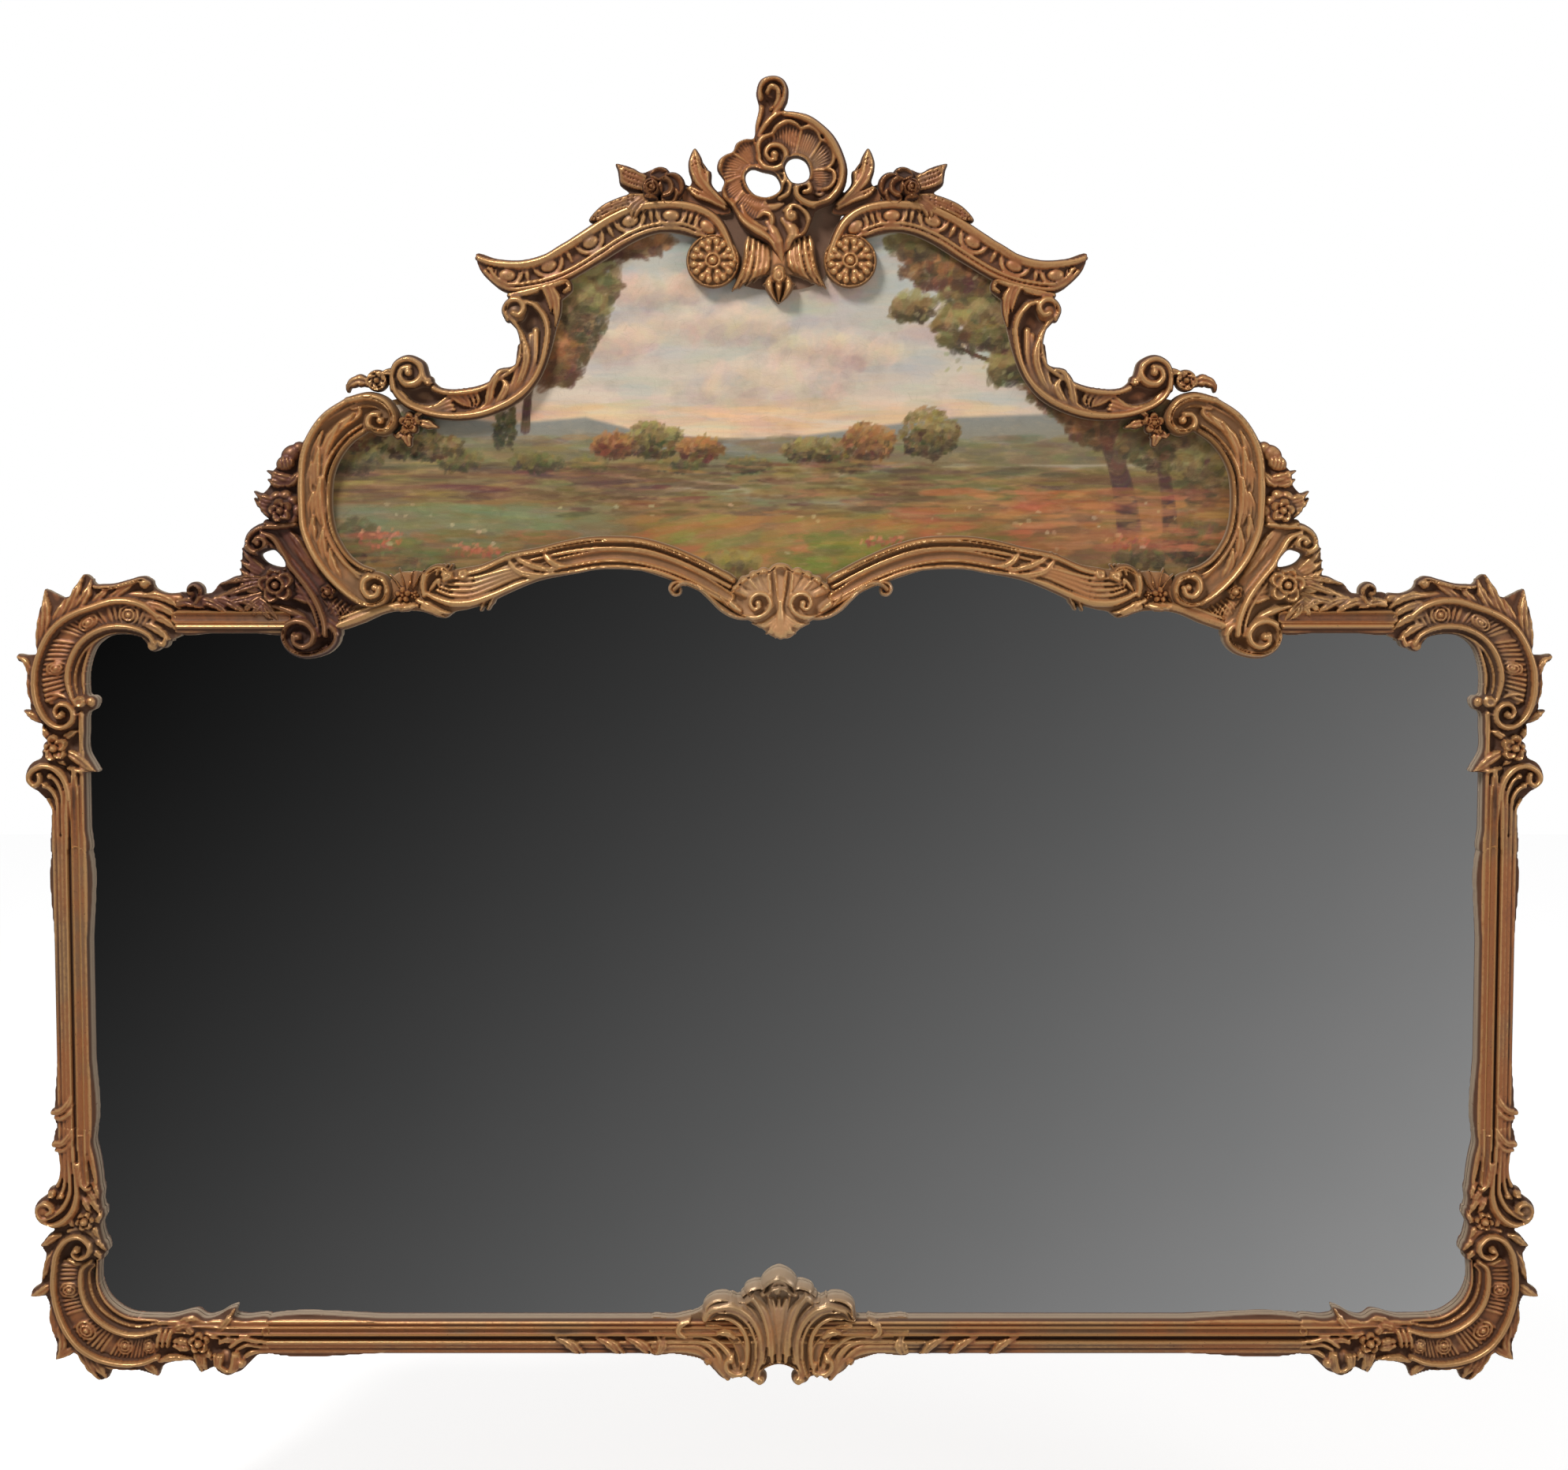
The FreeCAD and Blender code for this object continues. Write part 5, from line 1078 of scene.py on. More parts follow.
# ---- middle rails: the two swags between the glass and the painting ----
# A gold bead along the picture, a double line and a dark hollow, then a gold cove along the glass.
# Near each shoulder a C-scroll starts long flutes, with a leaf wrapped round them.
mid = Carving(-526, 890, -52, 1012)
MID_LIP = """-372,962 -350,968 -330,978 -310,985 -283,990 -255,997 -225,1002 -195,1003 -165,1001 -135,993
    -110,983 -85,971 -58,956"""
MID_LOW = way("""-518,899 -495,906 -470,915 -445,920 -415,920 -395,915 -380,920 -362,923 -340,930 -315,941
    -285,953 -250,961 -215,967 -180,967 -150,963 -120,952 -95,941 -60,922""")
mid.ground("""-519,897 -492,904 -460,917 -425,919 -394,911 -383,918 -368,921 -345,928 -315,942 -282,955
    -240,963 -200,970 -170,967 -134,956 -100,943 -58,920 -56,958 -85,973 -122,990 -160,1003 -200,1006
    -240,1000 -283,993 -318,987 -350,974 -372,970 -385,968 -400,973 -414,966 -430,966 -452,962 -470,935
    -500,926 -517,912""", 8)
mid.strokes(
    ("-520,902 -495,911 -470,921 -448,926 -425,926", [4, 5, 5, 4, 2], 15, 0.9),
    ("-518,910 -496,918 -474,927", [2, 2.5, 1.5], 14),
    ("-414,940 -402,934 -385,929 -362,930 -335,939 -310,950 -280,960", [3, 4.5, 5, 5, 4.5, 3.5, 2],
     [18, 20, 20, 20, 19, 17], 0.9))
for k, (drop, half) in enumerate(((0, 3.4), (6.5, 3.2), (13, 3.2), (19.5, 2.8))):
    mid.stroke([(-402 + 3 * k, 944 + drop * 0.6), (-385, 938 + drop), (-362, 938 + drop),
        (-340, 946 + drop * 0.85), (-315, 957 + drop * 0.6), (-290, 964 + drop * 0.35)],
        [2, half, half, half, half * 0.7, 1.5], [17, 18, 18, 18, 17], 0.9)
mid.strokes(
    ("""-330,952 -300,962 -270,972 -240,979 -205,984 -170,982 -135,973 -100,958 -62,936""",
     [4, 6, 7.5, 8, 8.5, 8.5, 8, 7.5, 6], 15, 0.8, gutter),
    (beside(MID_LOW[8:], 3), [1.5, 2.6, 2.8, 2.8], 14, 1.1),
    ("-346,960 -322,971 -292,979 -262,986 -230,991 -195,993 -160,990 -128,980 -98,967 -62,948", 2.6, 16, 1.2),
    (MID_LIP, [3, 4, 4, 4, 4, 4, 4, 4], [18, 19, 20, 20, 20, 20, 19], 1.1))
mid.ball(-372, 963, 6, 19)
mid.ring(-372, 963, 4.4, 1.6, 20)
leaves(mid, "-344,922 -340,930 -334,938 -326,944; -352,921 -349,928 -345,933 -340,938", 4, 20, 3)
leaves(mid, """-322,984 -308,966 -280,961 -244,966; -316,986 -296,974 -272,968 -248,972; -278,988 -270,977
    -262,973 -250,972""", 4.5, 20, 4)
mid.stroke("-417,938 -418,950 -414,963 -403,970 -392,968 -386,960 -393,956", [3, 4, 4.4, 4.4, 4.2, 3.6, 2.6],
    [19, 21, 22, 22, 23, 22], 1.1)
mid.ball(-392, 961, 5, 22)
for k in range(3):
    mid.stroke([(-402 + 6 * k, 962), (-399 + 6 * k, 970), (-395 + 5 * k, 973)], [2, 3, 2], 20)
mid.stroke("-410,944 -404,952 -399,956 -400,950", [2, 3, 3, 2], [17, 18, 19, 18])
leaves(mid, """-425,932 -412,926 -400,920 -386,917; -420,924 -410,920 -402,915 -394,912; -430,926 -440,922
    -448,922 -455,925""", 4.5, 20, 3)
fit_pair(mid, "middle_rail", "mid_rail", GILDED_BRIGHT, rim=5)


# ---- sprays: a flower and leaves between shoulder and middle rail ----
# Small upright leaves with a flower and its bud at their foot.
sprig = Carving(-462, 918, -408, 976)
leaves(sprig, """-442,942 -447,949 -452,956 -458,962; -440,944 -442,953 -444,961 -447,969; -437,944 -434,952
    -433,960 -430,966; -433,943 -428,950 -424,958 -418,967; -444,934 -446,929 -444,925 -440,921; -436,932
    -432,927 -426,924 -420,922; -450,936 -454,932 -456,928 -454,924""", 2.4, 17, 2)
sprig.flower(-442.5, 938, 11, 5, 24, 20, 0.3)
sprig.flower(-429, 938, 6.5, 5, 21, 0, 0.35)
fit_pair(sprig, "middle_spray", "mid_spray", rim=5)


# ---- the middle shell: a fluted shell between two volutes ----
# Flutes fan out to a scalloped rim. Below it two arms sweep out to curled balls, and a fishtail
# leaf hangs over the glass.
shell = Carving(-140, 878, 134, 978, 1)
SHELL_AXIS = -3.0


def on_side(mirror, axis):
    """Reads points as they are, or mirrored about an upright axis of the drawing."""
    return lambda points: [(2 * axis - x if mirror else x, z) for x, z in way(points)]


shell.ground("""-58,945 -51,950 -44,955 -39,960 -30,964 -16,966 -10,970 0,971 7,968 14,965 23,964 31,960
    38,954 48,948 56,938 60,926 45,914 30,906 18,897 8,888 -4,887 -14,890 -24,898 -36,906 -52,914 -66,926
    -64,938""", 8)
for mirror in (0, 1):
    own = on_side(mirror, SHELL_AXIS)
    for lobe in (way("-17,964 -26,963 -39,957"), way("-40,957 -48,951 -58,941")):
        rim = own(lobe)
        foot = own("-12,938 -18,940 -26,943" if lobe[0][0] > -30 else "-27,943 -36,941 -42,934")
        teeth(shell, foot, rim, 2, 15, fill=1.2, lift=-1, cut=1)
        shell.stroke(own([(x * 1.03, z + 2.2) for x, z in lobe]), [2.4, 3, 2.4], [20, 22, 20], 1.6)
    shell.strokes(
        (own("-12,925 -15,942 -16.5,964"), [1.4, 1.8, 2.2], 18),
        (own("-26,941 -33,948 -40,957"), [1.4, 1.8, 2], 17),
        (own("""-127,945 -119,952 -108,952 -96,945 -84,934 -70,921 -54,913 -38,912 -26,914 -17,921 -15,930
         -20,938 -29,940 -36,936 -38,928 -33,922 -27,925"""),
         [4, 4, 3.6, 3.6, 3.6, 4, 4, 3.6, 3.2, 3, 3, 2.8, 2.8, 2.6, 2.2],
         [24, 24, 24, 24, 24, 24, 24, 24, 25, 26, 27, 28, 29, 29], 1.1),
        (own("-114,951 -121,953 -128,951 -131,945 -127,939 -121,940 -120,945"), [3, 3.4, 3.4, 3.2, 3, 2.6, 2],
         25, 1.2))
    shell.ball(*own([(-29, 929)])[0], 4, 30)
    leaves(shell, [own("-60,922 -68,930 -74,938 -76,946"), own("-50,920 -58,926 -64,932 -70,936"),
        own("-84,936 -92,944 -99,950 -104,954")], 4, 24, 3)
    leaves(shell, [own("-6,916 -14,908 -24,903 -36,905"), own("-5,910 -10,902 -14,896 -20,893"),
        own("-4,906 -6,898 -8,892 -9,888")], 5.5, 18, 4)
shell.strokes(
    ("-3,924 -3,945 -3,966", [3.5, 6.5, 9.5], [16, 17, 17], 1, gutter),
    ("-16,966 -10,971 -3,972.5 4,971 10,966", [2.4, 3, 3, 2.4], [20, 23, 20], 1.6),
    ("-3,930 -3,912 -3,892", [3, 5, 6], [18, 20, 17], 0.8))
fit(shell.build("middle_shell", "mid_shell", rim=5), "mid_shell", GILDED_LIGHT)


# ---- the bottom shell: plumes that rise from the bottom rail ----
# A middle frond under a domed cap, with rolled plumes in pairs to each side; their lower ends
# curl into balls on either side of an arched opening.
plume = Carving(-162, -2, 162, 146, 1)
PLUME_AXIS = -5.0
plume.ground("""-100,88 -88,100 -74,104 -60,107 -50,103 -44,110 -34,117 -22,118 -17,130 -5,138 8,130 13,118
    28,118 37,109 40,103 52,106 66,102 78,95 84,82 110,80 150,79 150,37 112,36 95,31 82,27 72,16 58,10 34,10
    28,3 19,2 13,8 14,17 6,24 -5,26 -16,24 -24,17 -22,8 -29,2 -38,4 -44,9 -60,8 -72,7 -82,16 -90,25 -102,31
    -130,36 -158,37 -158,79 -130,80""", 8)
for mirror in (0, 1):
    own = on_side(mirror, PLUME_AXIS)
    for path, half, high in (("-40,66 -80,68 -110,67 -156,67", [4, 6, 6.3, 6.3], 17),
            ("-60,12 -72,24 -78,38 -90,50 -112,55 -156,53", [5, 5, 4, 3.4, 3, 2.8], 17),
            ("-56,18 -62,34 -72,48 -90,60 -112,61 -140,60", [4, 4.5, 4, 3, 2.6, 2], 18),
            ("-66,8 -80,24 -96,38 -120,43 -156,41.5", [4, 4.5, 4.5, 4.2, 4.2], 14),
            ("-70,14 -84,32 -100,46 -124,48 -156,47.5", [3, 3.4, 3, 2.8, 2.8], 16),
            ("-50,12 -48,30 -52,48 -62,62 -76,70 -90,74", [4, 6, 7, 6.5, 5, 3], 19),
            ("-40,12 -36,32 -34,54 -42,74 -58,88 -76,90 -88,82", [3.4, 6, 8, 8.5, 8, 6.5, 4], 19),
            ("-46,16 -43,36 -43,56 -50,72 -64,82 -80,82", [1.5, 2.8, 3.6, 3.6, 3.4, 1.5], 20.5),
            ("-38,14 -33,34 -33,56 -41,76 -57,90 -76,91", [1.4, 1.8, 2.2, 2.4, 2.4, 1.5], 23),
            ("-24,30 -22,52 -24,72 -32,90 -42,100 -52,102", [4, 6.5, 8, 8, 6, 3.5], 20),
            ("-24,30 -22,52 -25,72 -34,90 -44,100", [1.2, 2.4, 3.2, 3.2, 1.2], 21.5),
            ("-13,32 -14,55 -18,78 -26,98 -38,108 -44,104", [2.6, 4, 5, 6, 5, 3], 24)):
        plume.stroke(own(path), half, high, 0.8, gutter if max(half) > 6.4 else bead)
    plume.strokes(
        (own("-34,14 -27,34 -27,58 -34,78 -50,94 -70,98 -86,92 -93,82"), [3, 4, 4, 4, 4.4, 5, 5, 4],
         [20, 22, 23, 24, 25, 24, 22], 0.9),
        (own("-17,40 -18,64 -23,86 -32,104 -40,113 -48,108"), [1.6, 2, 2.4, 3, 3, 2.4], [24, 25, 26, 26, 24],
         1.1),
        (own("-30,96 -34,106 -42,114 -30,119 -20,116"), [3, 4, 4.5, 4.5, 3], 20, 0.9),
        (own("-92,84 -90,96 -80,103 -66,104 -58,98"), [4, 4.5, 4.5, 4, 2.5], 19, 0.9))
    leaves(plume, [own("-44,80 -52,90 -58,100 -61,107"), own("-28,70 -38,84 -44,92 -50,96"),
        own("-58,60 -66,66 -74,66 -80,62")], 4.5, 24, 3)
    for x, z, radius in ((-28, 8, 8.5), (-62, 33, 5), (-90, 28, 5)):
        plume.ball(*own([(x, z)])[0], radius, 22)
    plume.strokes(
        (own("-60,38 -67,30 -66,20 -56,14 -46,18 -48,28"), [3, 3.6, 3.6, 3.6, 3, 2.4], 20),
        (own("-112,79 -122,74 -124,66 -116,60"), [3, 4, 3.6, 2], 21, 1, blade))
    leaf_wrap(plume, *own("-148,60 -145,50 -150,38"), 4.5, 20)
plume.strokes(
    ("-31,12 -22,22 -5,27.5 12,22 21,12", [3, 3, 3, 3], 20),
    ("-5,32 -5,60 -5,85 -5,108", [4, 6, 10, 17], [20, 22, 22, 20], 0.6, gutter))
for lean in (-1, 0, 1):
    plume.stroke([(-5, 34), (-5 + lean, 60), (-5 + 3.4 * lean, 85), (-5 + 8 * lean, 106)], [1.6, 2.8, 4, 2.4],
        [20, 22, 23, 20], 0.8)
plume.strokes(
    ("-24,112 -20,124 -5,132 10,124 14,112", [4, 6.5, 7.5, 6.5, 4], [22, 25, 26, 25, 22], 0.9),
    ("-18,113 -14,119 -5,122 4,119 8,113", [1.6, 2.2, 2.2, 1.6], 27))
plume.ball(-7, 118, 5, 27)
fit(plume.build("bottom_shell", "bottom_shell", rim=6), "bottom_shell", GILDED_PALE)


# ---- shoulder scrolls: the tall C-scrolls either side of the painting ----
# A hollow band between a rolled outer rim and a double inner rim, with a strand of acanthus
# lying in the hollow and an open volute at each end.
shoulder = Carving(-570, 914, -440, 1180)
SHOULDER_RIM = """-505,1163 -530,1146 -546,1125 -556,1100 -559,1070 -559,1040 -557,1015 -548,990 -536,970
    -520,951 -503,936 -490,928"""
SHOULDER_INNER = """-485,1128 -501,1117 -515,1100 -524,1080 -527,1060 -527,1035 -523,1012 -514,993 -503,979
    -490,970 -478,966"""
shoulder.ground("""-490,1169 -520,1158 -548,1128 -561,1090 -562,1030 -556,1000 -538,967 -512,938 -482,924
    -460,934 -457,955 -478,966 -500,972 -519,994 -529,1025 -529,1075 -516,1104 -490,1126 -455,1126 -450,1150
    -466,1166""", 6)
shoulder.strokes(
    (beside(SHOULDER_RIM, 15), [10, 14, 15, 15, 14, 11], 14, 0.4, gutter),
    (SHOULDER_RIM, [4, 5.4, 5.4, 5.2, 4.4], [21, 23, 22, 21, 22], 1.2),
    (SHOULDER_INNER, [3, 3.5, 3.5, 3], [17, 19, 18, 18], 1.3),
    (beside(SHOULDER_INNER, -7.5), 2, [13, 15, 15, 14], 1.3))
for root, tip, size, swell in [((-545, 1015), (-544, 1058), 7.5, 17), ((-534, 1012), (-536, 1075), 7, 18),
        ((-546, 1040), (-546, 1092), 7.5, 17), ((-538, 1052), (-537, 1108), 7, 18),
        ((-547, 1075), (-533, 1128), 7, 17), ((-536, 1088), (-513, 1138), 6.5, 18),
        ((-528, 1112), (-496, 1148), 6, 17), ((-540, 985), (-545, 1030), 7.5, 17),
        ((-527, 968), (-534, 1016), 7.5, 18), ((-512, 952), (-526, 992), 6.5, 17)]:
    bend = ((root[0] + tip[0]) / 2 - 4, (root[1] + tip[1]) / 2)
    shoulder.stroke([root, bend, tip], [1.5, size, size * 0.8, 1], [11, swell - 2, swell, swell + 1], 1.1,
        blade, veins=3, lobes=0.16)
shoulder.stroke("""-505,1163 -480,1168 -462,1163 -451,1150 -450,1137 -460,1127 -473,1128 -480,1137 -476,1146
    -468,1147""", [4.5, 5.5, 5.5, 5, 4, 3], [21, 22, 23, 24, 25, 25], 1.2)
shoulder.ball(-466, 1140, 5, 22)
shoulder.strokes(
    ("-498,1155 -482,1160 -466,1155 -459,1144", [3, 5, 4, 3], 15, 0.8, gutter),
    ("""-490,928 -476,926 -463,932 -459,945 -464,957 -476,961 -486,955 -487,945 -480,937 -471,939 -468,947""",
     [4, 4.5, 4.5, 4.5, 4, 3], [21, 22, 24, 25, 26], 1.3))
shoulder.ball(-474, 947, 4.5, 23)
fit_pair(shoulder, "shoulder_scroll", "shoulder", GILDED_BRIGHT)


# ---- neck scrolls: from the shoulders up to the arch ----
# A flat S-scroll that winds into a volute on the shoulder, sweeps under as a hollow filled with
# fanned ribs, and turns up into a leafy cavity below the arch.
neck = Carving(-462, 1134, -240, 1304)
NECK_LOW = """-455,1190 -452,1172 -440,1158 -422,1149 -400,1143 -375,1142 -350,1145 -325,1154 -303,1167
    -286,1184 -276,1204 -271,1225 -269,1245 -273,1262 -284,1275"""
NECK_HIGH = """-404,1180 -392,1175 -370,1175 -350,1179 -336,1186 -322,1195 -311,1204 -305,1218 -305,1232
    -309,1246 -318,1258"""
neck.ground("""-433,1215 -450,1207 -456,1188 -450,1168 -425,1149 -385,1140 -345,1144 -305,1162 -282,1188
    -269,1220 -262,1248 -258,1275 -243,1290 -250,1301 -280,1297 -312,1287 -321,1272 -318,1256 -307,1242
    -303,1220 -312,1204 -331,1199 -338,1187 -365,1178 -395,1178 -408,1190 -415,1208""", 6)
neck.fan("-440,1172 -426,1160 -405,1158 -388,1170", "-452,1180 -440,1158 -412,1147 -380,1150", 4,
    [16, 16, 15, 13])
neck.fan("-392,1172 -385,1166 -376,1160 -365,1156", "-360,1176 -352,1172 -350,1162 -356,1152", 5,
    [15, 13, 11], fill=0.95)
neck.fan("-402,1150 -378,1149 -355,1153 -338,1166", "-398,1143 -370,1143 -344,1149 -322,1162", 3,
    [14, 16, 15])
neck.fan("-332,1152 -322,1166 -312,1190 -306,1222", "-312,1160 -296,1180 -284,1208 -283,1246", 4,
    [14, 17, 16, 12])
neck.stroke("-345,1150 -340,1165 -336,1182 -328,1196 -319,1199", [2, 5, 6, 5, 2], [13, 18, 20, 22, 20], 1,
    blade, veins=3, lobes=0.15)
neck.strokes(
    ("-334,1156 -325,1168 -320,1180 -326,1189", [1.5, 4.5, 5, 1.5], [15, 20, 20, 17], 1, blade),
    ("-318,1165 -303,1188 -296,1214 -302,1243", [1.5, 4, 4.5, 1.5], [14, 20, 21, 17], 1, blade),
    (beside(NECK_LOW, 3.2), [4, 4, 4.2, 4.2, 3.6, 3.4], [20, 20, 19, 20, 20, 18], 1.3),
    (beside(NECK_HIGH, -2.6), [2.8, 3, 3, 2.8], [18, 19, 18, 17], 1.4))
neck.ball(-433, 1195, 19, 17)
neck.stroke("""-452,1176 -452,1192 -447,1205 -434,1211 -421,1206 -416,1194 -423,1184 -435,1182 -442,1190
    -439,1199 -431,1201""", [4, 4.5, 5, 5, 4.5, 4, 3.2], [19, 21, 22, 23, 24, 25, 25], 1.3)
neck.ball(-432, 1195, 4.6, 27)
neck.ball(-410, 1186, 5.5, 21)
neck.ring(-410, 1186, 4, 1.8, 22)
neck.ball(-309, 1264, 13, 18)
neck.strokes(
    ("-318,1256 -322,1267 -316,1277 -305,1278 -299,1270 -304,1261 -311,1263", [3.5, 4, 4, 3.5, 2.8],
     [18, 20, 21, 22, 23], 1.3),
    ("-298,1276 -288,1273 -278,1262 -273,1246 -275,1226", [3, 3, 2.8, 2.2], [19, 20, 19, 17], 1.4))
neck.stroke("-268,1294 -262,1280 -261,1264 -263,1248", [4, 6, 4.5, 1.2], [18, 18, 16, 12], 1, blade, veins=3)
neck.strokes(
    ("-276,1292 -270,1280 -268,1266", [3, 4, 1.5], [17, 16, 13], 1, blade),
    ("-282,1292 -262,1297 -250,1300 -246,1293 -252,1288", [3, 4, 4, 3.5, 2.5], [15, 17, 19, 20, 19]),
    ("-316,1284 -300,1286 -285,1290", [3.5, 4.5, 4], 15, 0.8, band))
fit_pair(neck, "neck_scroll", "neck")


# ---- shoulder flowers: small flowers in the angle of shoulder and neck ----
# One rosette with a leaf above the shoulder's volute, and a spray hanging below the neck.
posy = Carving(-512, 1108, -390, 1204)
posy.stroke("-480,1184 -492,1186 -503,1180 -504,1174", [6, 8, 6, 2], [14, 16, 14, 10], 1, blade, veins=3,
    lobes=0.12)
posy.ball(-470, 1186, 13, 15)
posy.ring(-470, 1186, 10.5, 2.2, 17)
posy.flower(-470, 1186, 9.5, 6, 17, 20)
posy.stroke("-462,1194 -455,1196 -450,1188 -455,1183", [4, 5, 4, 2], 16, 1, blade)
posy.stroke("-424,1138 -412,1136 -400,1132", [4, 7, 1.5], [15, 16, 12], 1, blade, veins=3, lobes=0.15)
posy.stroke("-435,1128 -436,1120 -434,1113", [5, 8, 4], [15, 17, 13], 1, blade, veins=2, lobes=0.15)
posy.strokes(
    ("-440,1128 -447,1122 -451,1124", [4, 5, 2], [15, 15, 12], 1, blade),
    ("-424,1146 -418,1150 -414,1147", [4, 4, 2], [15, 15, 12], 1, blade))
posy.flower(-433, 1137, 14, 5, 20, 18, 0.34)
fit_pair(posy, "shoulder_flowers", "shoulder_flowers")


# ---- the arch: two rising swags of egg and dart over the painting ----
# A thick bead on top, eggs in their cups with darts between, and two fine beads along the picture.
arch = Carving(-364, 1276, -40, 1402)
ARCH_TOP = """-352,1331 -334,1325 -305,1323 -280,1328 -255,1342 -228,1358 -200,1376 -170,1388 -140,1392
    -110,1390 -86,1382 -68,1365 -57,1342 -52,1320"""
ARCH_LOW = """-345,1310 -332,1296 -315,1289 -292,1291 -265,1297 -240,1308 -210,1326 -182,1344 -150,1357
    -118,1358 -98,1351"""
EGGS = [(-318, 1306, 0), (-270, 1317, 22), (-222, 1344, 31), (-176, 1368, 20), (-129, 1374, -3),
    (-87, 1361, -38)]
DARTS = [(-295, 1306, 8), (-247, 1329, 28), (-199, 1357, 28), (-152, 1374, 8), (-107, 1371, -18)]
arch.ground("""-354,1332 -330,1326 -300,1325 -270,1334 -240,1353 -205,1375 -170,1390 -130,1394 -95,1388
    -70,1371 -55,1340 -50,1318 -62,1322 -80,1340 -100,1349 -136,1356 -168,1347 -210,1322 -255,1297 -290,1287
    -320,1287 -340,1301 -351,1315""", 11)
for x, z, tilt in EGGS:
    turn = math.radians(tilt)
    for hook, half, high in ((way("18,8 15,-3 7,-10 -7,-10 -15,-3 -18,8"), 2, 15.5),
            (way("13.5,7 12,-3 5,-8 -5,-8 -12,-3 -13.5,7"), 1.4, 14.5)):
        arch.stroke([(x + a * math.cos(turn) - b * math.sin(turn),
            z + a * math.sin(turn) + b * math.cos(turn)) for a, b in hook], half, high, 1)
    arch.ball(x, z + 0.5, 10, 20, 0.74, tilt)
for x, z, tilt in DARTS:
    turn = math.radians(tilt + 90)
    arch.stroke([(x + r * math.cos(turn), z + r * math.sin(turn)) for r in (8, 2, -8)], [3.4, 2.6, 1],
        [15, 16, 13])
arch.strokes(
    (beside(ARCH_TOP, -4.5), [2.5, 5.5, 6, 5.5, 5.2, 4.8, 4.8, 4.2], [18, 23, 23, 22, 22, 23, 23, 22], 1.2),
    (beside(ARCH_LOW, 2), [2.2, 2.6, 2.6, 2.4], 15, 1.4),
    (beside(ARCH_LOW, 7.2), [1.8, 2.2, 2.2, 2], 17, 1.4))
fit_pair(arch, "arch_swag", "arch", rim=6)


# ---- rosettes: the round ends of the arch ----
# Eight notched petals round a ringed button, inside a thin rim; brightly gilded.
rosette = Carving(-116, 1289, -48, 1357, 0.9)
ROSETTE = (-81, 1323)
rosette.ball(*ROSETTE, 31, 14)
rosette.ring(*ROSETTE, 29.3, 1.9, 17)
rosette.ring(*ROSETTE, 22, 8, 13, band)
for k in range(8):
    turn = math.pi * (k + 0.5) / 4
    c, s = math.cos(turn), math.sin(turn)
    rosette.stroke([(ROSETTE[0] + r * c, ROSETTE[1] + r * s) for r in (8, 14, 20)], [3.2, 4.6, 6],
        [17, 20, 19], 0.7)
    for lean in (-1, 1):
        rosette.ball(ROSETTE[0] + 21.5 * c - lean * 3.6 * s, ROSETTE[1] + 21.5 * s + lean * 3.6 * c, 4.8,
            21.5)
    rosette.groove([(ROSETTE[0] + r * c, ROSETTE[1] + r * s) for r in (17, 22, 27)], [0.5, 0.9, 1.6],
        [1.5, 3, 5])
rosette.ball(*ROSETTE, 10, 18)
rosette.ring(*ROSETTE, 7.6, 1.7, 21)
rosette.ball(*ROSETTE, 5.2, 24)
fit_pair(rosette, "rosette", "rosette", GILDED_BRIGHT, rim=9, back=8)


# ---- rose sprays: a rose with leaves lying on each swag ----
# Petals wound round a tight bud, two leaves along the swag and one drooping over the eggs.
spray = Carving(-236, 1352, -100, 1444, 1)
spray.ground("""-193,1434 -184,1433 -172,1429 -162,1424 -150,1428 -138,1426 -126,1420 -118,1410 -116,1398
    -122,1388 -136,1384 -150,1386 -160,1380 -166,1372 -171,1362 -177,1370 -182,1379 -196,1374 -210,1367
    -222,1367 -224,1371 -214,1383 -204,1390 -190,1396 -178,1401 -188,1410 -190,1424""", 9)
spray.fan("-160,1402 -176,1406 -187,1412 -190,1424 -193,1434",
    "-158,1420 -168,1426 -177,1428 -184,1431 -193,1434", 4, [18, 20, 21, 18], fill=0.96)
spray.fan("-158,1384 -178,1379 -195,1373 -208,1368 -224,1369",
    "-160,1400 -178,1399 -194,1393 -210,1386 -224,1370", 5, [19, 22, 21, 16], fill=0.96)
spray.fan("-166,1394 -178,1386 -182,1376 -171,1362", "-150,1388 -156,1379 -164,1371 -171,1362", 4,
    [22, 24, 24, 18], fill=0.96)
fit_pair(spray, "rose_leaves", "rose_spray", GILDED_BROWN, depth_of="arch")

bloom = Carving(-170, 1378, -104, 1438, 0.9)
for x, z, radius, high, sunk, squash, tilt in ((-143, 1420, 13, 19, 4, 0.8, 110),
        (-127, 1409, 16, 20, 6, 0.9, 20), (-131, 1396, 13, 21, 5, 0.85, -40),
        (-152, 1394, 11, 20, 4, 0.8, -110), (-136, 1407, 12, 24, 6, 0.9, 10),
        (-151, 1406, 13.5, 26, 5, 0.95, 30), (-149, 1404, 9.5, 29, 5, 0.9, 0),
        (-152, 1406, 6, 31, 4, 0.9, 60), (-151, 1406, 2.6, 32, 0, 1, 0)):
    bloom.dish(x, z, radius, high, sunk, squash, tilt, 4)
fit_pair(bloom, "rose_bloom", "rose_spray", GILDED_ROSE, rim=9)


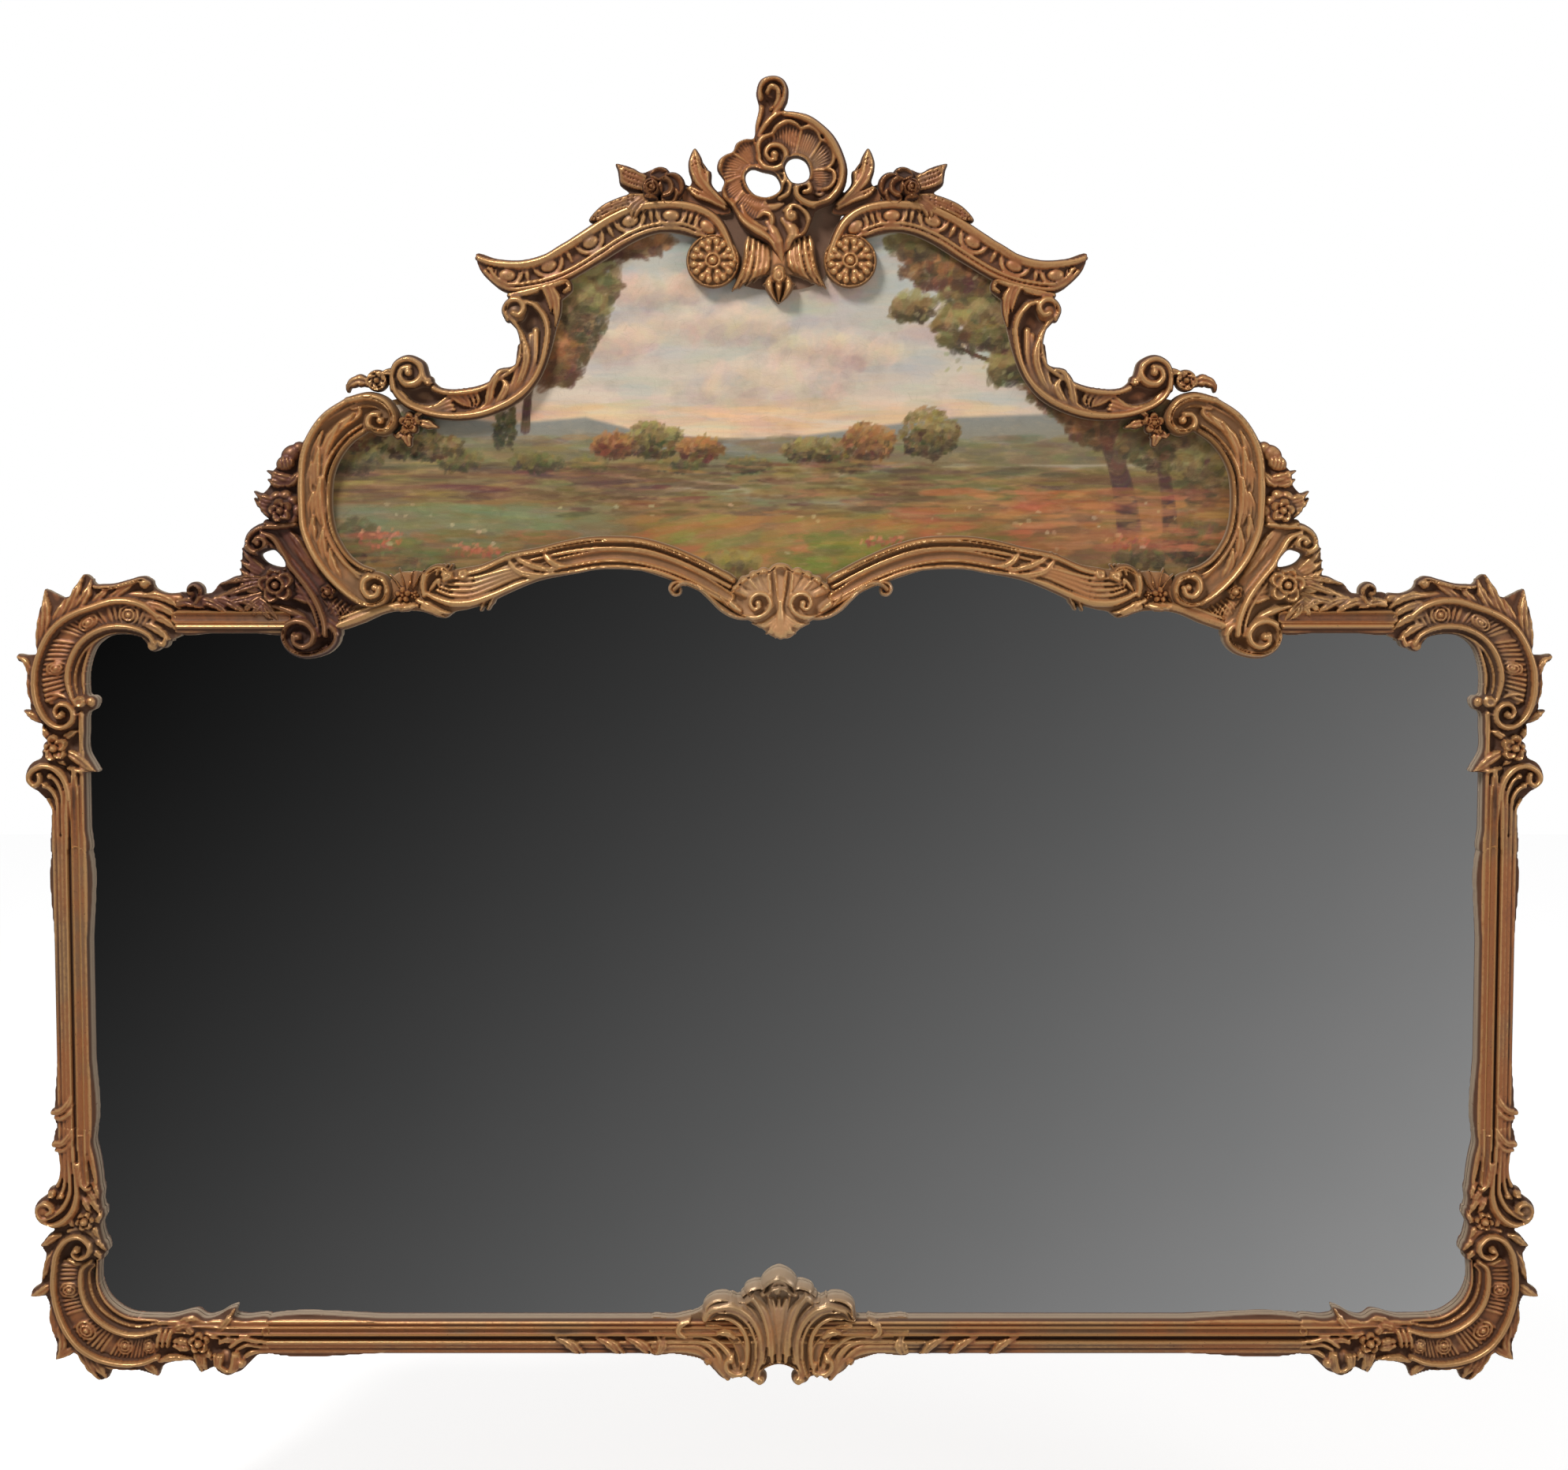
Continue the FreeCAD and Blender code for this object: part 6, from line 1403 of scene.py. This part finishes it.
# ---- crest leaves: upright leaves between the roses and the cartouche ----
# Two folded blades on each side, the taller one curling out at its tip.
leaf = Carving(-122, 1370, -54, 1462, 1)
leaf.ground("""-60,1378 -76,1376 -96,1385 -114,1388 -117,1402 -106,1412 -109,1426 -109,1438 -102,1452 -94,1441
    -91,1430 -83,1425 -82,1411 -72,1399 -64,1390""", 9)
leaf.fan("-68,1382 -86,1390 -102,1396 -114,1410", "-64,1384 -80,1396 -96,1404 -113,1411", 2, [14, 17, 17, 12],
    fill=0.96)
leaf.fan("-66,1386 -86,1398 -102,1412 -108,1426 -107,1438 -102,1452",
    "-64,1390 -74,1400 -83,1412 -85,1425 -93,1437 -101,1452", 4, [16, 19, 20, 18, 14], fill=0.98)
leaf.strokes(
    ("-66,1388 -82,1402 -94,1418 -98,1434 -102,1451", [2, 2.4, 2.2, 1.8, 1], [18, 22, 22, 21, 16], 1.2),
    ("-88,1402 -88,1412 -84,1422", [2, 2.4, 1], [18, 20, 17], 1.2),
    ("-94,1412 -103,1420 -108,1430", [2, 2.4, 1], [18, 20, 16], 1.2))
fit_pair(leaf, "crest_leaf", "crest_leaf", rim=6)


# ---- the crest: a pierced rocaille cartouche ----
# Two shells back to back, each a hollow of ribs within a scalloped rim: the right one inside a
# great C-scroll, the left one round its own opening. A tall curl tops it and an S-scroll ends it.
crest = Carving(-82, 1314, 80, 1540, 1)
CREST_EDGE = """-12,1534 0,1530 6,1519 5,1505 1,1495 14,1493 30,1489 45,1479 59,1465 69,1446 74,1426 70,1405
    56,1388 38,1380 33,1368 26,1353 13,1345 6,1330 0,1318 -8,1328 -18,1342 -35,1352 -50,1365 -60,1384 -70,1394
    -71,1404 -68,1414 -76,1427 -74,1438 -67,1444 -58,1448 -54,1457 -44,1462 -34,1463 -32,1478 -28,1498
    -31,1514 -26,1529"""
crest.ground(CREST_EDGE, 11)
crest.ground("""-28,1446 -29,1460 -12,1467 4,1480 20,1474 38,1472 46,1458 57,1446 52,1430 58,1418 48,1404
    34,1404 30,1412 33,1430 24,1441 10,1444 -8,1456 -20,1452""", 14.5)
crest.ground("""-30,1436 -34,1461 -54,1455 -70,1440 -73,1428 -67,1414 -70,1402 -62,1388 -48,1374 -30,1372
    -20,1390 -44,1400 -49,1415 -42,1430""", 14.5)
RIGHT_EYE = "2,1429 6,1438 15,1441 25,1437 30,1427 29,1417 20,1412 9,1414"
LEFT_EYE = "-43,1422 -36,1428 -24,1425 -10,1421 -4,1412 -4,1404 -12,1398 -22,1396 -34,1400 -42,1411"
SHELLS = [("-26,1446 -20,1456 -12,1458", "-27,1450 -22,1462 -13,1466", 4), ("-8,1456 4,1452 14,1446",
    "-12,1468 5,1481 20,1473", 7), ("16,1446 24,1444 30,1440", "22,1474 34,1474 43,1461", 6),
    ("32,1438 34,1432 35,1427", "44,1460 56,1450 52,1430", 6), ("35,1425 34,1416 30,1408",
    "52,1427 58,1418 48,1405", 6), ("-24,1430 -30,1432 -36,1432", "-34,1460 -46,1461 -57,1448", 6),
    ("-38,1432 -46,1426 -48,1420", "-59,1446 -71,1434 -67,1413", 7), ("-49,1418 -48,1410 -46,1404",
    "-67,1411 -69,1400 -61,1388", 6), ("-44,1400 -34,1393 -22,1391", "-58,1386 -46,1374 -30,1372", 8)]
for inner, outer, count in SHELLS:
    a, b = (resampled(p, 2 * count + 3) for p in (inner, outer))
    crest.stroke([a[0], (a[0] + b[0]) / 2, b[0]], [0.8, 1.2, 1.6], [14, 15.5, 18], 0.9)
    for k in range(1, 2 * count + 2, 2):
        crest.groove([a[k], (a[k] + b[k]) / 2, b[k]], [0.7, 1.1, 1.2], 1.9)
for rim in ("-26,1440 -29,1452 -24,1462 -13,1467", "-13,1467 -6,1476 5,1481 15,1478 20,1473",
        "20,1473 30,1475 39,1470 43,1461", "43,1461 52,1456 58,1446 57,1434 50,1428",
        "50,1428 58,1424 59,1414 53,1406 46,1404", "-34,1461 -46,1461 -54,1454 -58,1446",
        "-58,1446 -68,1441 -73,1430 -72,1418 -67,1412", "-67,1412 -70,1404 -66,1394 -61,1388",
        "-61,1388 -56,1379 -46,1372"):
    crest.stroke(rim, [1.8, 2.8, 3, 2.8, 1.8], [19, 21, 21, 19], 1.2)
crest.stroke(RIGHT_EYE, 4, 18, 1.1, closed=True)
crest.stroke(LEFT_EYE, 4, 18, 1.1, closed=True)
crest.strokes(
    ("""2,1490 22,1486 40,1476 54,1461 64,1443 69,1425 65,1407 53,1392 39,1386 27,1388 17,1395 15,1404 21,1410
     29,1409 30,1402 24,1400""", [4, 5, 5, 5, 5, 4.6, 4.4, 3.6, 3], [21, 24, 25, 25, 25, 26, 27, 28], 1.2),
    ("-28,1464 -20,1478 -8,1489 8,1492", [2.5, 3.2, 3, 2], [16, 19, 19, 17], 1.3),
    ("34,1400 44,1398 50,1406 48,1416", [2, 3, 3, 2], [15, 16, 15, 13], 1, blade))
crest.ball(-11, 1443, 14, 15)
crest.stroke("""-27,1452 -28,1440 -21,1430 -9,1428 1,1434 3,1445 -4,1453 -15,1453 -20,1445 -15,1437
    -8,1438""", [2.5, 3.2, 3.6, 3.6, 3.6, 3.6, 3.4, 3.2, 2.8, 2.2], [17, 18, 20, 21, 22, 22, 22, 22, 23, 23],
    1.3)
crest.ball(-10, 1443, 4.6, 25)
crest.ball(-30, 1429, 5, 17)
crest.strokes(
    ("2,1416 8,1410 6,1400 -4,1394", [2.5, 3.2, 3.2, 2.5], [16, 20, 20, 18], 1.3),
    ("-12,1400 -2,1408 2,1420 -6,1424", [2, 2.6, 2.6, 2], [16, 18, 18, 16], 1.3))
crest.ball(-12, 1516, 17, 17)
crest.strokes(
    ("-26,1508 -27,1520 -18,1529 -6,1529 3,1520 2,1508 -3,1500 -10,1490",
     [3.5, 4.5, 4.5, 4, 4, 4.5, 4.5, 3.5], [20, 23, 24, 25, 25, 24, 21, 18], 1.4),
    ("-18,1514 -14,1520 -6,1516 -6,1505 -14,1495", [2.4, 3.4, 3, 3, 2], [24, 26, 25, 21, 18], 1.3))
crest.groove("-20,1508 -14,1504 -12,1496", [1.5, 2.6, 1.8], [3, 5, 3])
crest.strokes(
    ("-26,1496 -30,1480 -31,1466", [4, 4.5, 3], [17, 16, 13]),
    ("-60,1392 -55,1378 -43,1364 -27,1354 -14,1344 -3,1328", [2.5, 5, 6, 6, 5, 2], [17, 21, 23, 24, 22, 16],
     1.1),
    ("-48,1386 -44,1374 -33,1364 -20,1358", [2, 4, 5, 3], [15, 18, 20, 20], 1.1),
    ("-30,1372 -22,1378 -14,1374 -14,1364 -20,1360", [2, 3.4, 3.6, 3.4, 2], [14, 17, 19, 18, 16], 1.2),
    ("-44,1392 -28,1384 -12,1384 0,1388", [3, 5, 5, 3], [13, 15, 15, 13], 0.8),
    ("-18,1366 -12,1356 -8,1346 -4,1334 -1,1320", [4, 7, 8, 5, 1.2], [16, 20, 21, 18, 14], 0.8),
    ("0,1370 8,1362 12,1352 6,1342 -2,1332", [4, 7, 8, 6, 2], [15, 19, 20, 18, 14], 0.8),
    ("2,1380 10,1386 20,1383 28,1374 29,1362 22,1352 12,1347", [2.5, 3, 3.4, 3.4, 3.4, 3],
     [18, 20, 21, 21, 20, 18], 1.3))
crest.volute(10, 1375, 10, 100, 1.4, 21, [], 0.34)
crest.trim(CREST_EDGE)
crest.pierce(RIGHT_EYE)
crest.pierce(LEFT_EYE)
fit(crest.build("crest_cartouche", "crest_cartouche", rim=11), "crest_cartouche")


# ---- the pendant: leaves that hang from the crest over the painting ----
# A fan of long blades on each side of a middle leaf, which carries an oval boss.
pendant = Carving(-66, 1268, 56, 1352)
pendant.ground("""-42,1350 -20,1343 8,1343 33,1350 38,1320 46,1294 34,1298 22,1303 10,1306 -20,1306 -32,1302
    -44,1297 -57,1291 -48,1320""", 10)
PENDANT_BLADES = [way("-18,1338 -18,1324 -20,1313 -26,1304"), way("-23,1342 -23,1324 -27,1310 -34,1299"),
    way("-28,1345 -29,1326 -33,1308 -43,1295"), way("-34,1348 -36,1328 -41,1308 -51,1292"),
    way("-40,1350 -43,1330 -48,1308 -59,1289")]
for k, path in enumerate(PENDANT_BLADES):
    for side in (1, -1):
        turned = [(-5.0 - side * (-5.0 - x), z + (1 - side) * 1.5) for x, z in path]
        pendant.stroke(turned, [2.4, 3.6, 3.8, 1], [12, 16 + k * 0.8, 18 + k * 0.6, 11], 1.1)
pendant.stroke("-5,1345 -5,1330 -5,1305", [8, 9, 10], [12, 14, 16], 0.4)
pendant.fan("-16,1306 -22,1297 -16,1285 -6,1274", "6,1306 12,1296 6,1284 -5,1274", 3, [16, 19, 20, 15],
    fill=1.05)
pendant.strokes(
    ("-10,1300 -18,1298 -23,1296", [3, 4.5, 1.5], [17, 19, 15]),
    ("0,1300 8,1298 13,1296", [3, 4.5, 1.5], [17, 19, 15]))
pendant.dish(-5, 1307, 8, 21, 2, 1.3, 90)
pendant.ball(-5, 1307, 6.5, 22, 0.7, 90)
fit(pendant.build("pendant_leaves", "pendant_leaves", rim=6, back=8), "pendant_leaves", GILDED_BRIGHT)


# ---- the crest board: what the crest and the arches are glued to ----
# A plain board behind the cartouche, sawn to run under the rims of the two arches.
board = Carving(-92, 1284, 86, 1412)
board.ground("""-86,1396 -66,1404 -30,1392 24,1392 58,1404 80,1396 68,1376 56,1345 48,1306 30,1294 -5,1290
    -40,1294 -57,1306 -66,1345 -77,1376""", 4)
# Its gilding is darkened all over as painted shade, for the ground that lies behind the cartouche and the
# arches.
fit(board.build("crest_backing", "crest_board", rim=6), "crest_board", GILDED_SHADED)


# ---- the painting: an open landscape in oils, on the panel ----
# A landscape without figures, dabbed on layer by layer from the sky to the trees in front. The
# colours lie on the sheet's points; the finish adds the drag of the brush, fine cracks and varnish.
canvas = Carving(-552, 930, 548, 1376, 1.65)
half_panel = way("""-4,942 -60,948 -100,966 -150,983 -200,988 -260,978 -320,962 -370,950 -430,942 -485,948
    -522,975 -542,1015 -546,1050 -541,1090 -520,1130 -488,1150 -430,1160 -380,1156 -330,1168 -300,1190
    -286,1220 -288,1256 -286,1290 -262,1312 -220,1338 -180,1362 -140,1370 -105,1360 -82,1336 -50,1322""")
canvas.ground(half_panel + [(2 * -2 - x, z) for x, z in half_panel[::-1]], 0.6)
VARNISH = 0.55
brush = np.random.default_rng(7)
paint = np.zeros(canvas.x.shape + (3,))


def palette(text):
    """Colours from their web names, two figures each for red, green and blue."""
    return [tuple(int(colour[k:k + 2], 16) for k in (0, 2, 4)) for colour in text.split()]


def shade(colour, spread_of=10):
    """A colour off the palette, never twice the same."""
    return np.array(colour, float) + brush.normal(0, spread_of, 3) * [1, 0.9, 0.8]


def dab(x, z, long, short, tilt, colour, cover=0.8):
    """One touch of the brush, soft at its ends and streaked along its length."""
    reach = int(long / canvas.step) + 2
    column, row = int((x - canvas.left) / canvas.step), int((z - canvas.low) / canvas.step)
    area = tuple(slice(max(0, at - reach), max(0, at + reach)) for at in (row, column))
    dx, dz = canvas.x[area] - x, canvas.z[area] - z
    c, s = math.cos(tilt), math.sin(tilt)
    along, across = (dx * c + dz * s) / long, (dz * c - dx * s) / short
    mask = np.clip(2.4 * (1.1 - along ** 2 - across ** 2), 0, 1) * cover
    mask = mask * (0.8 + 0.2 * np.sin(across * 9 + x))
    paint[area] += (np.array(colour) - paint[area]) * mask[..., None]


def below(line, colour_high, colour_low, depth, soft=2):
    """Washes in everything under a line, from one colour down to another."""
    edge = np.interp(canvas.x[0], *np.array(way(line)).T)[None, :]
    mask = np.clip((edge - canvas.z) / soft, 0, 1)[..., None]
    fall = np.clip((edge - canvas.z) / depth, 0, 1)[..., None]
    wash = np.array(colour_high) * (1 - fall) + np.array(colour_low) * fall
    paint[:] = paint * (1 - mask) + wash * mask


def streaks(count, x_range, z_range, colours, long, short, cover=0.4, tilt=0):
    colours = palette(colours)
    for _ in range(count):
        dab(brush.uniform(*x_range), brush.uniform(*z_range), brush.uniform(0.5, 1.4) * long,
            brush.uniform(0.6, 1.4) * short, tilt + brush.normal(0, 0.06),
            shade(colours[brush.integers(len(colours))]), cover)


def foliage(x, z, wide, tall, count, colours, size, cover=0.75, lean=0.6):
    """A mass of leaves: dabs in a rounded cloud, dark below and light above."""
    colours = palette(colours)
    for _ in range(count):
        angle, r = brush.uniform(0, 2 * np.pi), brush.uniform(0, 1) ** 0.6
        px, pz = x + wide * r * math.cos(angle), z + tall * r * math.sin(angle)
        light = np.clip(0.5 + 0.5 * math.sin(angle) * r + brush.normal(0, 0.2), 0, 0.999)
        colour = colours[int(light * len(colours))]
        dab(px, pz, brush.uniform(0.6, 1.5) * size, brush.uniform(0.35, 0.8) * size, brush.normal(lean, 0.7),
            shade(colour, 8), cover)


def trunk(points, half, colour):
    line = flow(points, spacing=3)
    for k in range(len(line) - 1):
        tilt = math.atan2(*(line[k + 1] - line[k])[::-1])
        width = float(spread(half, k / len(line)))
        dab(*line[k], max(6, width), width, tilt, shade(colour, 7), 0.9)


SKY_HIGH, SKY_LOW = (162, 176, 186), (216, 204, 190)
rise = np.clip((canvas.z - 1120) / 230, 0, 1)[..., None]
paint[:] = np.array(SKY_LOW) * (1 - rise) + np.array(SKY_HIGH) * rise
streaks(500, (-330, 330), (1120, 1370), "9eaab0 b4b4b0 beb0a6", 34, 9, 0.25)
for x, z, wide in ((-150, 1290, 60), (-70, 1250, 80), (40, 1300, 60), (-210, 1230, 60), (60, 1220, 70),
        (-20, 1180, 110)):
    foliage(x, z, wide, wide * 0.28, 130, "a69e9e bcaca2 cebcac d8ccbe", 15, 0.22, 0.1)
streaks(220, (-330, 260), (1110, 1160), "e2c4a4 ceb290 c4aa96", 40, 5, 0.3)
below("""-560,1128 -470,1142 -400,1150 -320,1138 -230,1146 -160,1128 -80,1120 20,1124 110,1136 200,1146
    320,1150 560,1140""", (128, 136, 138), (136, 134, 118), 40, 4)
below("""-560,1116 -480,1126 -390,1112 -300,1120 -210,1104 -120,1100 0,1098 90,1104 170,1118 260,1112 360,1126
    560,1118""", (116, 116, 96), (122, 112, 84), 30, 3)
streaks(420, (-550, 540), (1088, 1122), "707054 807450 68604c 8c7c54", 20, 4, 0.4)
below("-560,1090 -300,1088 0,1086 300,1090 560,1092", (156, 150, 132), (118, 122, 104), 46, 2)
streaks(420, (-300, 330), (1040, 1088), "a09c8c 868674 6e7260 b6a68c", 34, 2.4, 0.4)
streaks(120, (-300, 330), (1074, 1087), "605c48 6e6248", 24, 2.2, 0.45)
below("""-560,1096 -460,1090 -380,1078 -300,1066 -220,1058 -130,1050 -40,1042 60,1038 150,1042 230,1056
    300,1070 400,1080 560,1090""", (134, 116, 72), (120, 98, 62), 60, 3)
streaks(900, (-550, 545), (960, 1085), "967c4c 7c683e 686842 8e7048 707654", 34, 4.5, 0.35)
streaks(260, (-550, -150), (1050, 1090), "564038 68503e 968450", 46, 4, 0.4)
streaks(260, (120, 545), (1040, 1084), "564236 605436 8c7c4c", 40, 4, 0.4)
streaks(300, (-520, -200), (980, 1040), "6e7c62 787454 80846a", 32, 5, 0.35)
streaks(260, (-160, 200), (960, 1030), "a8764a b67e4c 967042 868842", 30, 6, 0.4, 0.15)
streaks(180, (0, 260), (960, 1010), "7e8a40 6c7c3a 606e34", 20, 5, 0.4)
streaks(200, (260, 520), (975, 1050), "8c6442 76543c 9c7446", 30, 5, 0.4)
for x in (-440, -424, -410, -330, -318):
    foliage(x, 1128 + 10 * math.sin(x), 6, 26, 70, "3a3c2a 484a30 62603e", 4.5, 0.7, 1.4)
for x, z, wide, tall in ((-500, 1096, 34, 18), (-376, 1094, 26, 12), (-286, 1092, 30, 10),
        (-226, 1088, 22, 8), (-120, 1090, 28, 7), (-40, 1088, 24, 6), (70, 1090, 30, 8)):
    foliage(x, z, wide, tall, 110, "3e3a2a 525034 6a643e 807448", 6, 0.6)
trunk("404,1010 396,1060 380,1110 352,1160 318,1200 276,1240 236,1280", [15, 11, 9, 7, 4], (84, 62, 54))
trunk("388,1085 398,1130 384,1180 352,1230", [9, 8, 6, 4], (92, 70, 58))
trunk("330,1190 290,1205 240,1210 200,1226", [6, 4, 3, 2], (88, 68, 54))
trunk("300,1216 288,1260 262,1300 214,1330", [5, 4, 3, 2], (88, 68, 54))
trunk("452,1000 448,1050 438,1100 420,1150", [10, 8, 7, 5], (78, 58, 50))
LEAVES = "3e3624 54482c 685c38 7e7046 968c5c"
RUST = "503826 704e30 8a623a a47e4e"
for x, z, wide, tall, count, hues in ((300, 1300, 110, 50, 700, RUST), (360, 1200, 90, 60, 600, LEAVES),
        (440, 1150, 70, 50, 420, RUST), (230, 1330, 90, 34, 420, LEAVES), (-262, 1250, 40, 70, 420, RUST),
        (-240, 1300, 50, 40, 300, LEAVES), (-190, 1345, 60, 18, 260, RUST), (250, 1290, 70, 46, 420, LEAVES),
        (190, 1320, 56, 30, 260, RUST), (300, 1230, 60, 44, 380, LEAVES), (220, 1250, 44, 30, 200, LEAVES),
        (380, 1150, 66, 40, 340, RUST), (450, 1120, 60, 40, 300, LEAVES), (160, 1345, 40, 18, 160, LEAVES),
        (330, 1180, 46, 26, 200, RUST), (500, 1080, 44, 40, 260, LEAVES), (150, 1270, 26, 16, 80, LEAVES),
        (262, 1200, 30, 16, 90, LEAVES), (420, 1190, 40, 24, 140, LEAVES)):
    foliage(x, z, wide, tall, count, hues, 8.5, 0.6)
streaks(60, (150, 400), (1180, 1340), "9e986c 969670", 4, 2.5, 0.6, 0.8)
foliage(-250, 1270, 46, 56, 300, LEAVES, 8, 0.6)
foliage(-270, 1215, 26, 40, 160, RUST, 8, 0.6)
trunk("-300,1130 -296,1170 -286,1210 -270,1250", [6, 5, 4, 2], (88, 68, 56))
for x, z, wide, tall, hues in ((-500, 1000, 30, 26, "3a3428 504c36 606042"), (-450, 985, 34, 18,
        "463a2c 60543c 686848"), (-390, 975, 30, 14, "4c422e 685c3e 74704c"), (480, 1000, 36, 30,
        "3e3426 584c32 70603c"), (420, 985, 34, 18, "423a28 5c5436 766842"), (-60, 975, 34, 12,
        "5c5432 7e7642 96884e")):
    foliage(x, z, wide, tall, 170, hues, 6.5, 0.65)
for x, z, wide, tall, count, hues in ((-150, 1118, 34, 20, 300, LEAVES), (-196, 1112, 26, 14, 200, RUST),
        (-96, 1108, 26, 13, 180, RUST), (40, 1106, 40, 14, 240, LEAVES), (100, 1116, 30, 22, 240, RUST),
        (170, 1126, 34, 30, 300, LEAVES), (-500, 1126, 40, 20, 260, RUST), (-420, 1110, 50, 14, 260, LEAVES)):
    foliage(x, z, wide, tall, count, hues, 5, 0.75)
streaks(240, (-260, 200), (1030, 1092), "5c4634 6e583c 967850", 22, 2.6, 0.5)
streaks(200, (150, 540), (990, 1060), "b0704a a06040 ba8458 785838", 26, 4, 0.5)
streaks(160, (-540, -250), (960, 1010), "78603c 646842 966e46", 24, 4, 0.5)
for x, z, wide, tall in ((-470, 1004, 26, 14), (-360, 990, 34, 8), (400, 1000, 26, 10), (120, 1000, 30, 6)):
    foliage(x, z, wide, tall, 40, "965442 b06850 c48868", 3.4, 0.7)
streaks(46, (-500, 500), (985, 1045), "bab08c c4b896", 3.2, 2, 0.6)
linear = np.clip(paint / 255, 0, 1) ** 2.2
canvas_piece = canvas.build("painting", None, layers=dict(zip(("red", "green", "blue"),
    np.moveaxis(linear, -1, 0))), closed=False)


def oils(name):
    """Oil paint: the colours on the sheet, dragged by the brush, cracked and varnished."""
    material, shader, start = new_material(name)
    place = start.node("NewGeometry", out="Position")
    red, green, blue = (start.node("Attribute", {"attribute_name": key}, out="Fac") for key in ("red",
        "green", "blue"))
    colour = start.node("CombineColor", Red=red, Green=green, Blue=blue)
    drag = place.noise(170.0, 5.0, 0.65, stretch=(0.35, 1.0, 1.0))
    cloud = place.noise(26.0, 5.0, 0.65)
    colour = ((drag - 0.52) * 0.6).clamp().mix(colour, srgb(214, 190, 150))
    colour = ((0.48 - cloud) * 0.8).clamp().mix(colour, srgb(70, 50, 34))
    cracks = start.node("TexVoronoi", {"feature": "DISTANCE_TO_EDGE"}, Vector=place, Scale=95.0)
    colour = ((1 - cracks.between(0.0, 0.02)) * 0.12).mix(colour, srgb(72, 58, 42))
    colour = colour.blend("MULTIPLY", VARNISH, srgb(255, 226, 190))
    weave = place.noise(900.0, 1.0, 0.4)
    feed(shader, Base_Color=colour, Roughness=drag * 0.15 + 0.42, Normal=start.node("Bump",
        Height=drag + weave * 0.3, Distance=0.0007, Strength=0.6))
    return material


OILS = oils("oil_painting")
canvas_piece.data.materials.append(OILS)
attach(canvas_piece, "root")
dress("painted_panel", pine("panel_back", 0, 0.2))
